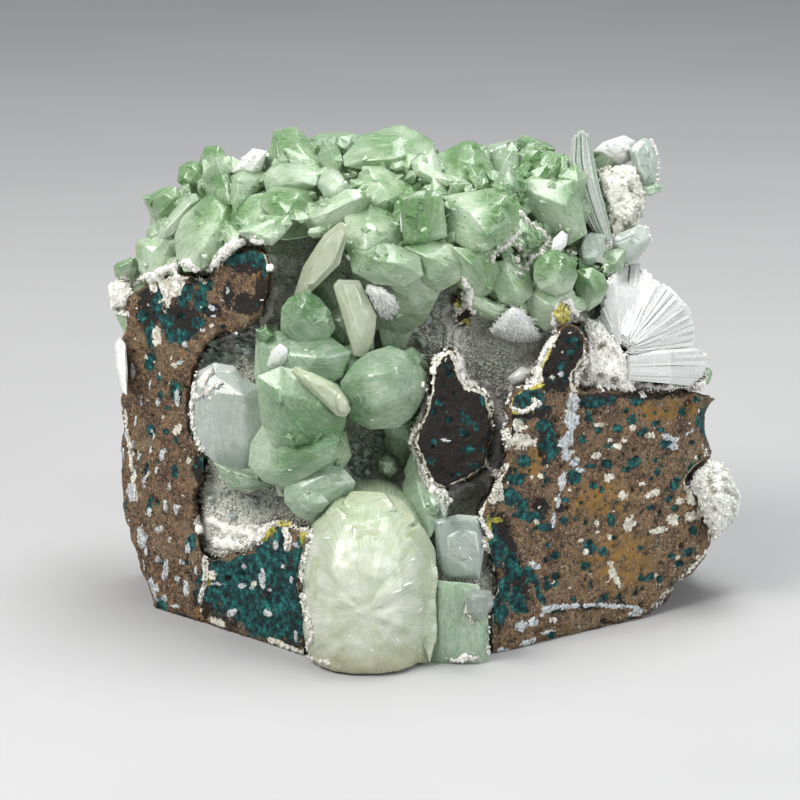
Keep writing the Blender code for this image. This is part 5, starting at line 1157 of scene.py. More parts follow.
def axis_of(outline):
    """Long direction of an outline as a direction in the specimen, pointing up."""
    p = np.array(outline, float)
    c = p.mean(0)
    w, vec = np.linalg.eigh(np.cov((p - c).T))
    d = vec[:, 1]
    if d[1] > 0:
        d = -d
    return Vector((d[0], -0.35, -d[1]))


# colour family of each crown crystal: saturation, darkness, greyness
LOOK = [
    (0.85, .15, 0), (0.85, .2, 0), (0.35, 0, .5), (0.75, .1, .1), (0.8, .4, .1), (0.08, 0, .5), (0.3, 0, .2), (0.55, 0, 0),
    (0.9, 0, 0), (0.25, 0, .1), (0.5, 0, .1), (0.5, .1, .3), (0.65, .05, 0), (0.2, 0, .1), (0.25, 0, 0),
    (0.8, .05, 0), (0.35, .05, .3), (0.95, .75, .2), (0.8, .2, .15), (0.0, 0, .7), (0.55, 0, -.5), (0.12, 0, -.4), (0.65, 0, 0), (0.55, .05, .1),
    (0.97, .05, -.1), (0.85, .05, 0), (0.12, 0, .4), (0.6, 0, 0), (0.15, .55, .8), (0.9, .5, .1), (0.35, .2, .4), (0.85, .05, 0), (0.5, .05, .15),
    (0.45, .15, .25), (0.35, .05, .1), (0.35, .05, 0), (0.4, .05, 0), (0.7, 0, 0), (0.9, .05, 0), (0.35, .05, .2), (0.5, .1, 0), (0.4, 0, 0), (0.85, 0, 0),
]

rng = random.Random(7)
main = []
crown_outlines = []
for i, c in enumerate(CROWN):
    c = dict(c)
    o = c.pop("o")
    crown_outlines.append(o)
    bm = hull_mesh(gem_points(o, **c), 0.17)
    sat, dk, gy = LOOK[i]
    tag_crystal(bm, axis_of(o), sat, dk, gy, i, Vector((rng.uniform(-0.4, 0.4), -0.5, 1.0)))
    main.append(to_object("c%02d" % i, bm))
# medium crystals that close the gaps between the large ones
CROWN_ZONE = [(112, 268), (140, 244), (146, 200), (180, 170), (206, 148), (256, 150), (274, 130), (310, 136), (400, 126), (436, 146),
              (475, 142), (524, 136), (566, 154), (590, 236), (608, 268), (604, 300), (560, 322), (500, 318), (452, 290), (402, 284),
              (350, 262), (300, 232), (240, 244), (206, 268), (165, 286), (120, 280)]
fill_rng = random.Random(19)
k = 0
for gv in range(136, 322, 13):
    for gu in range(118, 606, 14):
        u, v = gu + fill_rng.uniform(-5, 5), gv + fill_rng.uniform(-5, 5)
        if signed_in(CROWN_ZONE, [u], [v])[0] < 7:
            continue
        r = fill_rng.uniform(7, 12)
        turn = fill_rng.uniform(0, 3.14)
        n = fill_rng.choice((5, 6, 6, 7))
        poly = []
        for q in range(n):
            a = 2 * math.pi * (q + fill_rng.uniform(-0.2, 0.2)) / n
            x, y = math.cos(a) * r * 1.25, math.sin(a) * r * 0.8
            poly.append((u + x * math.cos(turn) - y * math.sin(turn), v + x * math.sin(turn) + y * math.cos(turn)))
        if not all(inside_outline(pu, pv, 1.0) for pu, pv in poly):
            continue
        tips = [(u + fill_rng.uniform(-5, 5), v + fill_rng.uniform(-5, 4), fill_rng.uniform(1.0, 2.6)) for _ in range(fill_rng.choice((2, 3, 3, 4)))]
        pts = gem_points(poly, dy=fill_rng.uniform(0.6, 2.2), th=8, drop=2, tips=tips)
        bm = hull_mesh(pts, 0.08)
        tag_crystal(bm, axis_of(poly), 0.45, 0.0, 0.1, 5000 + k, (fill_rng.uniform(-.4, .4), -0.5, 1))
        main.append(to_object("fill%03d" % k, bm))
        k += 1
FILL_AT = len(main)
for i, o in enumerate(BED):
    uc, vc = centre(o)
    pts = [at(u, v, skin(u, v) + 6.0) for u, v in o] + [at(uc + (u - uc) * 0.8, vc + (v - vc) * 0.8 + 10, skin(uc, vc) + 26.0) for u, v in o]
    bm = hull_mesh(pts, 0.3)
    tag_crystal(bm, (0.2, -0.3, 1), 0.4, 0.0, 0.1, 100 + i)
    main.append(to_object("bed%d" % i, bm))
roof = roof_spikes()
for i, pts in enumerate(roof):
    bm = hull_mesh(pts, 0.12)
    d = (pts[8] - pts[0])
    tag_crystal(bm, d, rng.uniform(0.45, 0.9), rng.uniform(0, 0.15), rng.uniform(0, 0.3), 200 + i, d)
    main.append(to_object("roof%02d" % i, bm))


def tree_of(objects):
    vs, fs, own = [], [], []
    for k, o in enumerate(objects):
        n = len(vs)
        vs += [tuple(v.co / MM) for v in o.data.vertices]
        fs += [tuple(n + j for j in p.vertices) for p in o.data.polygons]
        own += [k] * len(o.data.polygons)
    return BVHTree.FromPolygons(vs, fs), own


CROWN_BVH, CROWN_OWNER = tree_of(main)


def cast(bvh, u, v):
    d = Vector(direction(u, v)).normalized()
    return bvh.ray_cast(Vector(EYE), d)


def fits(pts, margin=0.0):
    return all(inside_outline(*sheet_of(p), margin) for p in pts)


def buried(tree, p):
    """True if p lies inside the closed shapes of the tree."""
    q = tree.find_nearest(p)
    return q[0] is not None and (Vector(p) - q[0]).dot(q[1]) < 0


def tip_spike(p, d, w, show, rng, long=2.6, w2=None):
    """Corners of a prism that stands out of a surface point p along d by show mm."""
    l = w * long
    return spike_points(Vector(p) - Vector(d).normalized() * (l - show), d, w, l, rng.uniform(0, 1.57), rng.uniform(0.55, 0.82),
                        rng.choice((0.03, 0.03, 0.03, 0.2, 0.45)), (w2 or w) * rng.uniform(0.35, 1.1))


subs = []


def add_spike(p, d, w, show, look, seed, store, rng, margin=0.0, bevel=0.05, tree=None, **kw):
    for long in (2.4, 1.8, 1.3):
        pts = tip_spike(p, d, w, show, rng, long=long)
        if tree is None or all(buried(tree, q) for q in pts[:4]):
            break
    else:
        return False
    if not fits(pts, margin) or max(q[1] for q in pts) > 41.2 or min(q[2] for q in pts) < 0.5:
        return False
    bm = hull_mesh(pts, bevel)
    sat, dk, gy = look
    tag_crystal(bm, d, min(1, max(0, sat + rng.uniform(-0.15, 0.15))), dk, gy, seed, d)
    store.append(to_object("k%04d" % len(store), bm))
    return True


# parallel points growing out of the large crystals
for i, o in enumerate(crown_outlines):
    uc, vc = centre(o)
    size = math.sqrt(abs(sum(o[j][0] * o[(j + 1) % len(o)][1] - o[(j + 1) % len(o)][0] * o[j][1] for j in range(len(o))) * 0.5))
    count = 3 if size < 18 else (5 if size < 30 else 8)
    if i in (24, 15):
        count = 1
    lean = Vector((rng.uniform(-0.5, 0.5), rng.uniform(-0.9, -0.35), 1.0))
    for _ in range(count):
        j = rng.randrange(len(o))
        f = rng.uniform(0.45, 0.95)
        u = uc + (o[j][0] - uc) * f
        v = vc + (o[j][1] - vc) * f
        hit = cast(CROWN_BVH, u, v)
        if hit[0] is None:
            continue
        d = lean + hit[1] * 0.7 + Vector((rng.uniform(-.12, .12), rng.uniform(-.12, .12), 0))
        w = rng.uniform(0.14, 0.30) * size * 0.189
        add_spike(hit[0], d, w, rng.uniform(0.3, 0.7) * w, LOOK[i], 300 + len(subs), subs, rng, tree=CROWN_BVH)
# small points in the valleys between them
tries = 0
while len(subs) < 420 and tries < 2500:
    tries += 1
    u, v = rng.uniform(112, 608), rng.uniform(126, 322)
    if signed_in(CROWN_ZONE, [u], [v])[0] < 2:
        continue
    hit = cast(CROWN_BVH, u, v)
    if hit[0] is None:
        continue
    owner = CROWN_OWNER[hit[2]]
    # only where the surface is concave: another crystal stands close in front of the normal
    n = hit[1]
    probe = CROWN_BVH.ray_cast(hit[0] + n * 0.3, (n + Vector((rng.uniform(-1, 1), 0, rng.uniform(-1, 1)))).normalized(), 5.0)
    if probe[0] is None and rng.random() > 0.12:
        continue
    look = LOOK[owner] if owner < len(LOOK) else (0.5, 0.05, 0.1)
    d = n * rng.uniform(0.6, 1.2) + Vector((rng.uniform(-0.5, 0.5), -0.3, rng.uniform(0.2, 0.8)))
    w = rng.uniform(0.5, 2.0)
    add_spike(hit[0], d, w, w * rng.uniform(0.3, 0.9), look, 900 + len(subs), subs, rng, tree=CROWN_BVH)
# smaller spikes among those of the roof
roof_rng = random.Random(77)
tries = count = 0
while count < 170 and tries < 1600:
    tries += 1
    bx, by = roof_rng.uniform(-54, 42), roof_rng.uniform(0, 38)
    hit = CROWN_BVH.ray_cast(Vector((bx, by, 150.0)), Vector((0, 0, -1)))
    if hit[0] is None or hit[0].z < 46:
        continue
    w = roof_rng.uniform(1.6, 5.0)
    d = Vector(((bx + 4) * 0.013 + roof_rng.uniform(-0.5, 0.5), (by - 8) * 0.022 + roof_rng.uniform(-0.4, 0.5), 1.0))
    if add_spike(hit[0], d, w, w * roof_rng.uniform(0.5, 1.3), (roof_rng.uniform(0.4, 0.95), roof_rng.uniform(0, 0.2), roof_rng.uniform(0, 0.3)),
                 2000 + count, subs, roof_rng, margin=1.5, bevel=0.08):
        count += 1
crown_main = union("crown_main", main)
crown_obj = joined("green_crown_crystals", [crown_main] + subs)


def refine_visible(ob, edge, rounds=3, limit=0.0):
    """Triangles no longer than edge mm where the surface looks to the front."""
    bm = bmesh.new()
    bm.from_mesh(ob.data)
    eye = Vector(EYE) * MM
    bmesh.ops.triangulate(bm, faces=bm.faces)
    for _ in range(rounds):
        pick = set()
        for f in bm.faces:
            c = f.calc_center_median()
            if f.normal.dot((eye - c).normalized()) > limit:
                for e in f.edges:
                    if e.calc_length() > edge * MM:
                        pick.add(e)
        if not pick:
            break
        bmesh.ops.subdivide_edges(bm, edges=list(pick), cuts=1, use_grid_fill=False)
        bmesh.ops.triangulate(bm, faces=[f for f in bm.faces if len(f.verts) > 3])
    bm.to_mesh(ob.data)
    bm.free()


# soft colour spots over the crown: u, v, half width, half height, turn, strength
SATUR = [
    (213, 150, 13, 6, 0, .9), (189, 168, 11, 9, 0, .9), (181, 180, 6, 6, 0, .8), (166, 200, 16, 12, 0, .7), (150, 203, 8, 6, 0, .8),
    (220, 178, 12, 11, 0, .95), (206, 204, 14, 18, 30, .7), (226, 212, 8, 22, 0, .65), (238, 212, 10, 9, 0, .7), (245, 208, 14, 6, -30, .6),
    (246, 226, 12, 6, 0, .5), (120, 266, 9, 6, 0, .6), (116, 276, 5, 4, 0, .8), (290, 140, 20, 12, 0, .85), (285, 152, 14, 10, 0, .75),
    (312, 155, 8, 14, 20, .35), (286, 201, 18, 14, 0, .85), (276, 196, 16, 12, 0, .6), (268, 222, 12, 6, 0, .5), (400, 146, 30, 10, 10, .8), (424, 142, 13, 7, 0, .95),
    (376, 160, 22, 6, 10, .5), (372, 212, 16, 10, 0, .65), (360, 200, 14, 12, 0, .45), (384, 214, 12, 8, 0, .55), (420, 216, 24, 30, 0, 1.0),
    (462, 156, 22, 14, 0, .9), (476, 168, 14, 14, 0, .75), (470, 145, 12, 6, 0, .95), (506, 206, 16, 24, 0, 1.0), (496, 226, 14, 16, 30, .85), (486, 196, 10, 10, 0, .7),
    (536, 145, 22, 8, 10, .7), (548, 164, 22, 12, 0, .9), (562, 172, 12, 12, 0, .7), (524, 170, 8, 14, 30, .6), (520, 186, 8, 12, 0, .6), (570, 196, 12, 20, 0, .45),
    (533, 237, 11, 9, 0, .75), (552, 260, 21, 10, 0, .95), (568, 268, 10, 12, 0, .8), (540, 270, 10, 10, 0, .5), (592, 278, 12, 10, 0, .6),
    (600, 286, 8, 12, 0, .6), (580, 296, 8, 8, 0, .5), (612, 268, 6, 8, 0, .8), (372, 262, 18, 10, 0, .35), (430, 268, 14, 10, 0, .3),
    (486, 272, 12, 12, 0, .55), (500, 290, 12, 12, 0, .4), (352, 254, 8, 12, 20, .6), (478, 258, 14, 8, 0, .45), (344, 262, 5, 8, 0, .6), (410, 190, 8, 8, 0, .5),
]
SATUR += [
    (300, 306, 18, 16, 0, .85), (306, 300, 14, 8, 0, .8), (292, 326, 14, 8, 0, .5), (266, 334, 9, 9, 0, .7), (306, 420, 24, 20, 0, .85), (318, 436, 20, 14, -20, .9),
    (296, 440, 18, 16, 0, .8), (290, 462, 14, 12, 0, .75), (300, 454, 14, 14, 0, .85), (332, 428, 12, 14, 0, .9), (340, 412, 8, 14, 0, .7), (352, 418, 10, 10, 0, .6), (326, 396, 14, 12, 0, .45), (276, 402, 10, 24, 0, .35),
    (282, 380, 12, 12, 0, .4), (416, 360, 8, 8, 0, .4), (360, 412, 12, 10, 0, .4),
]
CLOUD = [
    (178, 215, 8, 20, 35, .9), (168, 232, 8, 12, 30, .9), (190, 196, 10, 8, 0, .6), (160, 260, 18, 16, 0, .55), (150, 270, 12, 14, 0, .7), (185, 262, 14, 12, 0, .6),
    (212, 240, 14, 22, 0, .4), (258, 236, 26, 10, 0, .6), (276, 240, 18, 10, 0, .75), (310, 222, 16, 12, 0, .8), (338, 210, 26, 14, -30, .95), (300, 232, 10, 8, 0, .8),
    (332, 184, 14, 15, 0, 1.0), (270, 176, 18, 10, 0, .5), (302, 170, 14, 8, 20, .5), (234, 162, 8, 8, 0, .7), (222, 162, 14, 8, 0, .55), (428, 166, 16, 20, 0, .95), (440, 178, 8, 12, 0, .8),
    (466, 208, 20, 24, 0, .6), (456, 226, 14, 20, 0, .55), (395, 170, 14, 8, 0, .3), (556, 212, 24, 16, 10, .65), (540, 200, 14, 10, 0, .7), (570, 232, 18, 12, 0, .4),
    (540, 300, 20, 18, 0, .55), (556, 290, 20, 12, 0, .5), (575, 310, 18, 12, 0, .7), (592, 306, 12, 10, 0, .7), (518, 262, 12, 14, 0, .7), (520, 240, 14, 18, 0, .6),
    (446, 248, 16, 12, 0, .5), (476, 296, 14, 14, 0, .5), (466, 280, 12, 10, 0, .6), (498, 308, 14, 8, 0, .5), (350, 236, 12, 10, 0, .3), (396, 232, 8, 10, 0, .4), (386, 200, 4, 10, 0, .8),
]
CLOUD += [
    (230, 462, 20, 14, 0, .5), (252, 462, 16, 14, 0, .45), (264, 444, 12, 14, 0, .5), (248, 444, 12, 16, 0, .5), (300, 380, 16, 10, 0, .4), (370, 372, 14, 8, 0, .4), (380, 392, 16, 10, 30, .35),
    (398, 360, 10, 8, 0, .4), (396, 436, 14, 12, 0, .4), (388, 466, 12, 10, 0, .8), (312, 330, 12, 6, 0, .3),
]
DUSK = [
    (310, 318, 14, 14, 0, .5), (296, 340, 20, 10, 0, .45), (330, 346, 18, 12, 0, .45), (290, 358, 22, 14, 0, .4), (318, 366, 22, 14, 0, .45), (350, 372, 14, 20, 0, .4), (384, 366, 24, 12, 0, .45),
    (400, 388, 20, 16, 0, .4), (366, 392, 16, 18, 0, .4), (280, 398, 16, 20, 0, .3), (296, 410, 12, 8, 0, .3), (262, 478, 16, 6, 0, .5), (282, 484, 14, 6, 0, .4), (412, 402, 12, 14, 0, .4), (302, 394, 10, 8, 0, .35),
    (404, 432, 10, 14, 0, .5),
    (336, 142, 26, 10, 0, .9), (324, 152, 18, 8, 30, .6), (534, 143, 20, 8, 10, .5), (504, 152, 20, 14, 0, .6), (506, 180, 14, 12, 0, .35), (372, 250, 22, 12, 0, .4),
    (400, 262, 20, 12, 0, .45), (386, 272, 26, 8, 0, .5), (270, 182, 20, 5, -30, .3), (246, 184, 16, 10, -30, .3), (232, 168, 8, 8, 0, .3), (420, 262, 14, 8, 0, .35), (564, 222, 20, 12, 0, .3),
    (484, 232, 10, 6, 0, .5), (580, 214, 12, 22, 0, .3), (508, 282, 10, 8, 0, .35), (140, 252, 8, 10, 0, .3), (350, 146, 14, 6, -20, .5), (380, 134, 20, 5, -15, .5), (562, 200, 16, 12, 0, .3),
]


def spot_paint(u, v, spots, wob):
    out = np.zeros(len(u))
    for mu, mv, ru, rv, turn, k in spots:
        c, s = math.cos(math.radians(turn)), math.sin(math.radians(turn))
        near = (np.abs(u - mu) < (ru + rv) * 1.8) & (np.abs(v - mv) < (ru + rv) * 1.8)
        if not near.any():
            continue
        du, dv = u[near] - mu, v[near] - mv
        d = np.hypot((du * c + dv * s) / ru, (-du * s + dv * c) / rv) + wob[near] * 0.35
        out[near] = np.maximum(out[near], k * smooth(1.6 - d, 0.0, 1.2))
    return out


def tone(ob, base=0.4, keep=0.5, wave=0.07, seed=3.0):
    """Point colours of a crystal group from the soft spots, and a slight unevenness of its faces."""
    me = ob.data
    co = coords(me) / MM
    nor = normals(me)
    u, v = sheet_np(co)
    way = np.array(EYE) - co
    way /= np.linalg.norm(way, axis=1)[:, None]
    front = smooth((nor * way).sum(1), -0.35, 0.1)
    w1 = field(co, 5.0, 2, seed)
    w2 = field(co, 2.2, 2, seed + 9)
    sat = spot_paint(u, v, SATUR, w1)
    cloud = spot_paint(u, v, CLOUD, w1)
    dusk = spot_paint(u, v, DUSK, w1)
    rest = np.clip(base + 0.5 * w1 + 0.2 * w2, 0, 1)
    sat_f = np.clip(0.20 + 0.80 * sat - 0.30 * cloud + 0.22 * w1 + 0.12 * w2, 0, 1)
    t = np.stack([front * sat_f + (1 - front) * rest, front * cloud + (1 - front) * np.clip(0.2 + 0.4 * w2, 0, 1),
                  front * dusk + (1 - front) * np.clip(0.1 + 0.3 * w1, 0, 1), front], 1)
    put_attr(me, "tone", t, "FLOAT_COLOR")
    wv = field(co, 2.6, 2, seed + 31) * wave
    out = co + nor * wv[:, None]
    lo_, hi_ = np.array(CAD_BOX[0]) / MM + 0.02, np.array(CAD_BOX[1]) / MM - 0.02
    set_coords(me, np.clip(out, lo_, hi_) * MM)
    smooth_shade(me, 24)


refine_visible(crown_obj, 2.3, 4, -0.1)
tone(crown_obj)

# ------------------------------------------------------------------ crystal materials
def crystal_material(name, pale, satur, deep, grey, trans=(0.42, 0.72), absorb=None, density=0.0, rough=(0.14, 0.34), veil=0.5, scale=1.0, use_tone=True, coat=0.5):
    m = Mat(name)
    grain = m.attr("grain", "Vector")
    sh = m.node("ShaderNodeAttribute", attribute_name="shade")
    sat, s, dk = m.split(sh.outputs["Color"])
    gy = sh.outputs["Alpha"]
    rim = m.attr("rim", "Fac")
    cloud2 = m.noise(0.60 * scale, 4, 0.62, vec=grain)
    silk = m.noise(1.0, 4, 0.62, vec=m.stretch(2.4 * scale, 2.4 * scale, 0.30 * scale, grain))
    if use_tone:
        tn = m.node("ShaderNodeAttribute", attribute_name="tone")
        t_sat, t_cloud, t_dusk = m.split(tn.outputs["Color"])
        lvl = m.math('ADD', m.math('MULTIPLY', t_sat, 0.85), m.math('MULTIPLY', m.math('SUBTRACT', s, 0.45), 0.30))
        dark = m.math('ADD', m.math('MULTIPLY', dk, 0.35), m.math('MULTIPLY', t_dusk, 0.85), clamp=True)
        cloudf = t_cloud
    else:
        lvl = m.math('MULTIPLY', sat, m.lerp(s, 0.45, 1.15), clamp=True)
        dark = dk
        cloudf = m.band(cloud2, 0.55, 0.8)
    lvl = m.math('ADD', lvl, m.math('MULTIPLY', m.math('SUBTRACT', cloud2, 0.5), 0.75), clamp=True)
    col = m.mix(m.band(lvl, 0.0, 0.95), pale, satur)
    col = m.mix(m.math('MULTIPLY', dark, 0.7, clamp=True), col, deep)
    col = m.mix(m.math('MULTIPLY', gy, 0.7, clamp=True), col, grey)
    light = tuple(0.35 * c + 0.65 * w for c, w in zip(pale, lin(226, 236, 222)))
    col = m.mix(m.math('MULTIPLY', cloudf, 0.65, clamp=True), col, light)
    # milky veils, silky lines and a few cleavage cracks
    veilf = m.math('MULTIPLY', m.band(silk, 0.50, 0.70), veil)
    col = m.mix(m.math('MULTIPLY', veilf, 0.8), col, light)
    col = m.mix(m.math('MULTIPLY', m.band(silk, 0.48, 0.34), 0.55), col, m.mix(0.35, satur, deep))
    cell = m.voronoi(0.62 * scale, 'F1', vec=m.stretch(1.6, 1.6, 0.55, grain), out="Color")
    cr_, cg_, cb_ = m.split(cell)
    col = m.mix(m.math('MULTIPLY', cr_, 0.32), col, light)
    col = m.mix(m.math('MULTIPLY', cg_, 0.26), col, m.mix(0.3, satur, deep))
    mote = m.noise(5.2 * scale, 3, 0.65, vec=grain)
    col = m.mix(m.band(mote, 0.54, 0.70, 0, 0.35), col, light)
    col = m.mix(m.band(mote, 0.44, 0.32, 0, 0.35), col, m.mix(0.55, satur, deep))
    crack = m.math('ABSOLUTE', m.math('SUBTRACT', silk, 0.52))
    linef = m.math('MULTIPLY', m.band(crack, 0.010, 0.002), m.band(cloud2, 0.50, 0.60))
    col = m.mix(m.math('MULTIPLY', linef, 0.7), col, lin(236, 244, 236))
    # painted edge highlight: the narrow bevel faces lighter, and below less clear
    col = m.mix(m.math('MULTIPLY', rim, 0.18), col, lin(222, 238, 220))
    tr = m.lerp(lvl, trans[0], trans[1])
    tr = m.math('MULTIPLY', tr, m.math('SUBTRACT', 1.0, m.math('MULTIPLY', veilf, 0.35)))
    tr = m.math('MULTIPLY', tr, m.math('SUBTRACT', 1.0, m.math('MULTIPLY', cloudf, 0.30)))
    tr = m.math('MULTIPLY', tr, m.math('SUBTRACT', 1.0, m.math('MULTIPLY', rim, 0.5)))
    b = m.bump(silk, 0.30, 0.0004)
    b = m.bump(cr_, 0.30, 0.0003, b)
    m.set(color=col, rough=m.lerp(cloud2, rough[0], rough[1]), trans=tr, ior=1.535, normal=b, spec=0.5, coat=coat, coat_rough=0.08)
    if absorb is not None:
        m.absorb(absorb, density)
    return m.mat


GREEN = crystal_material("apophyllite_green", lin(206, 222, 192), lin(132, 196, 106), lin(78, 138, 88), lin(200, 212, 202),
                         absorb=(0.76, 0.92, 0.66), density=20.0)
DEEP = crystal_material("apophyllite_deep", lin(190, 212, 180), lin(114, 184, 98), lin(62, 120, 76), lin(188, 206, 196),
                        absorb=(0.62, 0.90, 0.62), density=24.0)
finish_piece(crown_obj, GREEN, ("apophyllite_crown",))


def gem_group(name, pieces, looks, mat, replaces, sub=4, seed=1, bevel=0.16, axis=None, tip=None, size=(0.14, 0.3), edge=1.7, toned=False, lean=None, wave=0.06):
    """Crystals by outline, united, with parallel points on their faces."""
    rg = random.Random(seed)
    obs, outs = [], []
    for i, c in enumerate(pieces):
        c = dict(c)
        o = c.pop("o")
        outs.append(o)
        bm = hull_mesh(gem_points(o, **c), bevel)
        sat, dk, gy = looks[i % len(looks)]
        tag_crystal(bm, axis if axis is not None else axis_of(o), sat, dk, gy, seed * 100 + i, tip if tip is not None else (rg.uniform(-.3, .3), -0.4, 1))
        obs.append(to_object("g%02d" % i, bm))
    bvh, own = tree_of(obs)
    extra = []
    for i, o in enumerate(outs):
        uc, vc = centre(o)
        span = math.sqrt(abs(sum(o[j][0] * o[(j + 1) % len(o)][1] - o[(j + 1) % len(o)][0] * o[j][1] for j in range(len(o))) * 0.5))
        way = lean if lean is not None else Vector((rg.uniform(-0.5, 0.5), rg.uniform(-1.0, -0.4), 1.0))
        for _ in range(sub):
            j = rg.randrange(len(o))
            f = rg.uniform(0.3, 0.92)
            hit = cast(bvh, uc + (o[j][0] - uc) * f, vc + (o[j][1] - vc) * f)
            if hit[0] is None:
                continue
            w = rg.uniform(*size) * span * 0.189
            add_spike(hit[0], Vector(way) + hit[1] * 0.8 + Vector((rg.uniform(-.15, .15), rg.uniform(-.15, .15), 0)), w, rg.uniform(0.25, 0.6) * w,
                      looks[i % len(looks)], seed * 100 + 50 + len(extra), extra, rg, tree=bvh)
    body = union(name + "_main", obs)
    ob = joined(name, [body] + extra)
    refine_visible(ob, edge, 3, -0.2)
    if toned:
        tone(ob, wave=wave, seed=float(seed))
    else:
        co = coords(ob.data) / MM
        out = co + normals(ob.data) * (field(co, 2.4, 2, seed + 3.0) * wave)[:, None]
        set_coords(ob.data, np.clip(out, np.array(CAD_BOX[0]) / MM + 0.02, np.array(CAD_BOX[1]) / MM - 0.02) * MM)
        smooth_shade(ob.data, 24)
    finish_piece(ob, mat, (replaces,) if isinstance(replaces, str) else replaces)
    return ob


CAV_LOOK = [(0.75, .25, .1), (0.35, .15, .25), (0.75, .1, 0), (0.7, .05, .1), (0.4, .3, .2), (0.4, .15, .2), (0.3, .1, .3), (0.35, .25, .2), (0.2, .1, .5), (0.8, .1, 0)]
cav = gem_group("cavity_crystals", CAVITY, CAV_LOOK, DEEP, "apophyllite_cavity_cluster", sub=6, seed=3, toned=True)
# ================================================================== SINGLE CRYSTALS
PALE = crystal_material("apophyllite_pale", lin(208, 212, 184), lin(176, 196, 146), lin(120, 136, 96), lin(200, 204, 190),
                        trans=(0.30, 0.45), absorb=(0.84, 0.88, 0.66), density=24.0, rough=(0.25, 0.42), veil=0.7, use_tone=False)
GREYC = crystal_material("apophyllite_grey", lin(216, 224, 216), lin(180, 200, 190), lin(126, 150, 140), lin(204, 212, 210),
                         trans=(0.40, 0.60), absorb=(0.84, 0.92, 0.89), density=18.0, rough=(0.2, 0.4), veil=0.7, use_tone=False)
CLEAR = crystal_material("quartz_clear", lin(232, 238, 236), lin(206, 218, 214), lin(150, 164, 160), lin(220, 226, 226),
                         trans=(0.72, 0.88), absorb=(0.90, 0.94, 0.92), density=10.0, rough=(0.04, 0.16), veil=0.25, use_tone=False)

# green crystals that close the vug behind the large ones
gem_group("vug_infill", [
    dict(o=[(350, 262), (392, 258), (424, 274), (438, 298), (424, 324), (398, 338), (374, 330), (354, 300)], dy=3.2, th=12, tips=[(372, 286, 2.0), (404, 284, 2.2), (416, 306, 2.4), (390, 320, 2.0)]),
    dict(o=[(386, 268), (424, 262), (444, 284), (436, 302), (408, 300), (390, 288)], dy=1.0, th=10, tips=[(408, 276, 2.2), (426, 288, 2.0)]),
    dict(o=[(304, 284), (330, 268), (348, 276), (350, 302), (330, 320), (308, 312)], dy=4.2, th=10, tips=[(324, 288, 2.0), (334, 304, 1.6)]),
    dict(o=[(322, 318), (350, 298), (374, 318), (374, 350), (346, 358), (326, 344)], dy=2.0, th=12, tips=[(340, 322, 2.4), (358, 336, 2.2)]),
    dict(o=[(336, 348), (358, 342), (374, 360), (364, 394), (344, 404), (332, 380)], dy=1.6, th=12, tips=[(348, 360, 2.2), (354, 382, 2.0)]),
    dict(o=[(238, 440), (262, 420), (282, 440), (286, 470), (262, 490), (238, 478)], dy=1.2, th=10, tips=[(256, 444, 2.0), (268, 466, 2.0)]),
    dict(o=[(256, 330), (278, 322), (288, 360), (276, 396), (262, 420), (254, 372)], dy=2.0, th=10, tips=[(268, 348, 1.8), (266, 386, 2.0)]),
    dict(o=[(222, 452), (262, 458), (272, 486), (246, 494), (218, 478)], dy=1.6, th=10, tips=[(244, 470, 2.0), (232, 464, 1.4)]),
    dict(o=[(270, 470), (300, 460), (316, 480), (300, 500), (278, 496)], dy=1.4, th=10, tips=[(286, 474, 1.8), (300, 484, 1.8)]),
    dict(o=[(384, 440), (400, 408), (418, 420), (414, 450), (404, 474), (388, 464)], dy=3.0, th=10, tips=[(400, 430, 1.8), (398, 452, 1.8)]),
    dict(o=[(374, 306), (402, 298), (416, 326), (404, 350), (382, 346)], dy=3.4, th=10, tips=[(390, 314, 1.8), (402, 332, 1.8)]),
    dict(o=[(318, 440), (346, 430), (352, 456), (340, 474), (320, 466)], dy=2.0, th=10, tips=[(332, 446, 1.8)]),
], [(0.3, .1, .2), (0.2, 0, .3), (0.35, .2, .3), (0.5, .1, .1), (0.45, .2, .1), (0.4, .1, .2), (0.2, 0, .3), (0.3, .1, .3), (0.4, .2, .2), (0.6, .3, .1), (0.3, .1, .3), (0.7, .1, 0)],
    GREEN, (), sub=5, seed=15, toned=True)
gem_group("plate_crystal", [
    dict(o=[(191, 386), (208, 371), (236, 374), (260, 386), (268, 424), (264, 458), (242, 474), (216, 464), (198, 447), (190, 426)],
         dy=-1, th=14, tips=[(212, 392, 2.0), (244, 396, 2.5), (248, 446, 2.5), (214, 438, 2.0)]),
    dict(o=[(196, 372), (214, 362), (236, 366), (246, 384), (240, 404), (214, 404), (198, 392)], dy=-1.6, th=8, tips=[(214, 378, 1.6), (232, 384, 1.6)]),
    dict(o=[(206, 420), (226, 408), (252, 414), (262, 440), (240, 462), (214, 452)], dy=-2.0, th=8, tips=[(226, 428, 1.4), (244, 438, 1.4)]),
], [(0.35, 0, .6), (0.0, 0, .9), (0.3, .05, .3)], GREYC, "bluegrey_plate_crystal", sub=0, seed=5)
gem_group("wedge_crystal", [
    dict(o=[(284, 486), (304, 472), (328, 464), (344, 468), (356, 482), (352, 492), (330, 506), (312, 524), (296, 516), (284, 502)], dy=0, th=14),
    dict(o=[(296, 500), (306, 490), (320, 492), (330, 502), (322, 512), (304, 514)], dy=-2.2, th=6, tips=[(308, 500, 1.2), (318, 504, 1.2)]),
], [(0.25, .25, .4), (0.2, .1, .4)], DEEP, "green_wedge_crystal", sub=3, seed=6, toned=False)
gem_group("pane_crystal", [
    dict(o=[(434, 520), (458, 514), (480, 516), (485, 545), (480, 580), (444, 577), (436, 555)], dy=0, th=14, bevel=1.0, table=0.85),
    dict(o=[(446, 536), (462, 528), (478, 532), (480, 556), (462, 562), (448, 554)], dy=-0.9, th=6, bevel=0.5, table=0.8),
], [(0.6, .15, .5), (0.4, .1, .6)], GREYC, "bluegrey_pane_crystal", sub=0, seed=8)
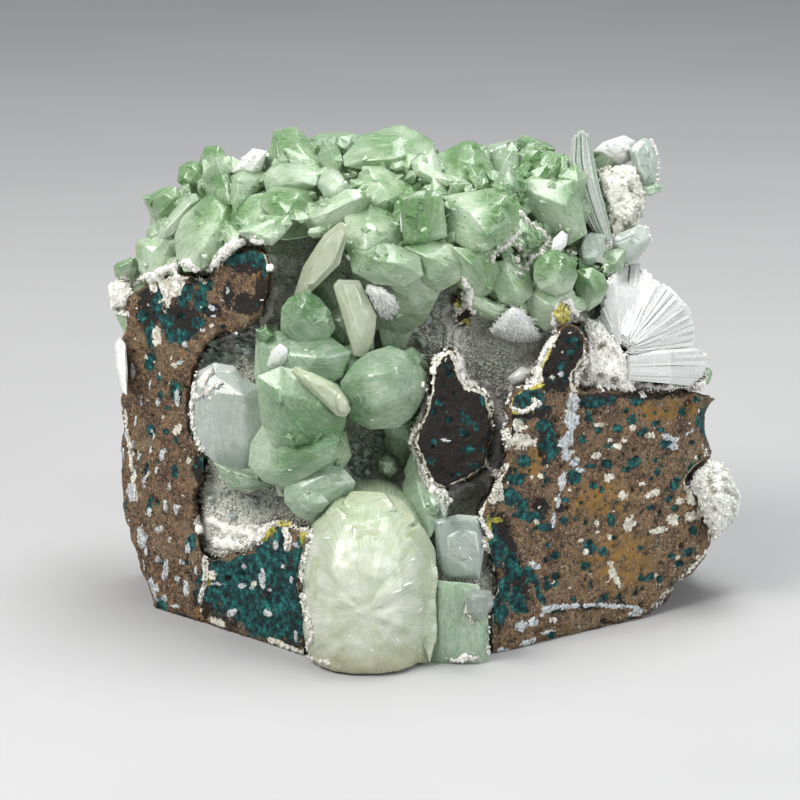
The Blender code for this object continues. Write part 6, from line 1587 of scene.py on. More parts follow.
gem_group("side_crystal", [
    dict(o=[(436, 580), (478, 584), (488, 602), (489, 648), (486, 674), (440, 684), (426, 660), (430, 610)], dy=0, th=16),
    dict(o=[(440, 588), (458, 582), (466, 600), (462, 640), (446, 650), (438, 620)], dy=-1.6, th=6, bevel=0.6, table=0.7),
    dict(o=[(462, 622), (478, 614), (486, 634), (482, 656), (466, 656)], dy=-1.4, th=6, bevel=0.6, table=0.7),
], [(0.35, .35, .4), (0.3, .25, .4), (0.3, .45, .3)], DEEP, "green_side_crystal", sub=0, seed=9)
gem_group("tuft_crystal", [
    dict(o=[(402, 484), (416, 456), (430, 478), (440, 492), (452, 500), (436, 520), (430, 538), (416, 524), (404, 504)], dy=-1, th=14,
         tips=[(416, 480, 2.0), (424, 508, 2.5)]),
    dict(o=[(404, 470), (412, 448), (418, 446), (424, 470), (420, 496), (408, 498)], dy=-2.0, th=6, tips=[(414, 460, 1.0), (415, 484, 1.2)]),
    dict(o=[(418, 492), (434, 486), (446, 500), (436, 516), (422, 512)], dy=-2.2, th=6, tips=[(430, 498, 1.2), (434, 506, 1.2)]),
], [(0.35, .15, .3), (0.5, .3, .1), (0.3, .1, .4)], DEEP, "green_tuft_crystal", sub=5, seed=10)
gem_group("clear_low", [
    dict(o=[(464, 596), (474, 588), (492, 590), (494, 604), (482, 622), (468, 614)], dy=-5, th=8),
    dict(o=[(468, 606), (484, 590), (490, 594), (476, 612)], dy=-5.8, th=4, bevel=0.6, table=0.6),
    dict(o=[(474, 614), (490, 598), (494, 604), (482, 620)], dy=-5.6, th=4, bevel=0.6, table=0.6),
], [(0.3, 0, .3)], CLEAR, "clear_crystals_low", sub=2, seed=11)
gem_group("clear_point", [
    dict(o=[(439, 506), (443, 503), (449, 508), (446, 519), (443, 520)], dy=-4, th=8, drop=-6),
], [(0.0, 0, .2)], CLEAR, "clear_quartz_point", sub=0, seed=12)
gem_group("blade_upper", [
    dict(o=[(324, 234), (341, 221), (348, 226), (346, 240), (340, 264), (322, 280), (303, 300), (292, 300), (303, 266)], dy=-3.5, th=7, bevel=1.0),
    dict(o=[(326, 240), (340, 228), (345, 234), (334, 262), (314, 284), (304, 286)], dy=-4.2, th=4, bevel=0.5, table=0.75),
], [(0.35, 0, .3)], PALE, "pale_blade_upper", sub=0, seed=13)
gem_group("blade_lower", [
    dict(o=[(333, 286), (338, 279), (360, 280), (366, 300), (377, 316), (375, 335), (369, 350), (365, 358), (354, 356), (350, 334), (341, 304)], dy=-5, th=9, bevel=1.2),
    dict(o=[(342, 284), (356, 284), (364, 304), (368, 330), (362, 346), (356, 330), (350, 306)], dy=-6.0, th=4, bevel=0.4, table=0.75),
], [(0.25, 0, .3)], PALE, "pale_blade_lower", sub=0, seed=14)
gem_group("rod_crystal", [
    dict(o=[(290, 371), (296, 366), (334, 383), (346, 397), (351, 410), (346, 417), (337, 416), (310, 391)], dy=-7.5, th=6, bevel=1.2, drop=2),
    dict(o=[(300, 374), (312, 376), (338, 392), (346, 406), (338, 410), (318, 390)], dy=-8.2, th=4, bevel=0.5, table=0.8),
    dict(o=[(334, 398), (340, 392), (349, 404), (347, 414), (340, 413)], dy=-8.8, th=4, bevel=0.6, table=0.6),
], [(0.5, 0, .1), (0.5, 0, .1), (0.0, 0, .6)], PALE, "pale_rod", sub=0, seed=15)
gem_group("leaf", [
    dict(o=[(629, 150), (636, 142), (645, 137), (653, 142), (658, 155), (659, 178), (655, 184), (646, 189), (638, 184), (633, 168)], dy=-2, th=8, bevel=1.2),
    dict(o=[(634, 150), (644, 142), (650, 150), (652, 172), (644, 182), (638, 170)], dy=-3.2, th=4, bevel=0.5, table=0.8),
], [(0.45, .1, .4)], GREYC, "leaf_crystal", sub=5, seed=16)
gem_group("teal_tips", [
    dict(o=[(639, 187), (648, 188), (657, 183), (665, 185), (662, 192), (651, 196), (642, 198)], dy=-1.5, th=7, bevel=0.8, drop=0),
    dict(o=[(652, 184), (658, 182), (662, 188), (656, 192)], dy=-2.2, th=4, bevel=0.6, table=0.5),
], [(0.5, .5, .4)], DEEP, "teal_tip_crystal", sub=3, seed=17)
gem_group("disc", [
    dict(o=[(609, 238), (628, 232), (638, 225), (647, 226), (651, 239), (646, 250), (637, 260), (626, 265), (614, 262), (608, 252)], dy=-4, th=9, bevel=1.0, drop=2),
    dict(o=[(614, 244), (632, 236), (642, 242), (638, 254), (624, 260)], dy=-5.0, th=4, bevel=0.6, table=0.7),
], [(0.1, 0, .5)], GREYC, "disc_crystal", sub=3, seed=18)
gem_group("small_green", [
    dict(o=[(703, 366), (709, 366), (713, 373), (709, 384), (702, 386), (699, 376)], dy=-1, th=8, bevel=0.8, drop=0),
], [(0.5, .2, .2)], DEEP, "small_green_crystal", sub=2, seed=19)
# ================================================================== DRUSE LINING AND ITS GRAINS
lining = remeshed(welded("druse_lining", "druse_crust"), 1.0)
co = coords(lining.data) / MM
nor = normals(lining.data)
U, V = sheet_np(co)
knob = field(co, 4.2, 2, 3.3)
grain_n = field(co, 1.5, 2, 8.1)
outer = smooth(nor[:, 1] * -1.0, -0.2, 0.5)
co2 = co + nor * (0.45 * knob + 0.22 * grain_n)[:, None]
co2 = np.clip(co2, np.array(CAD_BOX[0]) / MM + 0.02, np.array(CAD_BOX[1]) / MM - 0.02)
set_coords(lining.data, co2 * MM)
# soft tones over the sheet: pale near the crystals' feet, olive-grey and dark in the pockets, the dark there being
# painted shade
PALE_AREA = [
    (236, 342, 38, 24, -20, 1.2), (216, 372, 22, 14, 0, 1.0), (250, 310, 16, 26, 0, .8), (350, 300, 20, 30, 0, .5), (480, 320, 20, 14, 0, .5), (240, 540, 40, 16, 0, 1.0), (222, 530, 24, 20, 0, 1.0), (280, 505, 26, 8, 0, .7), (254, 488, 20, 10, 0, .4),
    (268, 250, 12, 20, 0, .8), (275, 290, 10, 24, 0, .8), (440, 330, 10, 24, 0, .8), (470, 300, 24, 10, 0, .6), (520, 375, 18, 12, 0, .6), (500, 480, 12, 20, 0, .3),
    (430, 500, 30, 12, 0, .9), (480, 650, 10, 10, 0, .8), (545, 320, 16, 10, 0, .6), (412, 310, 14, 16, 0, .4), (310, 240, 16, 8, 0, .4), (200, 556, 10, 16, 0, .8),
]
DARK_SHADE_AREA = [
    (300, 248, 26, 16, 0, .7), (304, 262, 14, 12, 0, .8), (320, 300, 12, 10, 0, .6), (376, 330, 8, 12, 0, .8), (428, 330, 18, 26, 0, .6), (414, 350, 14, 8, 0, .7), (494, 356, 30, 24, 0, .75),
    (504, 372, 20, 10, 0, .85), (370, 446, 30, 24, 0, .8), (352, 440, 12, 20, 0, .6), (232, 372, 20, 10, 0, .3), (246, 360, 10, 12, 0, .5), (200, 470, 12, 30, 0, .4),
    (228, 494, 30, 3, 0, .8), (232, 506, 30, 2.5, 0, .7), (226, 518, 30, 2.5, 0, .7), (490, 470, 14, 26, 0, .9), (472, 596, 14, 12, 0, .7), (478, 640, 14, 20, 0, .6), (484, 500, 10, 10, 0, .8),
]
wob = field(co, 2.5, 2, 51.0)
front = smooth(-nor[:, 1] + nor[:, 2] * 0.3, -0.1, 0.4) * smooth(14.0 - co[:, 1], 0.0, 6.0)
pale_f = np.maximum(spot_paint(U, V, PALE_AREA, wob) * front, (1 - front) * np.clip(0.45 + 0.5 * knob, 0, 1))
# painted shade in the pockets on the front; a random darker tone on the back
dark_and_shade_f = np.maximum(spot_paint(U, V, DARK_SHADE_AREA, wob) * front, (1 - front) * np.clip(0.1 + 0.35 * wob, 0, 1))
rim_d, rim_pale = crust_near(U, V, wob)
rim_f = smooth(rim_d, -0.8, 0.1) * front * rim_pale
pale_f = np.maximum(pale_f, rim_f)
dark_and_shade_f = dark_and_shade_f * (1 - rim_f)
put_attr(lining.data, "tone", np.stack([pale_f, dark_and_shade_f, np.clip(0.5 + grain_n * 0.5, 0, 1), front], 1), "FLOAT_COLOR")
smooth_shade(lining.data)

m = Mat("druse")
t_pale, t_dark_shade, t_n = m.split(m.attr("tone"))
n1, n2 = m.noise(900, 4, 0.65), m.noise(2600, 3, 0.6)
cells = m.voronoi(2100, 'F1')
col = m.ramp(n1, [(0.3, lin(150, 153, 136)), (0.5, lin(194, 196, 182)), (0.7, lin(226, 227, 217))])
col = m.mix(m.band(n2, 0.52, 0.66), col, lin(208, 210, 200))
col = m.mix(m.math('MULTIPLY', m.band(n2, 0.44, 0.34), 0.5), col, lin(104, 108, 88))
# olive-grey darkening: painted shade in the pockets
col = m.mix(m.math('MULTIPLY', t_dark_shade, 0.6), col, m.mix(m.band(n2, 0.5, 0.62), lin(96, 100, 82), lin(168, 170, 154)))
col = m.mix(m.math('MULTIPLY', t_pale, 0.85), col, m.mix(m.band(n2, 0.40, 0.56), lin(176, 176, 162), lin(236, 236, 228)))
bn = m.bump(cells, 0.7, 0.0006)
bn = m.bump(n2, 0.5, 0.0004, bn)
m.set(color=col, rough=m.band(n1, 0.3, 0.7, 0.35, 0.65, 'LINEAR'), normal=bn, spec=0.5)
finish_piece(lining, m.mat, ("druse_lining",))


def tree_of_meshes(obs):
    vs, fs = [], []
    for o in obs:
        n = len(vs)
        c = coords(o.data) / MM
        vs += [tuple(x) for x in c]
        fs += [tuple(n + j for j in p.vertices) for p in o.data.polygons]
    return BVHTree.FromPolygons(vs, fs)


LINING_BVH = tree_of_meshes([lining])
COVER = [o for o in bpy.data.objects if o.type == 'MESH' and o.name.split("_")[0] in
         ("green", "cavity", "vug", "plate", "wedge", "pane", "side", "tuft", "blade")] + [NODES["pale_apophyllite_ball"], NODES["stilbite_crust"], NODES["zeolite_grain_mass"], NODES["stilbite_fan"]]
COVER_BVH = tree_of_meshes(COVER)
ALL_BVH = tree_of_meshes([rock, lining] + COVER)

# triangle areas of the lining for scattering
me = lining.data
me.calc_loop_triangles()
tri = np.empty(len(me.loop_triangles) * 3, np.int32)
me.loop_triangles.foreach_get("vertices", tri)
tri = tri.reshape(-1, 3)
P = coords(me) / MM
N = normals(me)
a, b, c = P[tri[:, 0]], P[tri[:, 1]], P[tri[:, 2]]
cr = np.cross(b - a, c - a)
area = np.linalg.norm(cr, axis=1) * 0.5
fn = cr / (2 * area[:, None] + 1e-12)
mid = (a + b + c) / 3
cu, cv = sheet_np(mid)
way = np.array(EYE) - mid
way /= np.linalg.norm(way, axis=1)[:, None]
look_front = ((fn * way).sum(1) > -0.05) & (mid[:, 1] < 16)
# the side against the rock is skipped
centre_line = np.stack([np.full(len(mid), -3.0), np.full(len(mid), 16.0), mid[:, 2] * 0.7], 1)
outward = ((mid - centre_line) * fn).sum(1) > 0
gr = np.random.default_rng(5)


def scatter(mask, density, size_lo, size_hi, name, limit, seed, shape=POINT4, skew=2.0):
    w = area * mask
    n = int(min(limit * 2.2, w.sum() * density))
    pick = gr.choice(len(area), n, p=w / w.sum())
    r1, r2 = np.sqrt(gr.uniform(0, 1, n)), gr.uniform(0, 1, n)
    pts = a[pick] * (1 - r1)[:, None] + b[pick] * (r1 * (1 - r2))[:, None] + c[pick] * (r1 * r2)[:, None]
    nn = fn[pick]
    keep = []
    for i in range(n):
        p, q = Vector(pts[i]), Vector(nn[i])
        hit = COVER_BVH.ray_cast(p + q * 0.05, q, 1.2)
        if hit[0] is None:
            keep.append(i)
        if len(keep) >= limit:
            break
    keep = np.array(keep)
    return pts[keep], nn[keep], pick[keep]


tone_v = np.stack([pale_f, dark_and_shade_f], 1)
tone_t = tone_v[tri].mean(1)
grains = []
for mask, dens, lo_s, hi_s, limit, nm in ((look_front & outward, 3.0, 0.28, 0.66, 10000, "druse_grains_front"),
                                          ((~look_front) & outward, 0.9, 0.45, 1.05, 4200, "druse_grains_back")):
    pts, nn, pick = scatter(mask, dens, lo_s, hi_s, nm, limit, 3)
    n = len(pts)
    size = lo_s + (hi_s - lo_s) * gr.uniform(0, 1, n) ** 2
    mats3 = frames_for(nn, gr, 0.45, size * 0.5, size * gr.uniform(0.35, 0.6, n), size * gr.uniform(0.7, 1.4, n))
    tint = np.zeros((n, 4))
    tint[:, 0] = np.clip(tone_t[pick, 0] + gr.normal(0, 0.25, n), 0, 1)
    # second channel: the lining's painted pocket shade, so grains in the hollows come out darker
    tint[:, 1] = np.clip(tone_t[pick, 1] + gr.normal(0, 0.2, n), 0, 1)
    tint[:, 2] = gr.uniform(0, 1, n)
    tint[:, 3] = 1
    pts = np.clip(pts, np.array(CAD_BOX[0]) / MM + 1.3, np.array(CAD_BOX[1]) / MM - 1.3)
    ob = many(nm, POINT4, pts, mats3, tint, 0.12, 8)
    grains.append(ob)

m = Mat("druse_grain")
g_pale, g_dark_shade, g_rnd = m.split(m.attr("tint"))
nz = m.noise(2400, 2)
col = m.mix(m.band(g_rnd, 0.15, 0.85), lin(176, 180, 166), lin(234, 235, 228))
# grains in the pockets darkened: painted shade
col = m.mix(m.math('MULTIPLY', g_dark_shade, 0.5), col, m.mix(g_rnd, lin(104, 110, 92), lin(190, 194, 180)))
col = m.mix(m.math('MULTIPLY', g_pale, 0.9), col, m.mix(g_rnd, lin(206, 206, 194), lin(240, 241, 236)))
col = m.mix(m.band(nz, 0.5, 0.62, 0, 0.35), col, lin(232, 234, 228))
m.set(color=col, rough=m.band(nz, 0.3, 0.7, 0.10, 0.35, 'LINEAR'), spec=0.6, trans=0.25, ior=1.54)
GRAIN = m.mat
for ob in grains:
    finish_piece(ob, GRAIN)
# ================================================================== PALE BALL
ball = remeshed(welded("pale_apophyllite_ball", "pale_ball"), 0.62)
co = coords(ball.data) / MM
nor = normals(ball.data)
U, V = sheet_np(co)
hub_u, hub_v = 366.0, 612.0
ang = np.arctan2(V - hub_v, U - hub_u)
rad = np.hypot(U - hub_u, V - hub_v) * 0.19
ring = np.stack([np.cos(ang) * 10.0, np.sin(ang) * 10.0, rad * 0.10], 1)
ray = field(ring, 1.0, 3, 4.0)
ray2 = field(np.stack([np.cos(ang) * 5.0, np.sin(ang) * 5.0, rad * 0.5], 1), 1.0, 2, 14.0)
shell = field(co, 5.5, 2, 12.0)
step = np.floor((rad + 2.2 * ray2) / 2.6)
blade_ = field(np.stack([np.cos(ang) * 3.2, np.sin(ang) * 3.2, rad * 0.16], 1), 1.0, 1, 24.0)
lift = 0.14 * ray * smooth(rad, 1.0, 6.0) + 0.30 * np.abs(blade_) ** 0.7 * np.sign(blade_) + 0.25 * ray2 + 0.12 * shell
out = co + nor * (lift * smooth(co[:, 2], 0.4, 3.0))[:, None]
out = np.clip(out, np.array(CAD_BOX[0]) / MM + 0.02, np.array(CAD_BOX[1]) / MM - 0.02)
out[:, 2] = np.maximum(out[:, 2], 0.3)
set_coords(ball.data, out * MM)
put_attr(ball.data, "ringpos", ring, "FLOAT_VECTOR")
top_green = smooth(560.0 - V + 10 * shell, 0.0, 60.0) + smooth(U - 405.0, 0.0, 30.0) * 0.5
low = smooth(V + 20 * shell, 630.0, 668.0)
put_attr(ball.data, "shade", np.stack([np.clip(0.15 + 0.6 * top_green, 0, 1), np.clip(0.5 + 0.5 * shell, 0, 1), np.clip(0.22 * low, 0, 1), np.clip(0.35 - 0.3 * top_green, 0, 1)], 1), "FLOAT_COLOR")
smooth_shade(ball.data, 40)
m = Mat("ball_silk")
rp = m.attr("ringpos", "Vector")
bs = m.node("ShaderNodeAttribute", attribute_name="shade")
b_sat, b_var, b_low = m.split(bs.outputs["Color"])
r1 = m.noise(1.0, 4, 0.62, vec=m.stretch(1.5, 1.5, 1.2, rp))
r2 = m.noise(1.0, 3, 0.6, vec=m.stretch(5.0, 5.0, 2.6, rp))
bm_ = m.noise(260, 4, 0.6)
col = m.mix(m.band(bm_, 0.35, 0.65), lin(200, 206, 182), lin(226, 228, 214))
col = m.mix(m.math('MULTIPLY', b_sat, 0.75), col, lin(168, 200, 152))
col = m.mix(m.band(r1, 0.50, 0.32, 0, 0.26), col, lin(164, 180, 138))
col = m.mix(m.band(r2, 0.50, 0.70, 0, 0.4), col, lin(232, 236, 220))
col = m.mix(m.band(r2, 0.44, 0.30, 0, 0.16), col, lin(158, 172, 132))
col = m.mix(m.math('MULTIPLY', b_low, 3.0, clamp=True), col, m.mix(r1, lin(150, 150, 96), lin(206, 206, 168)))
bn = m.bump(r1, 0.28, 0.0006)
bn = m.bump(r2, 0.2, 0.0003, bn)
m.set(color=col, rough=m.band(r2, 0.3, 0.7, 0.18, 0.42, 'LINEAR'), trans=0.30, ior=1.535, normal=bn, spec=0.5, coat=0.15, coat_rough=0.15)
m.absorb((0.86, 0.90, 0.70), 16.0)
finish_piece(ball, m.mat, ("pale_apophyllite_ball",))
BALL_BVH = tree_of_meshes([ball])

WHITE = crystal_material("stilbite_white", lin(238, 238, 234), lin(220, 222, 216), lin(170, 170, 160), lin(226, 230, 232),
                         trans=(0.18, 0.30), absorb=(0.96, 0.97, 0.95), density=8.0, rough=(0.20, 0.38), veil=0.8, use_tone=False)
ALL_BVH = tree_of_meshes([rock, lining, ball] + [o for o in COVER if o.name in bpy.data.objects and not o.name.startswith("pale_apo")])


def lay_gem(outline, tree, lift=0.2, th=2.0, bevel=0.4, table=0.6, face=0.5):
    """Corners of a small crystal lying on whatever the sheet position shows."""
    uc, vc = centre(outline)
    hit = cast(tree, uc, vc)
    if hit[0] is None:
        return None
    view = (Vector(EYE) - hit[0]).normalized()
    n = (hit[1] * (1 - face) + view * face).normalized()
    o = hit[0] + n * lift
    pts = []
    for k, h in ((1.0, 0.0), (0.9, -th), (table, bevel)):
        for u, v in outline:
            d = Vector(direction(uc + (u - uc) * k, vc + (v - vc) * k))
            t = (o - Vector(EYE)).dot(n) / d.dot(n)
            pts.append(Vector(EYE) + d * t + n * h)
    return pts


def lay_group(name, outlines, tree, mat, look=(0.1, 0, .2), seed=1, replaces=(), slot=None, bevel=0.05, **kw):
    obs = []
    for i, o in enumerate(outlines):
        pts = lay_gem(o, tree, **kw)
        if pts is None or min(p[2] for p in pts) < 0.2:
            continue
        bm = hull_mesh(pts, bevel)
        tag_crystal(bm, axis_of(o), look[0], look[1], look[2], seed * 50 + i)
        obs.append(to_object("l%03d" % i, bm))
    ob = joined(name, obs)
    smooth_shade(ob.data, 24)
    return finish_piece(ob, mat, replaces)


# facets on the ball; then thin white slivers laid where glints show, as painted highlights, on the ball, the crown and
# the vug
lay_group("ball_facets", [
    [(340, 503), (350, 489), (386, 491), (398, 508), (374, 524), (350, 518)], [(386, 492), (404, 500), (418, 520), (402, 532), (388, 514)],
    [(318, 524), (336, 504), (350, 516), (338, 540), (322, 546)], [(402, 534), (422, 522), (436, 548), (438, 584), (424, 600), (412, 566)],
    [(310, 560), (322, 548), (328, 580), (316, 604), (308, 588)], [(422, 604), (436, 590), (438, 632), (430, 664), (420, 640)],
    [(352, 524), (378, 526), (392, 540), (372, 556), (350, 546)],
], BALL_BVH, PALE, (0.5, 0, .1), 31, lift=-0.5, th=2.4, bevel=0.7, table=0.72, face=0.25)
glint_outlines = []
# painted glints: u, v, length, width, turn of each white sliver
for u, v, l, w, t in [(328, 538, 7, 1.2, 0), (368, 528, 6, 1.2, -60), (405, 585, 16, 1.2, -20), (396, 592, 12, 1.0, -20), (352, 560, 5, .8, -70), (380, 610, 5, .8, 20), (340, 600, 5, .7, 40),
                      (412, 560, 8, .9, -30), (372, 650, 5, .8, 60), (350, 636, 4, .8, 10), (398, 640, 5, .8, 70), (330, 620, 4, .7, 30), (420, 610, 6, .7, -50), (268, 155, 12, 2.0, -15),
                      (434, 193, 3, 1.6, 80), (461, 200, 5, 1.2, 60), (349, 258, 8, 2.2, 45), (401, 220, 24, 1.0, 88), (448, 215, 10, .6, -30), (300, 160, 7, .8, 50), (560, 225, 6, .8, 80),
                      (472, 190, 10, .8, -15), (262, 300, 4, 1.0, 0), (372, 420, 3, .8, 0), (306, 350, 4, .8, 20), (312, 352, 3, .8, -20), (430, 398, 6, 1.2, 45), (290, 470, 4, .8, 0),
                      (352, 468, 7, 1.0, 30), (560, 262, 5, .8, -70), (600, 270, 7, 1.0, -25), (606, 265, 6, 1.0, 10), (470, 558, 8, 1.0, 50), (460, 548, 5, .8, 70), (238, 380, 4, 1.0, 0), (210, 398, 4, 2.2, 0), (216, 394, 3, 2.0, 0)]:
    c, s = math.cos(math.radians(t)), math.sin(math.radians(t))
    glint_outlines.append([(u + x * c - y * s, v + x * s + y * c) for x, y in ((-l / 2, -w * .4), (0, -w), (l / 2, -w * .5), (l / 2, w * .4), (0, w), (-l / 2, w * .5))])
obs = []
for i, o in enumerate(glint_outlines):
    pts = lay_gem(o, ALL_BVH, lift=0.02, th=0.6, bevel=0.12, table=0.7, face=0.6)
    if pts is not None:
        bm = hull_mesh(pts, 0.0)
        tag_crystal(bm, (0, 0, 1), 0.0, 0, 0.1, i)
        obs.append(to_object("sl%02d" % i, bm))
slivers = joined("bright_slivers", obs)
finish_piece(slivers, WHITE)

# ================================================================== WHITE CRUST
gr = np.random.default_rng(21)
cp, cn, cs, ct = [], [], [], []
for line, hw, dens, pale, up in CRUST:
    seg = [math.hypot(b[0] - a[0], b[1] - a[1]) for a, b in zip(line, line[1:])]
    total = sum(seg)
    for _ in range(int(total * dens * (0.5 + hw * 0.13))):
        s = gr.uniform(0, total)
        k = 0
        while k < len(seg) - 1 and s > seg[k]:
            s -= seg[k]
            k += 1
        t = s / (seg[k] + 1e-9)
        wide = hw * (0.55 + 0.75 * (0.5 + 0.5 * noise.noise((line[k][0] * 0.13 + s * 0.11, line[k][1] * 0.13, hw))))
        r, a_ = abs(gr.normal(0, 0.55)) * wide, gr.uniform(0, 6.283)
        if r > wide * 1.15:
            continue
        u = line[k][0] + (line[k + 1][0] - line[k][0]) * t + r * math.cos(a_)
        v = line[k][1] + (line[k + 1][1] - line[k][1]) * t + r * math.sin(a_)
        hit = cast(ALL_BVH, u, v)
        if hit[0] is None:
            continue
        view = (Vector(EYE) - hit[0]).normalized()
        n = (hit[1] + view * 0.6).normalized()
        big = (0.13 + 0.40 * gr.uniform(0, 1) ** 2.2) * (1.25 - 0.5 * r / wide)
        p = hit[0] + n * (up * (1.0 - (r / wide) ** 2) * gr.uniform(0.2, 1.0) + 0.05)
        cp.append(list(p))
        cn.append(list(n))
        cs.append(big)
        ct.append((min(1.0, max(0.0, pale + gr.normal(0, 0.12))), gr.uniform(0, 1), 0, 1))
cp, cn, cs, ct = np.array(cp), np.array(cn), np.array(cs), np.array(ct)
lo_, hi_ = np.array(CAD_BOX[0]) / MM + 0.6, np.array(CAD_BOX[1]) / MM - 0.6
ok = np.all((cp > lo_) & (cp < hi_), axis=1)
order_ = gr.permutation(np.where(ok)[0])
cp, cn, cs, ct = cp[order_], cn[order_], cs[order_], ct[order_]
half = gr.uniform(0, 1, len(cp)) < 0.55
crust_a = many("white_crust_lumps", LUMP, cp[half][:4200], frames_for(cn[half], gr, 0.5, cs[half], cs[half] * 0.8, cs[half] * 0.7)[:4200], ct[half][:4200], 0.22, 4)
crust_b = many("white_crust_needles", POINT4, cp[~half][:5200], frames_for(cn[~half], gr, 0.55, cs[~half] * 0.42, cs[~half] * 0.30, cs[~half] * 1.25)[:5200], ct[~half][:5200], 0.15, 6)
m = Mat("zeolite_crust")
c_pale, c_rnd, _c = m.split(m.attr("tint"))
nz = m.noise(1700, 3)
col = m.mix(m.band(nz, 0.35, 0.65), lin(206, 200, 182), lin(238, 236, 228))
col = m.mix(m.math('MULTIPLY', m.band(c_rnd, 0.6, 1.0), 0.5), col, lin(226, 218, 190))
col = m.mix(c_pale, m.mix(c_rnd, lin(150, 152, 138), lin(204, 206, 196)), m.mix(0.55, col, lin(248, 247, 243)))
m.set(color=col, rough=m.band(nz, 0.3, 0.7, 0.35, 0.6, 'LINEAR'), spec=0.5, trans=0.12, ior=1.5)
CRUST_MAT = m.mat
for ob in (crust_a, crust_b):
    finish_piece(ob, CRUST_MAT)
# ================================================================== STILBITE AND THE RIGHT SIDE
def tubes(name, paths, tints, seed=1):
    """Joined four-sided slats; a path is a list of (point mm, half width, half thickness, side vector, depth vector)."""
    vs, fs, tt = [], [], []
    for path, tint in zip(paths, tints):
        n0 = len(vs)
        for p, w, t, sd, dv in path:
            for a, b in ((-1, -1), (1, -1), (1, 1), (-1, 1)):
                vs.append(tuple((Vector(p) + sd * (a * w) + dv * (b * t)) * MM))
                tt.append(tint)
        k = len(path)
        fs.append((n0 + 3, n0 + 2, n0 + 1, n0))
        for i in range(k - 1):
            for q in range(4):
                r = (q + 1) % 4
                fs.append((n0 + 4 * i + q, n0 + 4 * i + r, n0 + 4 * i + 4 + r, n0 + 4 * i + 4 + q))
        e = n0 + 4 * (k - 1)
        fs.append((e, e + 1, e + 2, e + 3))
    me = bpy.data.meshes.new(name)
    me.from_pydata(vs, [], fs)
    bm = bmesh.new()
    bm.from_mesh(me)
    bmesh.ops.recalc_face_normals(bm, faces=bm.faces)
    bm.to_mesh(me)
    bm.free()
    put_attr(me, "tint", np.array(tt), "FLOAT_COLOR", "POINT")
    return link(bpy.data.objects.new(name, me))


def silk_material(name, light, shade_c, trans, rough=(0.15, 0.35)):
    """Silky striated zeolite with a tint along each rod."""
    m = Mat(name)
    t_pale, t_rnd, t_green = m.split(m.attr("tint"))
    n1 = m.noise(1400, 3)
    col = m.mix(t_rnd, shade_c, light)
    col = m.mix(m.math('MULTIPLY', t_green, 0.9), col, lin(150, 186, 150))
    col = m.mix(m.band(n1, 0.50, 0.70, 0, 0.5), col, lin(246, 246, 242))
    col = m.mix(m.math('MULTIPLY', t_pale, 0.9), col, lin(244, 244, 240))
    bn = m.bump(n1, 0.2, 0.0003)
    m.set(color=col, rough=m.band(n1, 0.3, 0.7, rough[0], rough[1], 'LINEAR'), trans=trans, ior=1.5, normal=bn, spec=0.55)
    return m.mat


SILK = silk_material("stilbite_silk", lin(236, 237, 234), lin(196, 202, 200), 0.22)
BLADE = silk_material("blade_silk", lin(226, 232, 224), lin(188, 202, 192), 0.35)
tr = random.Random(5)


def on_line(points, t):
    seg = [math.hypot(b[0] - a[0], b[1] - a[1]) for a, b in zip(points, points[1:])]
    s = t * sum(seg)
    for k, l in enumerate(seg):
        if s <= l or k == len(seg) - 1:
            q = s / (l + 1e-9)
            a, b = points[k], points[k + 1]
            return (a[0] + (b[0] - a[0]) * q, a[1] + (b[1] - a[1]) * q)
        s -= l


# the fan
HUB = (622, 352)
RIM = [(601, 318), (604, 292), (609, 278), (626, 265), (637, 266), (650, 278), (658, 285), (670, 288), (675, 298), (687, 309), (691, 331), (690, 350), (672, 356)]
paths, tints = [], []
for layer, count, back, reach_ in ((0, 110, 0.0, (0.86, 0.99)), (1, 96, 0.7, (0.95, 1.0)), (2, 64, 3.2, (0.90, 0.98)), (3, 50, 6.4, (0.84, 0.95)), (4, 40, 10.0, (0.74, 0.88))):
    for i in range(count):
        t = (i + tr.uniform(-0.3, 0.3) + 0.5) / count
        ru, rv = on_line(RIM, min(1, max(0, t)))
        k = tr.uniform(*reach_)
        if layer == 0 and tr.random() < 0.15:
            k *= tr.uniform(0.7, 0.95)
        y_end = skin(ru, rv) + 0.8 + back + tr.uniform(-0.18, 0.18)
        end = at(HUB[0] + (ru - HUB[0]) * k, HUB[1] + (rv - HUB[1]) * k, y_end)
        st_k = 0.10 + 0.10 * tr.random()
        start = at(HUB[0] + (ru - HUB[0]) * st_k, HUB[1] + (rv - HUB[1]) * st_k, -6.6 + back * 0.9)
        d = (end - start).normalized()
        dv = Vector((0.05, 1.0, -0.1)).normalized()
        sd = d.cross(dv).normalized()
        dv = sd.cross(d).normalized()
        w1 = (0.36 if layer == 0 else 0.55 if layer == 1 else 0.75) * tr.uniform(0.75, 1.25)
        mid = start.lerp(end, 0.55) - dv * 0.25
        th_ = tr.uniform(0.8, 1.3) + 0.4 * (layer > 1)
        paths.append([(start, 0.12, 0.5, sd, dv), (mid, w1 * 0.62, th_, sd, dv), (end, w1, th_ * 0.9, sd, dv)])
        tints.append((1.0 if tr.random() < 0.22 else 0.12, tr.random() ** 0.6, 0.0, 1))
fan = tubes("stilbite_fan_rods", paths, tints)
fan_core = hull_mesh([at(HUB[0] + (u - HUB[0]) * q, HUB[1] + (v - HUB[1]) * q, skin(u, v) * (q > .5) + (1 - (q > .5)) * -5 + dd) for u, v in RIM for q, dd in ((0.90, 1.9), (0.78, 12.5), (0.2, 0.6), (0.2, 8.0))], 0.2)
fc = to_object("fan_core", fan_core)
put_attr(fc.data, "tint", np.tile([0.1, 0.5, 0, 1], (len(fc.data.vertices), 1)), "FLOAT_COLOR")
fan = joined("stilbite_fan_rods", [fan, fc])
finish_piece(fan, SILK, ("stilbite_fan",))

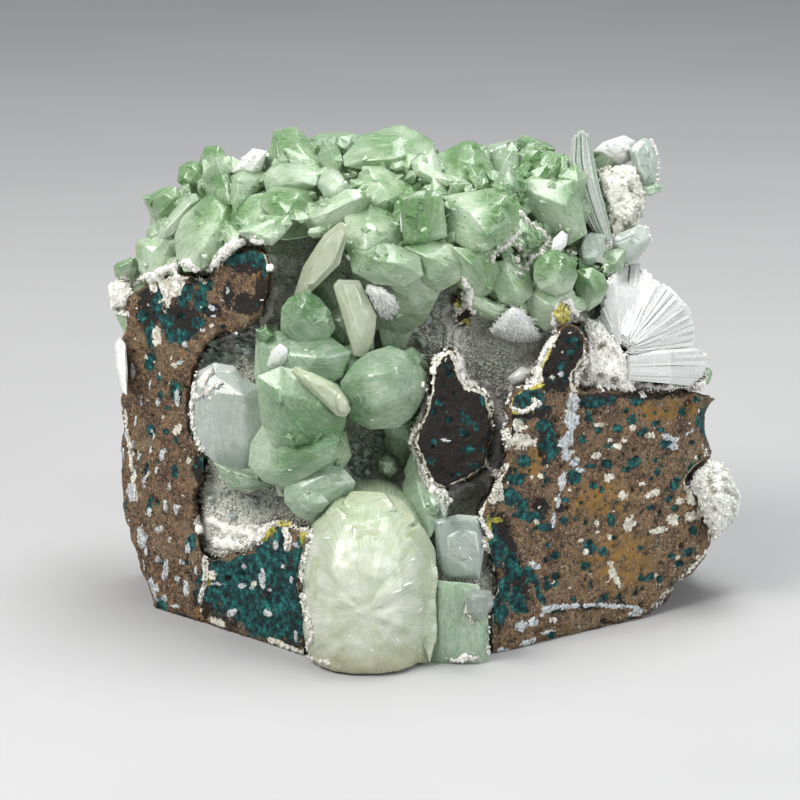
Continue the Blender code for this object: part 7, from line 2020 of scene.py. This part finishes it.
# the sheaf below it
paths, tints = [], []
for layer, count, back in ((0, 18, 0.0), (1, 18, 2.2), (2, 16, 5.0), (3, 14, 8.5), (4, 12, 12.0)):
    for i in range(count):
        t = (i + 0.5) / count
        v0 = 357 + 20 * t + tr.uniform(-0.6, 0.6)
        v1 = 353 + 29 * t + tr.uniform(-1.0, 1.0)
        u1 = 704 - 5 * abs(t - 0.35) * 3 + tr.uniform(-5, 1)
        a_ = at(626, v0, skin(626, v0) - 3.0 + back)
        b_ = at(666, (v0 + v1) / 2 - 1.5 * (1 - t), skin(666, 366) - 5.0 + back)
        c_ = at(u1, v1, skin(700, v1) - 3.6 + back)
        d = (c_ - a_).normalized()
        dv = Vector((0.1, 1.0, -0.05)).normalized()
        sd = d.cross(dv).normalized()
        dv = sd.cross(d).normalized()
        w = 0.26 * tr.uniform(0.85, 1.5)
        th_ = tr.uniform(0.9, 1.5) + 0.5 * (layer > 1)
        paths.append([(a_, w, th_, sd, dv), (b_, w * 1.35, th_ * 1.2, sd, dv), (c_, w * 1.7, th_, sd, dv)])
        tints.append((0.5 if tr.random() < 0.2 else 0.05, tr.random(), 0.0, 1))
bundle = tubes("stilbite_sheaf_rods", paths, tints)
bc = to_object("bundle_core", hull_mesh([at(u, v, skin(u, v) + y) for u, v in ((630, 357), (664, 355), (700, 357), (703, 368), (698, 381), (660, 381), (632, 377)) for y in (-2.0, 13.0)], 0.3))
put_attr(bc.data, "tint", np.tile([0.1, 0.4, 0, 1], (len(bc.data.vertices), 1)), "FLOAT_COLOR")
bundle = joined("stilbite_sheaf_rods", [bundle, bc])
finish_piece(bundle, SILK, ("stilbite_bundle",))

# the long striated blade
LEFT = [(600, 241), (589, 226), (580, 206), (572, 180), (568, 156), (572, 139)]
RIGHT = [(612, 238), (609, 222), (602, 196), (595, 168), (593, 152), (589, 137)]
paths, tints = [], []
for layer, count, back in ((0, 13, 0.0), (1, 11, 1.9), (2, 9, 4.0)):
    for i in range(count):
        t = (i + 0.5) / count
        crest = 1.0 - 2.2 * abs(t - 0.55) ** 1.6
        path = []
        for s in (0.0, 0.2, 0.4, 0.6, 0.8, 1.0):
            l, r = on_line(LEFT, s), on_line(RIGHT, s)
            u = l[0] + (r[0] - l[0]) * t
            v = l[1] + (r[1] - l[1]) * t
            if s == 1.0:
                v = v - 6.0 * crest * (1 if layer == 0 else 0.9) + tr.uniform(-1.5, 1.5) + 4 * (1 - crest)
            y = skin(590, 190) - 5.2 + back + 1.3 * (2 * t - 1) ** 2 + (0.25 * math.sin(i * 2.4) if layer == 0 else 0) + (3.0 if s > .5 else 0) * (s - .5)
            wide = abs(r[0] - l[0]) * 0.189 / count * 0.62
            path.append((at(u, v, y), wide * (0.7 if s == 1.0 else 1.0), 0.9 + 0.3 * (layer > 0), Vector((1, 0, 0)), Vector((0, 1, 0))))
        paths.append(path)
        tints.append((0.6 if tr.random() < 0.12 else 0.0, tr.random(), 0.55 * tr.random() * (1 if i > 2 else 0.4), 1))
blade = tubes("striated_blade_slats", paths, tints)
finish_piece(blade, BLADE, ("striated_blade",))

# pale blades fanned out below it, and white crystals
paths, tints = [], []
for i in range(15):
    t = i / 14
    a0 = math.radians(-20 - 75 * t)
    p0 = (606 - 6 * t, 262 - 2 * t)
    l = 24 + 6 * math.sin(t * 3.1)
    q0 = (p0[0] - l * math.cos(a0), p0[1] + l * math.sin(a0))
    q0 = (max(576, q0[0]), max(235, min(268, q0[1])))
    s_ = at(p0[0], p0[1], skin(596, 252) - 3.6)
    e_ = at(q0[0], q0[1], skin(596, 252) - 4.4 + 1.4 * t)
    d = (e_ - s_).normalized()
    sd = d.cross(Vector((0, 1, 0))).normalized()
    paths.append([(s_, 0.3, 0.9, sd, Vector((0, 1, 0))), (e_, 0.5, 1.3, sd, Vector((0, 1, 0)))])
    tints.append((0.1, tr.random(), 0.25, 1))
pf = tubes("fanned_blades", paths, tints)
pf_core = to_object("pf_core", hull_mesh(gem_points([(578, 248), (590, 237), (603, 240), (606, 250), (600, 262), (590, 266), (580, 264)], dy=-3, th=7.5, drop=2), 0.2))
put_attr(pf_core.data, "tint", np.tile([0.0, 0.4, 0.2, 1], (len(pf_core.data.vertices), 1)), "FLOAT_COLOR")
pf = joined("fanned_blades", [pf, pf_core])
finish_piece(pf, BLADE, ("pale_fan_blades",))

for nm, pcs, node, sub, sd_ in (
    ("cap_right", [dict(o=[(592, 152), (603, 142), (624, 135), (636, 141), (632, 160), (620, 166), (600, 160)], dy=0, th=12),
                   dict(o=[(600, 150), (612, 141), (626, 138), (632, 150), (616, 158)], dy=-1.6, th=5, bevel=0.8, table=0.6)], "white_cap_crystal", 9, 41),
    ("cap_left", [dict(o=[(231, 172), (242, 158), (253, 148), (267, 151), (264, 160), (262, 169), (253, 178), (242, 179)], dy=-5, th=10),
                  dict(o=[(236, 170), (246, 158), (256, 152), (262, 160), (252, 174)], dy=-6.2, th=4, bevel=0.7, table=0.6)], "white_cap_left", 9, 42),
    ("chip", [dict(o=[(266, 366), (271, 350), (280, 343), (288, 349), (288, 359), (282, 369), (272, 371)], dy=-5, th=7, bevel=1.2, drop=2),
              dict(o=[(270, 364), (274, 352), (281, 347), (285, 356), (279, 366)], dy=-6.3, th=3, bevel=0.5, table=0.6)], "white_chip", 3, 43),
    ("prism", [dict(o=[(551, 249), (553, 239), (562, 230), (568, 235), (567, 245), (560, 252)], dy=-7, th=8, bevel=0.8, drop=2)], "white_prism", 2, 44),
    ("quartz", [dict(o=[(508, 377), (521, 366), (535, 369), (534, 378), (520, 385), (511, 386)], dy=-3, th=9, bevel=1.0, drop=0)], "cream_quartz", 4, 45),
    ("plates", [dict(o=[(114, 343), (120, 336), (126, 344), (128, 372), (127, 396), (122, 392), (116, 368)], dy=3.0, th=6, bevel=0.8, drop=0)], "edge_plates_left", 4, 46),
):
    gem_group(nm, pcs, [(0.0, 0.05, .5), (0.0, 0, .2)], WHITE, node, sub=sub, seed=sd_, size=(0.12, 0.24))


def grainy(node, name, voxel, rough_mm, mat, seed, lump_scale=2.4):
    ob = remeshed(welded(node, name), voxel)
    co = coords(ob.data) / MM
    nor = normals(ob.data)
    f1, f2, f3 = field(co, lump_scale, 2, seed), field(co, lump_scale * 0.42, 2, seed + 5), field(co, 7.0, 2, seed + 9)
    pores = smooth(field(co, 1.9, 1, seed + 20), 0.30, 0.5)
    # pores sunk into the surface; the tint also makes them less pale and, in the third channel, darker as painted shade
    out = co + nor * (rough_mm * (0.55 * f1 + 0.35 * f2 + 0.5 * f3) - 0.9 * pores * (rough_mm > 0.5))[:, None]
    out = np.clip(out, np.array(CAD_BOX[0]) / MM + 0.05, np.array(CAD_BOX[1]) / MM - 0.05)
    set_coords(ob.data, out * MM)
    put_attr(ob.data, "tint", np.stack([np.clip(0.75 + 0.5 * f3 - 0.6 * pores, 0, 1), np.clip(0.5 + 0.5 * f2, 0, 1), pores, np.ones(len(co))], 1), "FLOAT_COLOR")
    smooth_shade(ob.data)
    finish_piece(ob, mat, (node,))
    return ob


def porous_material(name, light, dark, pale_k=1.0):
    m = Mat(name)
    t_pale, t_rnd, t_olive_and_pore_shade = m.split(m.attr("tint"))
    n1, n2 = m.noise(1300, 3, 0.6), m.noise(3200, 2)
    col = m.mix(m.band(n1, 0.35, 0.62), dark, light)
    col = m.mix(m.math('MULTIPLY', t_pale, 0.6 * pale_k), col, lin(246, 245, 240))
    # olive darkening: painted shade in the pores, and the crust bed's own olive patches
    col = m.mix(m.math('MULTIPLY', t_olive_and_pore_shade, 0.8), col, lin(128, 124, 96))
    col = m.mix(m.band(n2, 0.60, 0.68, 0, 0.5), col, lin(250, 250, 248))
    bn = m.bump(n1, 0.5, 0.0004)
    bn = m.bump(m.voronoi(1500, 'F1'), 0.4, 0.0004, bn)
    m.set(color=col, rough=m.band(n1, 0.3, 0.7, 0.35, 0.6, 'LINEAR'), normal=bn, spec=0.5)
    return m.mat


CRUSTY = porous_material("crust_white", lin(240, 238, 230), lin(196, 194, 182))
GRANULAR = porous_material("granular_cream", lin(214, 214, 198), lin(142, 142, 112), 0.8)
crust_main = grainy("stilbite_crust", "white_crust_mass", 0.55, 0.7, CRUSTY, 3.0)
mass = grainy("zeolite_grain_mass", "granular_mass", 0.6, 0.9, GRANULAR, 6.0)
tipl = grainy("druse_tip_left", "white_lump_left", 0.5, 0.7, CRUSTY, 9.0)
spur = grainy("druse_spur_right", "spur_right", 0.6, 0.6, porous_material("spur_grey", lin(214, 216, 208), lin(158, 162, 150), 0.5), 12.0)

# fibrous patches: short needles on a lump
for node, nm, seed_, lean_ in (("sparkle_patch", "sparkle_needles", 51, (0.8, -0.3, -0.5)), ("fibrous_patch", "fibrous_needles", 52, (0.9, -0.3, -0.6))):
    base = remeshed(welded(node, nm + "_base"), 0.5)
    co = coords(base.data) / MM
    nr = normals(base.data)
    g = np.random.default_rng(seed_)
    put_attr(base.data, "tint", np.tile([0.4, 0.6, 0, 1], (len(co), 1)), "FLOAT_COLOR")
    sel = np.where(nr[:, 1] < 0.15)[0]
    pick = g.choice(sel, min(420, len(sel) * 2))
    dirs = np.tile(np.array(lean_), (len(pick), 1)) + 0.5 * nr[pick]
    dirs /= np.linalg.norm(dirs, axis=1)[:, None]
    fr = frames_for(dirs, g, 0.09, g.uniform(0.07, 0.14, len(pick)), g.uniform(0.05, 0.1, len(pick)), g.uniform(0.4, 0.9, len(pick)))
    needles = many(nm, POINT4, co[pick] + g.normal(0, 0.1, (len(pick), 3)), fr, np.stack([g.uniform(0.2, 1, len(pick)), g.uniform(0, 1, len(pick)), np.zeros(len(pick)), np.ones(len(pick))], 1), 0.1, seed_)
    ob = joined(nm, [base, needles])
    finish_piece(ob, SILK, (node,))

# grains that roughen the lumps and rims of the right side
TARGETS = [(mass, 900, 0.25, 0.6, .35), (crust_main, 1100, 0.22, 0.5, .9), (spur, 800, 0.25, 0.6, .55), (tipl, 300, 0.2, 0.5, .95)]
gp, gn, gs, gt = [], [], [], []
g = np.random.default_rng(77)
for ob, count, a_, b_, pale in TARGETS:
    co = coords(ob.data) / MM
    nr = normals(ob.data)
    pick = g.choice(len(co), count)
    gp.append(co[pick] + g.normal(0, 0.15, (count, 3)))
    gn.append(nr[pick])
    gs.append(a_ + (b_ - a_) * g.uniform(0, 1, count) ** 2)
    gt.append(np.stack([np.clip(pale + g.normal(0, 0.2, count), 0, 1), g.uniform(0, 1, count), np.zeros(count), np.ones(count)], 1))
# crumbly rims of the fan and the sheaf
rim_p = []
for _ in range(620):
    t = g.uniform(0.08, 0.97)
    ru, rv = on_line(RIM, t)
    k = g.uniform(0.95, 1.0)
    rim_p.append(list(at(HUB[0] + (ru - HUB[0]) * k, HUB[1] + (rv - HUB[1]) * k, skin(ru, rv) + g.uniform(0.2, 9.0))))
for _ in range(160):
    rim_p.append(list(at(g.uniform(700, 707), g.uniform(354, 384), skin(700, 370) + g.uniform(-4, 8))))
for _ in range(260):
    ru, rv = on_line([(628, 236), (640, 226), (648, 228), (651, 240), (645, 251), (636, 261), (626, 265)], g.uniform(0, 1))
    rim_p.append(list(at(ru - g.uniform(0, 2), rv, skin(ru, rv) + g.uniform(-3.6, 0.5))))
for _ in range(200):
    ru, rv = on_line([(652, 140), (657, 152), (659, 170), (657, 184)], g.uniform(0, 1))
    rim_p.append(list(at(ru - g.uniform(0, 2), rv, skin(ru, rv) + g.uniform(-2.0, 1.5))))
rim_p = np.array(rim_p)
gp.append(rim_p)
gn.append(np.tile([0.3, -0.8, 0.4], (len(rim_p), 1)))
gs.append(g.uniform(0.18, 0.5, len(rim_p)))
gt.append(np.stack([g.uniform(0.3, 1, len(rim_p)), g.uniform(0, 1, len(rim_p)), np.zeros(len(rim_p)), np.ones(len(rim_p))], 1))
gp, gn, gs, gt = np.concatenate(gp), np.concatenate(gn), np.concatenate(gs), np.concatenate(gt)
ok = np.all((gp > np.array(CAD_BOX[0]) / MM + 0.7) & (gp < np.array(CAD_BOX[1]) / MM - 0.7), axis=1)
gp, gn, gs, gt = gp[ok], gn[ok], gs[ok], gt[ok]
right_grains = many("zeolite_grains_right", LUMP, gp, frames_for(gn, g, 0.5, gs * 0.9, gs * 0.75, gs * 0.8), gt, 0.25, 9)
finish_piece(right_grains, CRUST_MAT)
# ================================================================== SOLID BODY OF THE WHITE CRUST
gr = np.random.default_rng(88)
bp, bn_, br = [], [], []
lo_, hi_ = np.array(CAD_BOX[0]) / MM + 1.0, np.array(CAD_BOX[1]) / MM - 1.0
for line, hw, dens, pale, up in CRUST:
    if pale < 0.55:
        continue
    for a_, b_ in zip(line, line[1:]):
        n = max(1, int(math.hypot(b_[0] - a_[0], b_[1] - a_[1]) / 1.7))
        for i in range(n):
            t = (i + gr.uniform(0, 1)) / n
            u = a_[0] + (b_[0] - a_[0]) * t + gr.normal(0, hw * 0.30)
            v = a_[1] + (b_[1] - a_[1]) * t + gr.normal(0, hw * 0.30)
            hit = cast(ALL_BVH, u, v)
            if hit[0] is None:
                continue
            r = max(0.42, hw * 0.189 * gr.uniform(0.45, 1.0))
            p = hit[0] + hit[1] * (0.15 * up - 0.15 * r)
            if all(lo_[k] < p[k] < hi_[k] for k in range(3)):
                bp.append(list(p))
                bn_.append(list(hit[1]))
                br.append(r)
bp, bn_, br = np.array(bp), np.array(bn_), np.array(br)
bed = many("crust_bed", LUMP, bp, frames_for(bn_, gr, 0.4, br, br * 0.9, br * 0.75), np.ones((len(bp), 4)), 0.2, 12)
bed = remeshed(bed, 0.44)
co = coords(bed.data) / MM
nor = normals(bed.data)
f1, f2 = field(co, 1.1, 2, 61.0), field(co, 3.2, 2, 66.0)
out = co + nor * (0.16 * f1 + 0.12 * f2)[:, None]
set_coords(bed.data, np.clip(out, np.array(CAD_BOX[0]) / MM + 0.05, np.array(CAD_BOX[1]) / MM - 0.05) * MM)
put_attr(bed.data, "tint", np.stack([np.clip(0.75 + 0.6 * f2, 0, 1), np.clip(0.5 + 0.5 * f1, 0, 1), smooth(f2, 0.35, 0.6) * 0.8, np.ones(len(co))], 1), "FLOAT_COLOR")
smooth_shade(bed.data)
finish_piece(bed, CRUSTY)

# ================================================================== SMALL CRYSTALS IN THE VUG
fr = random.Random(404)
store = []
for poly, count, w0, w1_, look in (
    ([(200, 356), (226, 334), (262, 316), (264, 348), (240, 364), (212, 374)], 46, 0.7, 2.0, (0.2, 0, .4)),
    ([(262, 292), (284, 268), (330, 258), (346, 300), (338, 332), (300, 290)], 26, 0.6, 1.6, (0.35, 0, .4)),
    ([(348, 444), (398, 420), (412, 470), (384, 488), (350, 482)], 30, 0.6, 1.7, (0.5, .3, .3)),
    ([(398, 296), (446, 290), (444, 340), (420, 354), (402, 330)], 22, 0.5, 1.3, (0.3, .1, .4)),
    ([(470, 330), (520, 336), (528, 372), (500, 386), (478, 372)], 16, 0.4, 1.0, (0.2, .2, .6)),
    ([(190, 470), (250, 466), (286, 476), (286, 500), (240, 520), (200, 520)], 26, 0.4, 1.1, (0.1, .1, .7)),
):
    us, vs = [p[0] for p in poly], [p[1] for p in poly]
    done = tries = 0
    while done < count and tries < count * 8:
        tries += 1
        u, v = fr.uniform(min(us), max(us)), fr.uniform(min(vs), max(vs))
        if signed_in(poly, [u], [v])[0] < 0:
            continue
        hit = cast(LINING_BVH, u, v)
        near = cast(COVER_BVH, u, v)
        if hit[0] is None or (near[0] is not None and near[3] < hit[3]):
            continue
        w = fr.uniform(w0, w1_)
        d = hit[1] + Vector((fr.uniform(-.6, .6), -0.3, fr.uniform(-.2, .8)))
        if add_spike(hit[0], d, w, w * fr.uniform(0.7, 1.6), look, 7000 + len(store), store, fr, bevel=0.06):
            done += 1
vug = joined("vug_small_crystals", store)
finish_piece(vug, GREYC)

# the yellow end of the prong and the yellow foot of the upper knob
gr = np.random.default_rng(91)
yp, yn = [], []
for cu_, cv_, ru_, rv_, count in ((562, 313, 6, 9, 110), (459, 304, 3, 3, 18), (468, 324, 3, 2.5, 14), (285, 524, 7, 3, 30)):
    for _ in range(count):
        a_, r_ = gr.uniform(0, 6.283), math.sqrt(gr.uniform(0, 1))
        hit = cast(ALL_BVH, cu_ + ru_ * r_ * math.cos(a_), cv_ + rv_ * r_ * math.sin(a_))
        if hit[0] is not None:
            yp.append(list(hit[0] + hit[1] * gr.uniform(0.0, 0.5)))
            yn.append(list(hit[1]))
yp, yn = np.array(yp), np.array(yn)
ys = gr.uniform(0.25, 0.6, len(yp))
tip_y = many("yellow_tip_lumps", LUMP, yp, frames_for(yn, gr, 0.5, ys, ys * 0.9, ys * 0.8), np.stack([gr.uniform(0, 1, len(yp)), gr.uniform(0, 1, len(yp)), np.zeros(len(yp)), np.ones(len(yp))], 1), 0.22, 14)
m = Mat("yellow_crust")
y_a, y_b, y_c = m.split(m.attr("tint"))
nz = m.noise(1500, 3)
col = m.mix(m.band(nz, 0.35, 0.65), lin(150, 140, 40), lin(196, 186, 84))
col = m.mix(m.math('MULTIPLY', y_a, 0.5), col, lin(222, 216, 168))
m.set(color=col, rough=m.band(nz, 0.3, 0.7, 0.4, 0.65, 'LINEAR'), normal=m.bump(nz, 0.4, 0.0003), spec=0.45)
finish_piece(tip_y, m.mat)
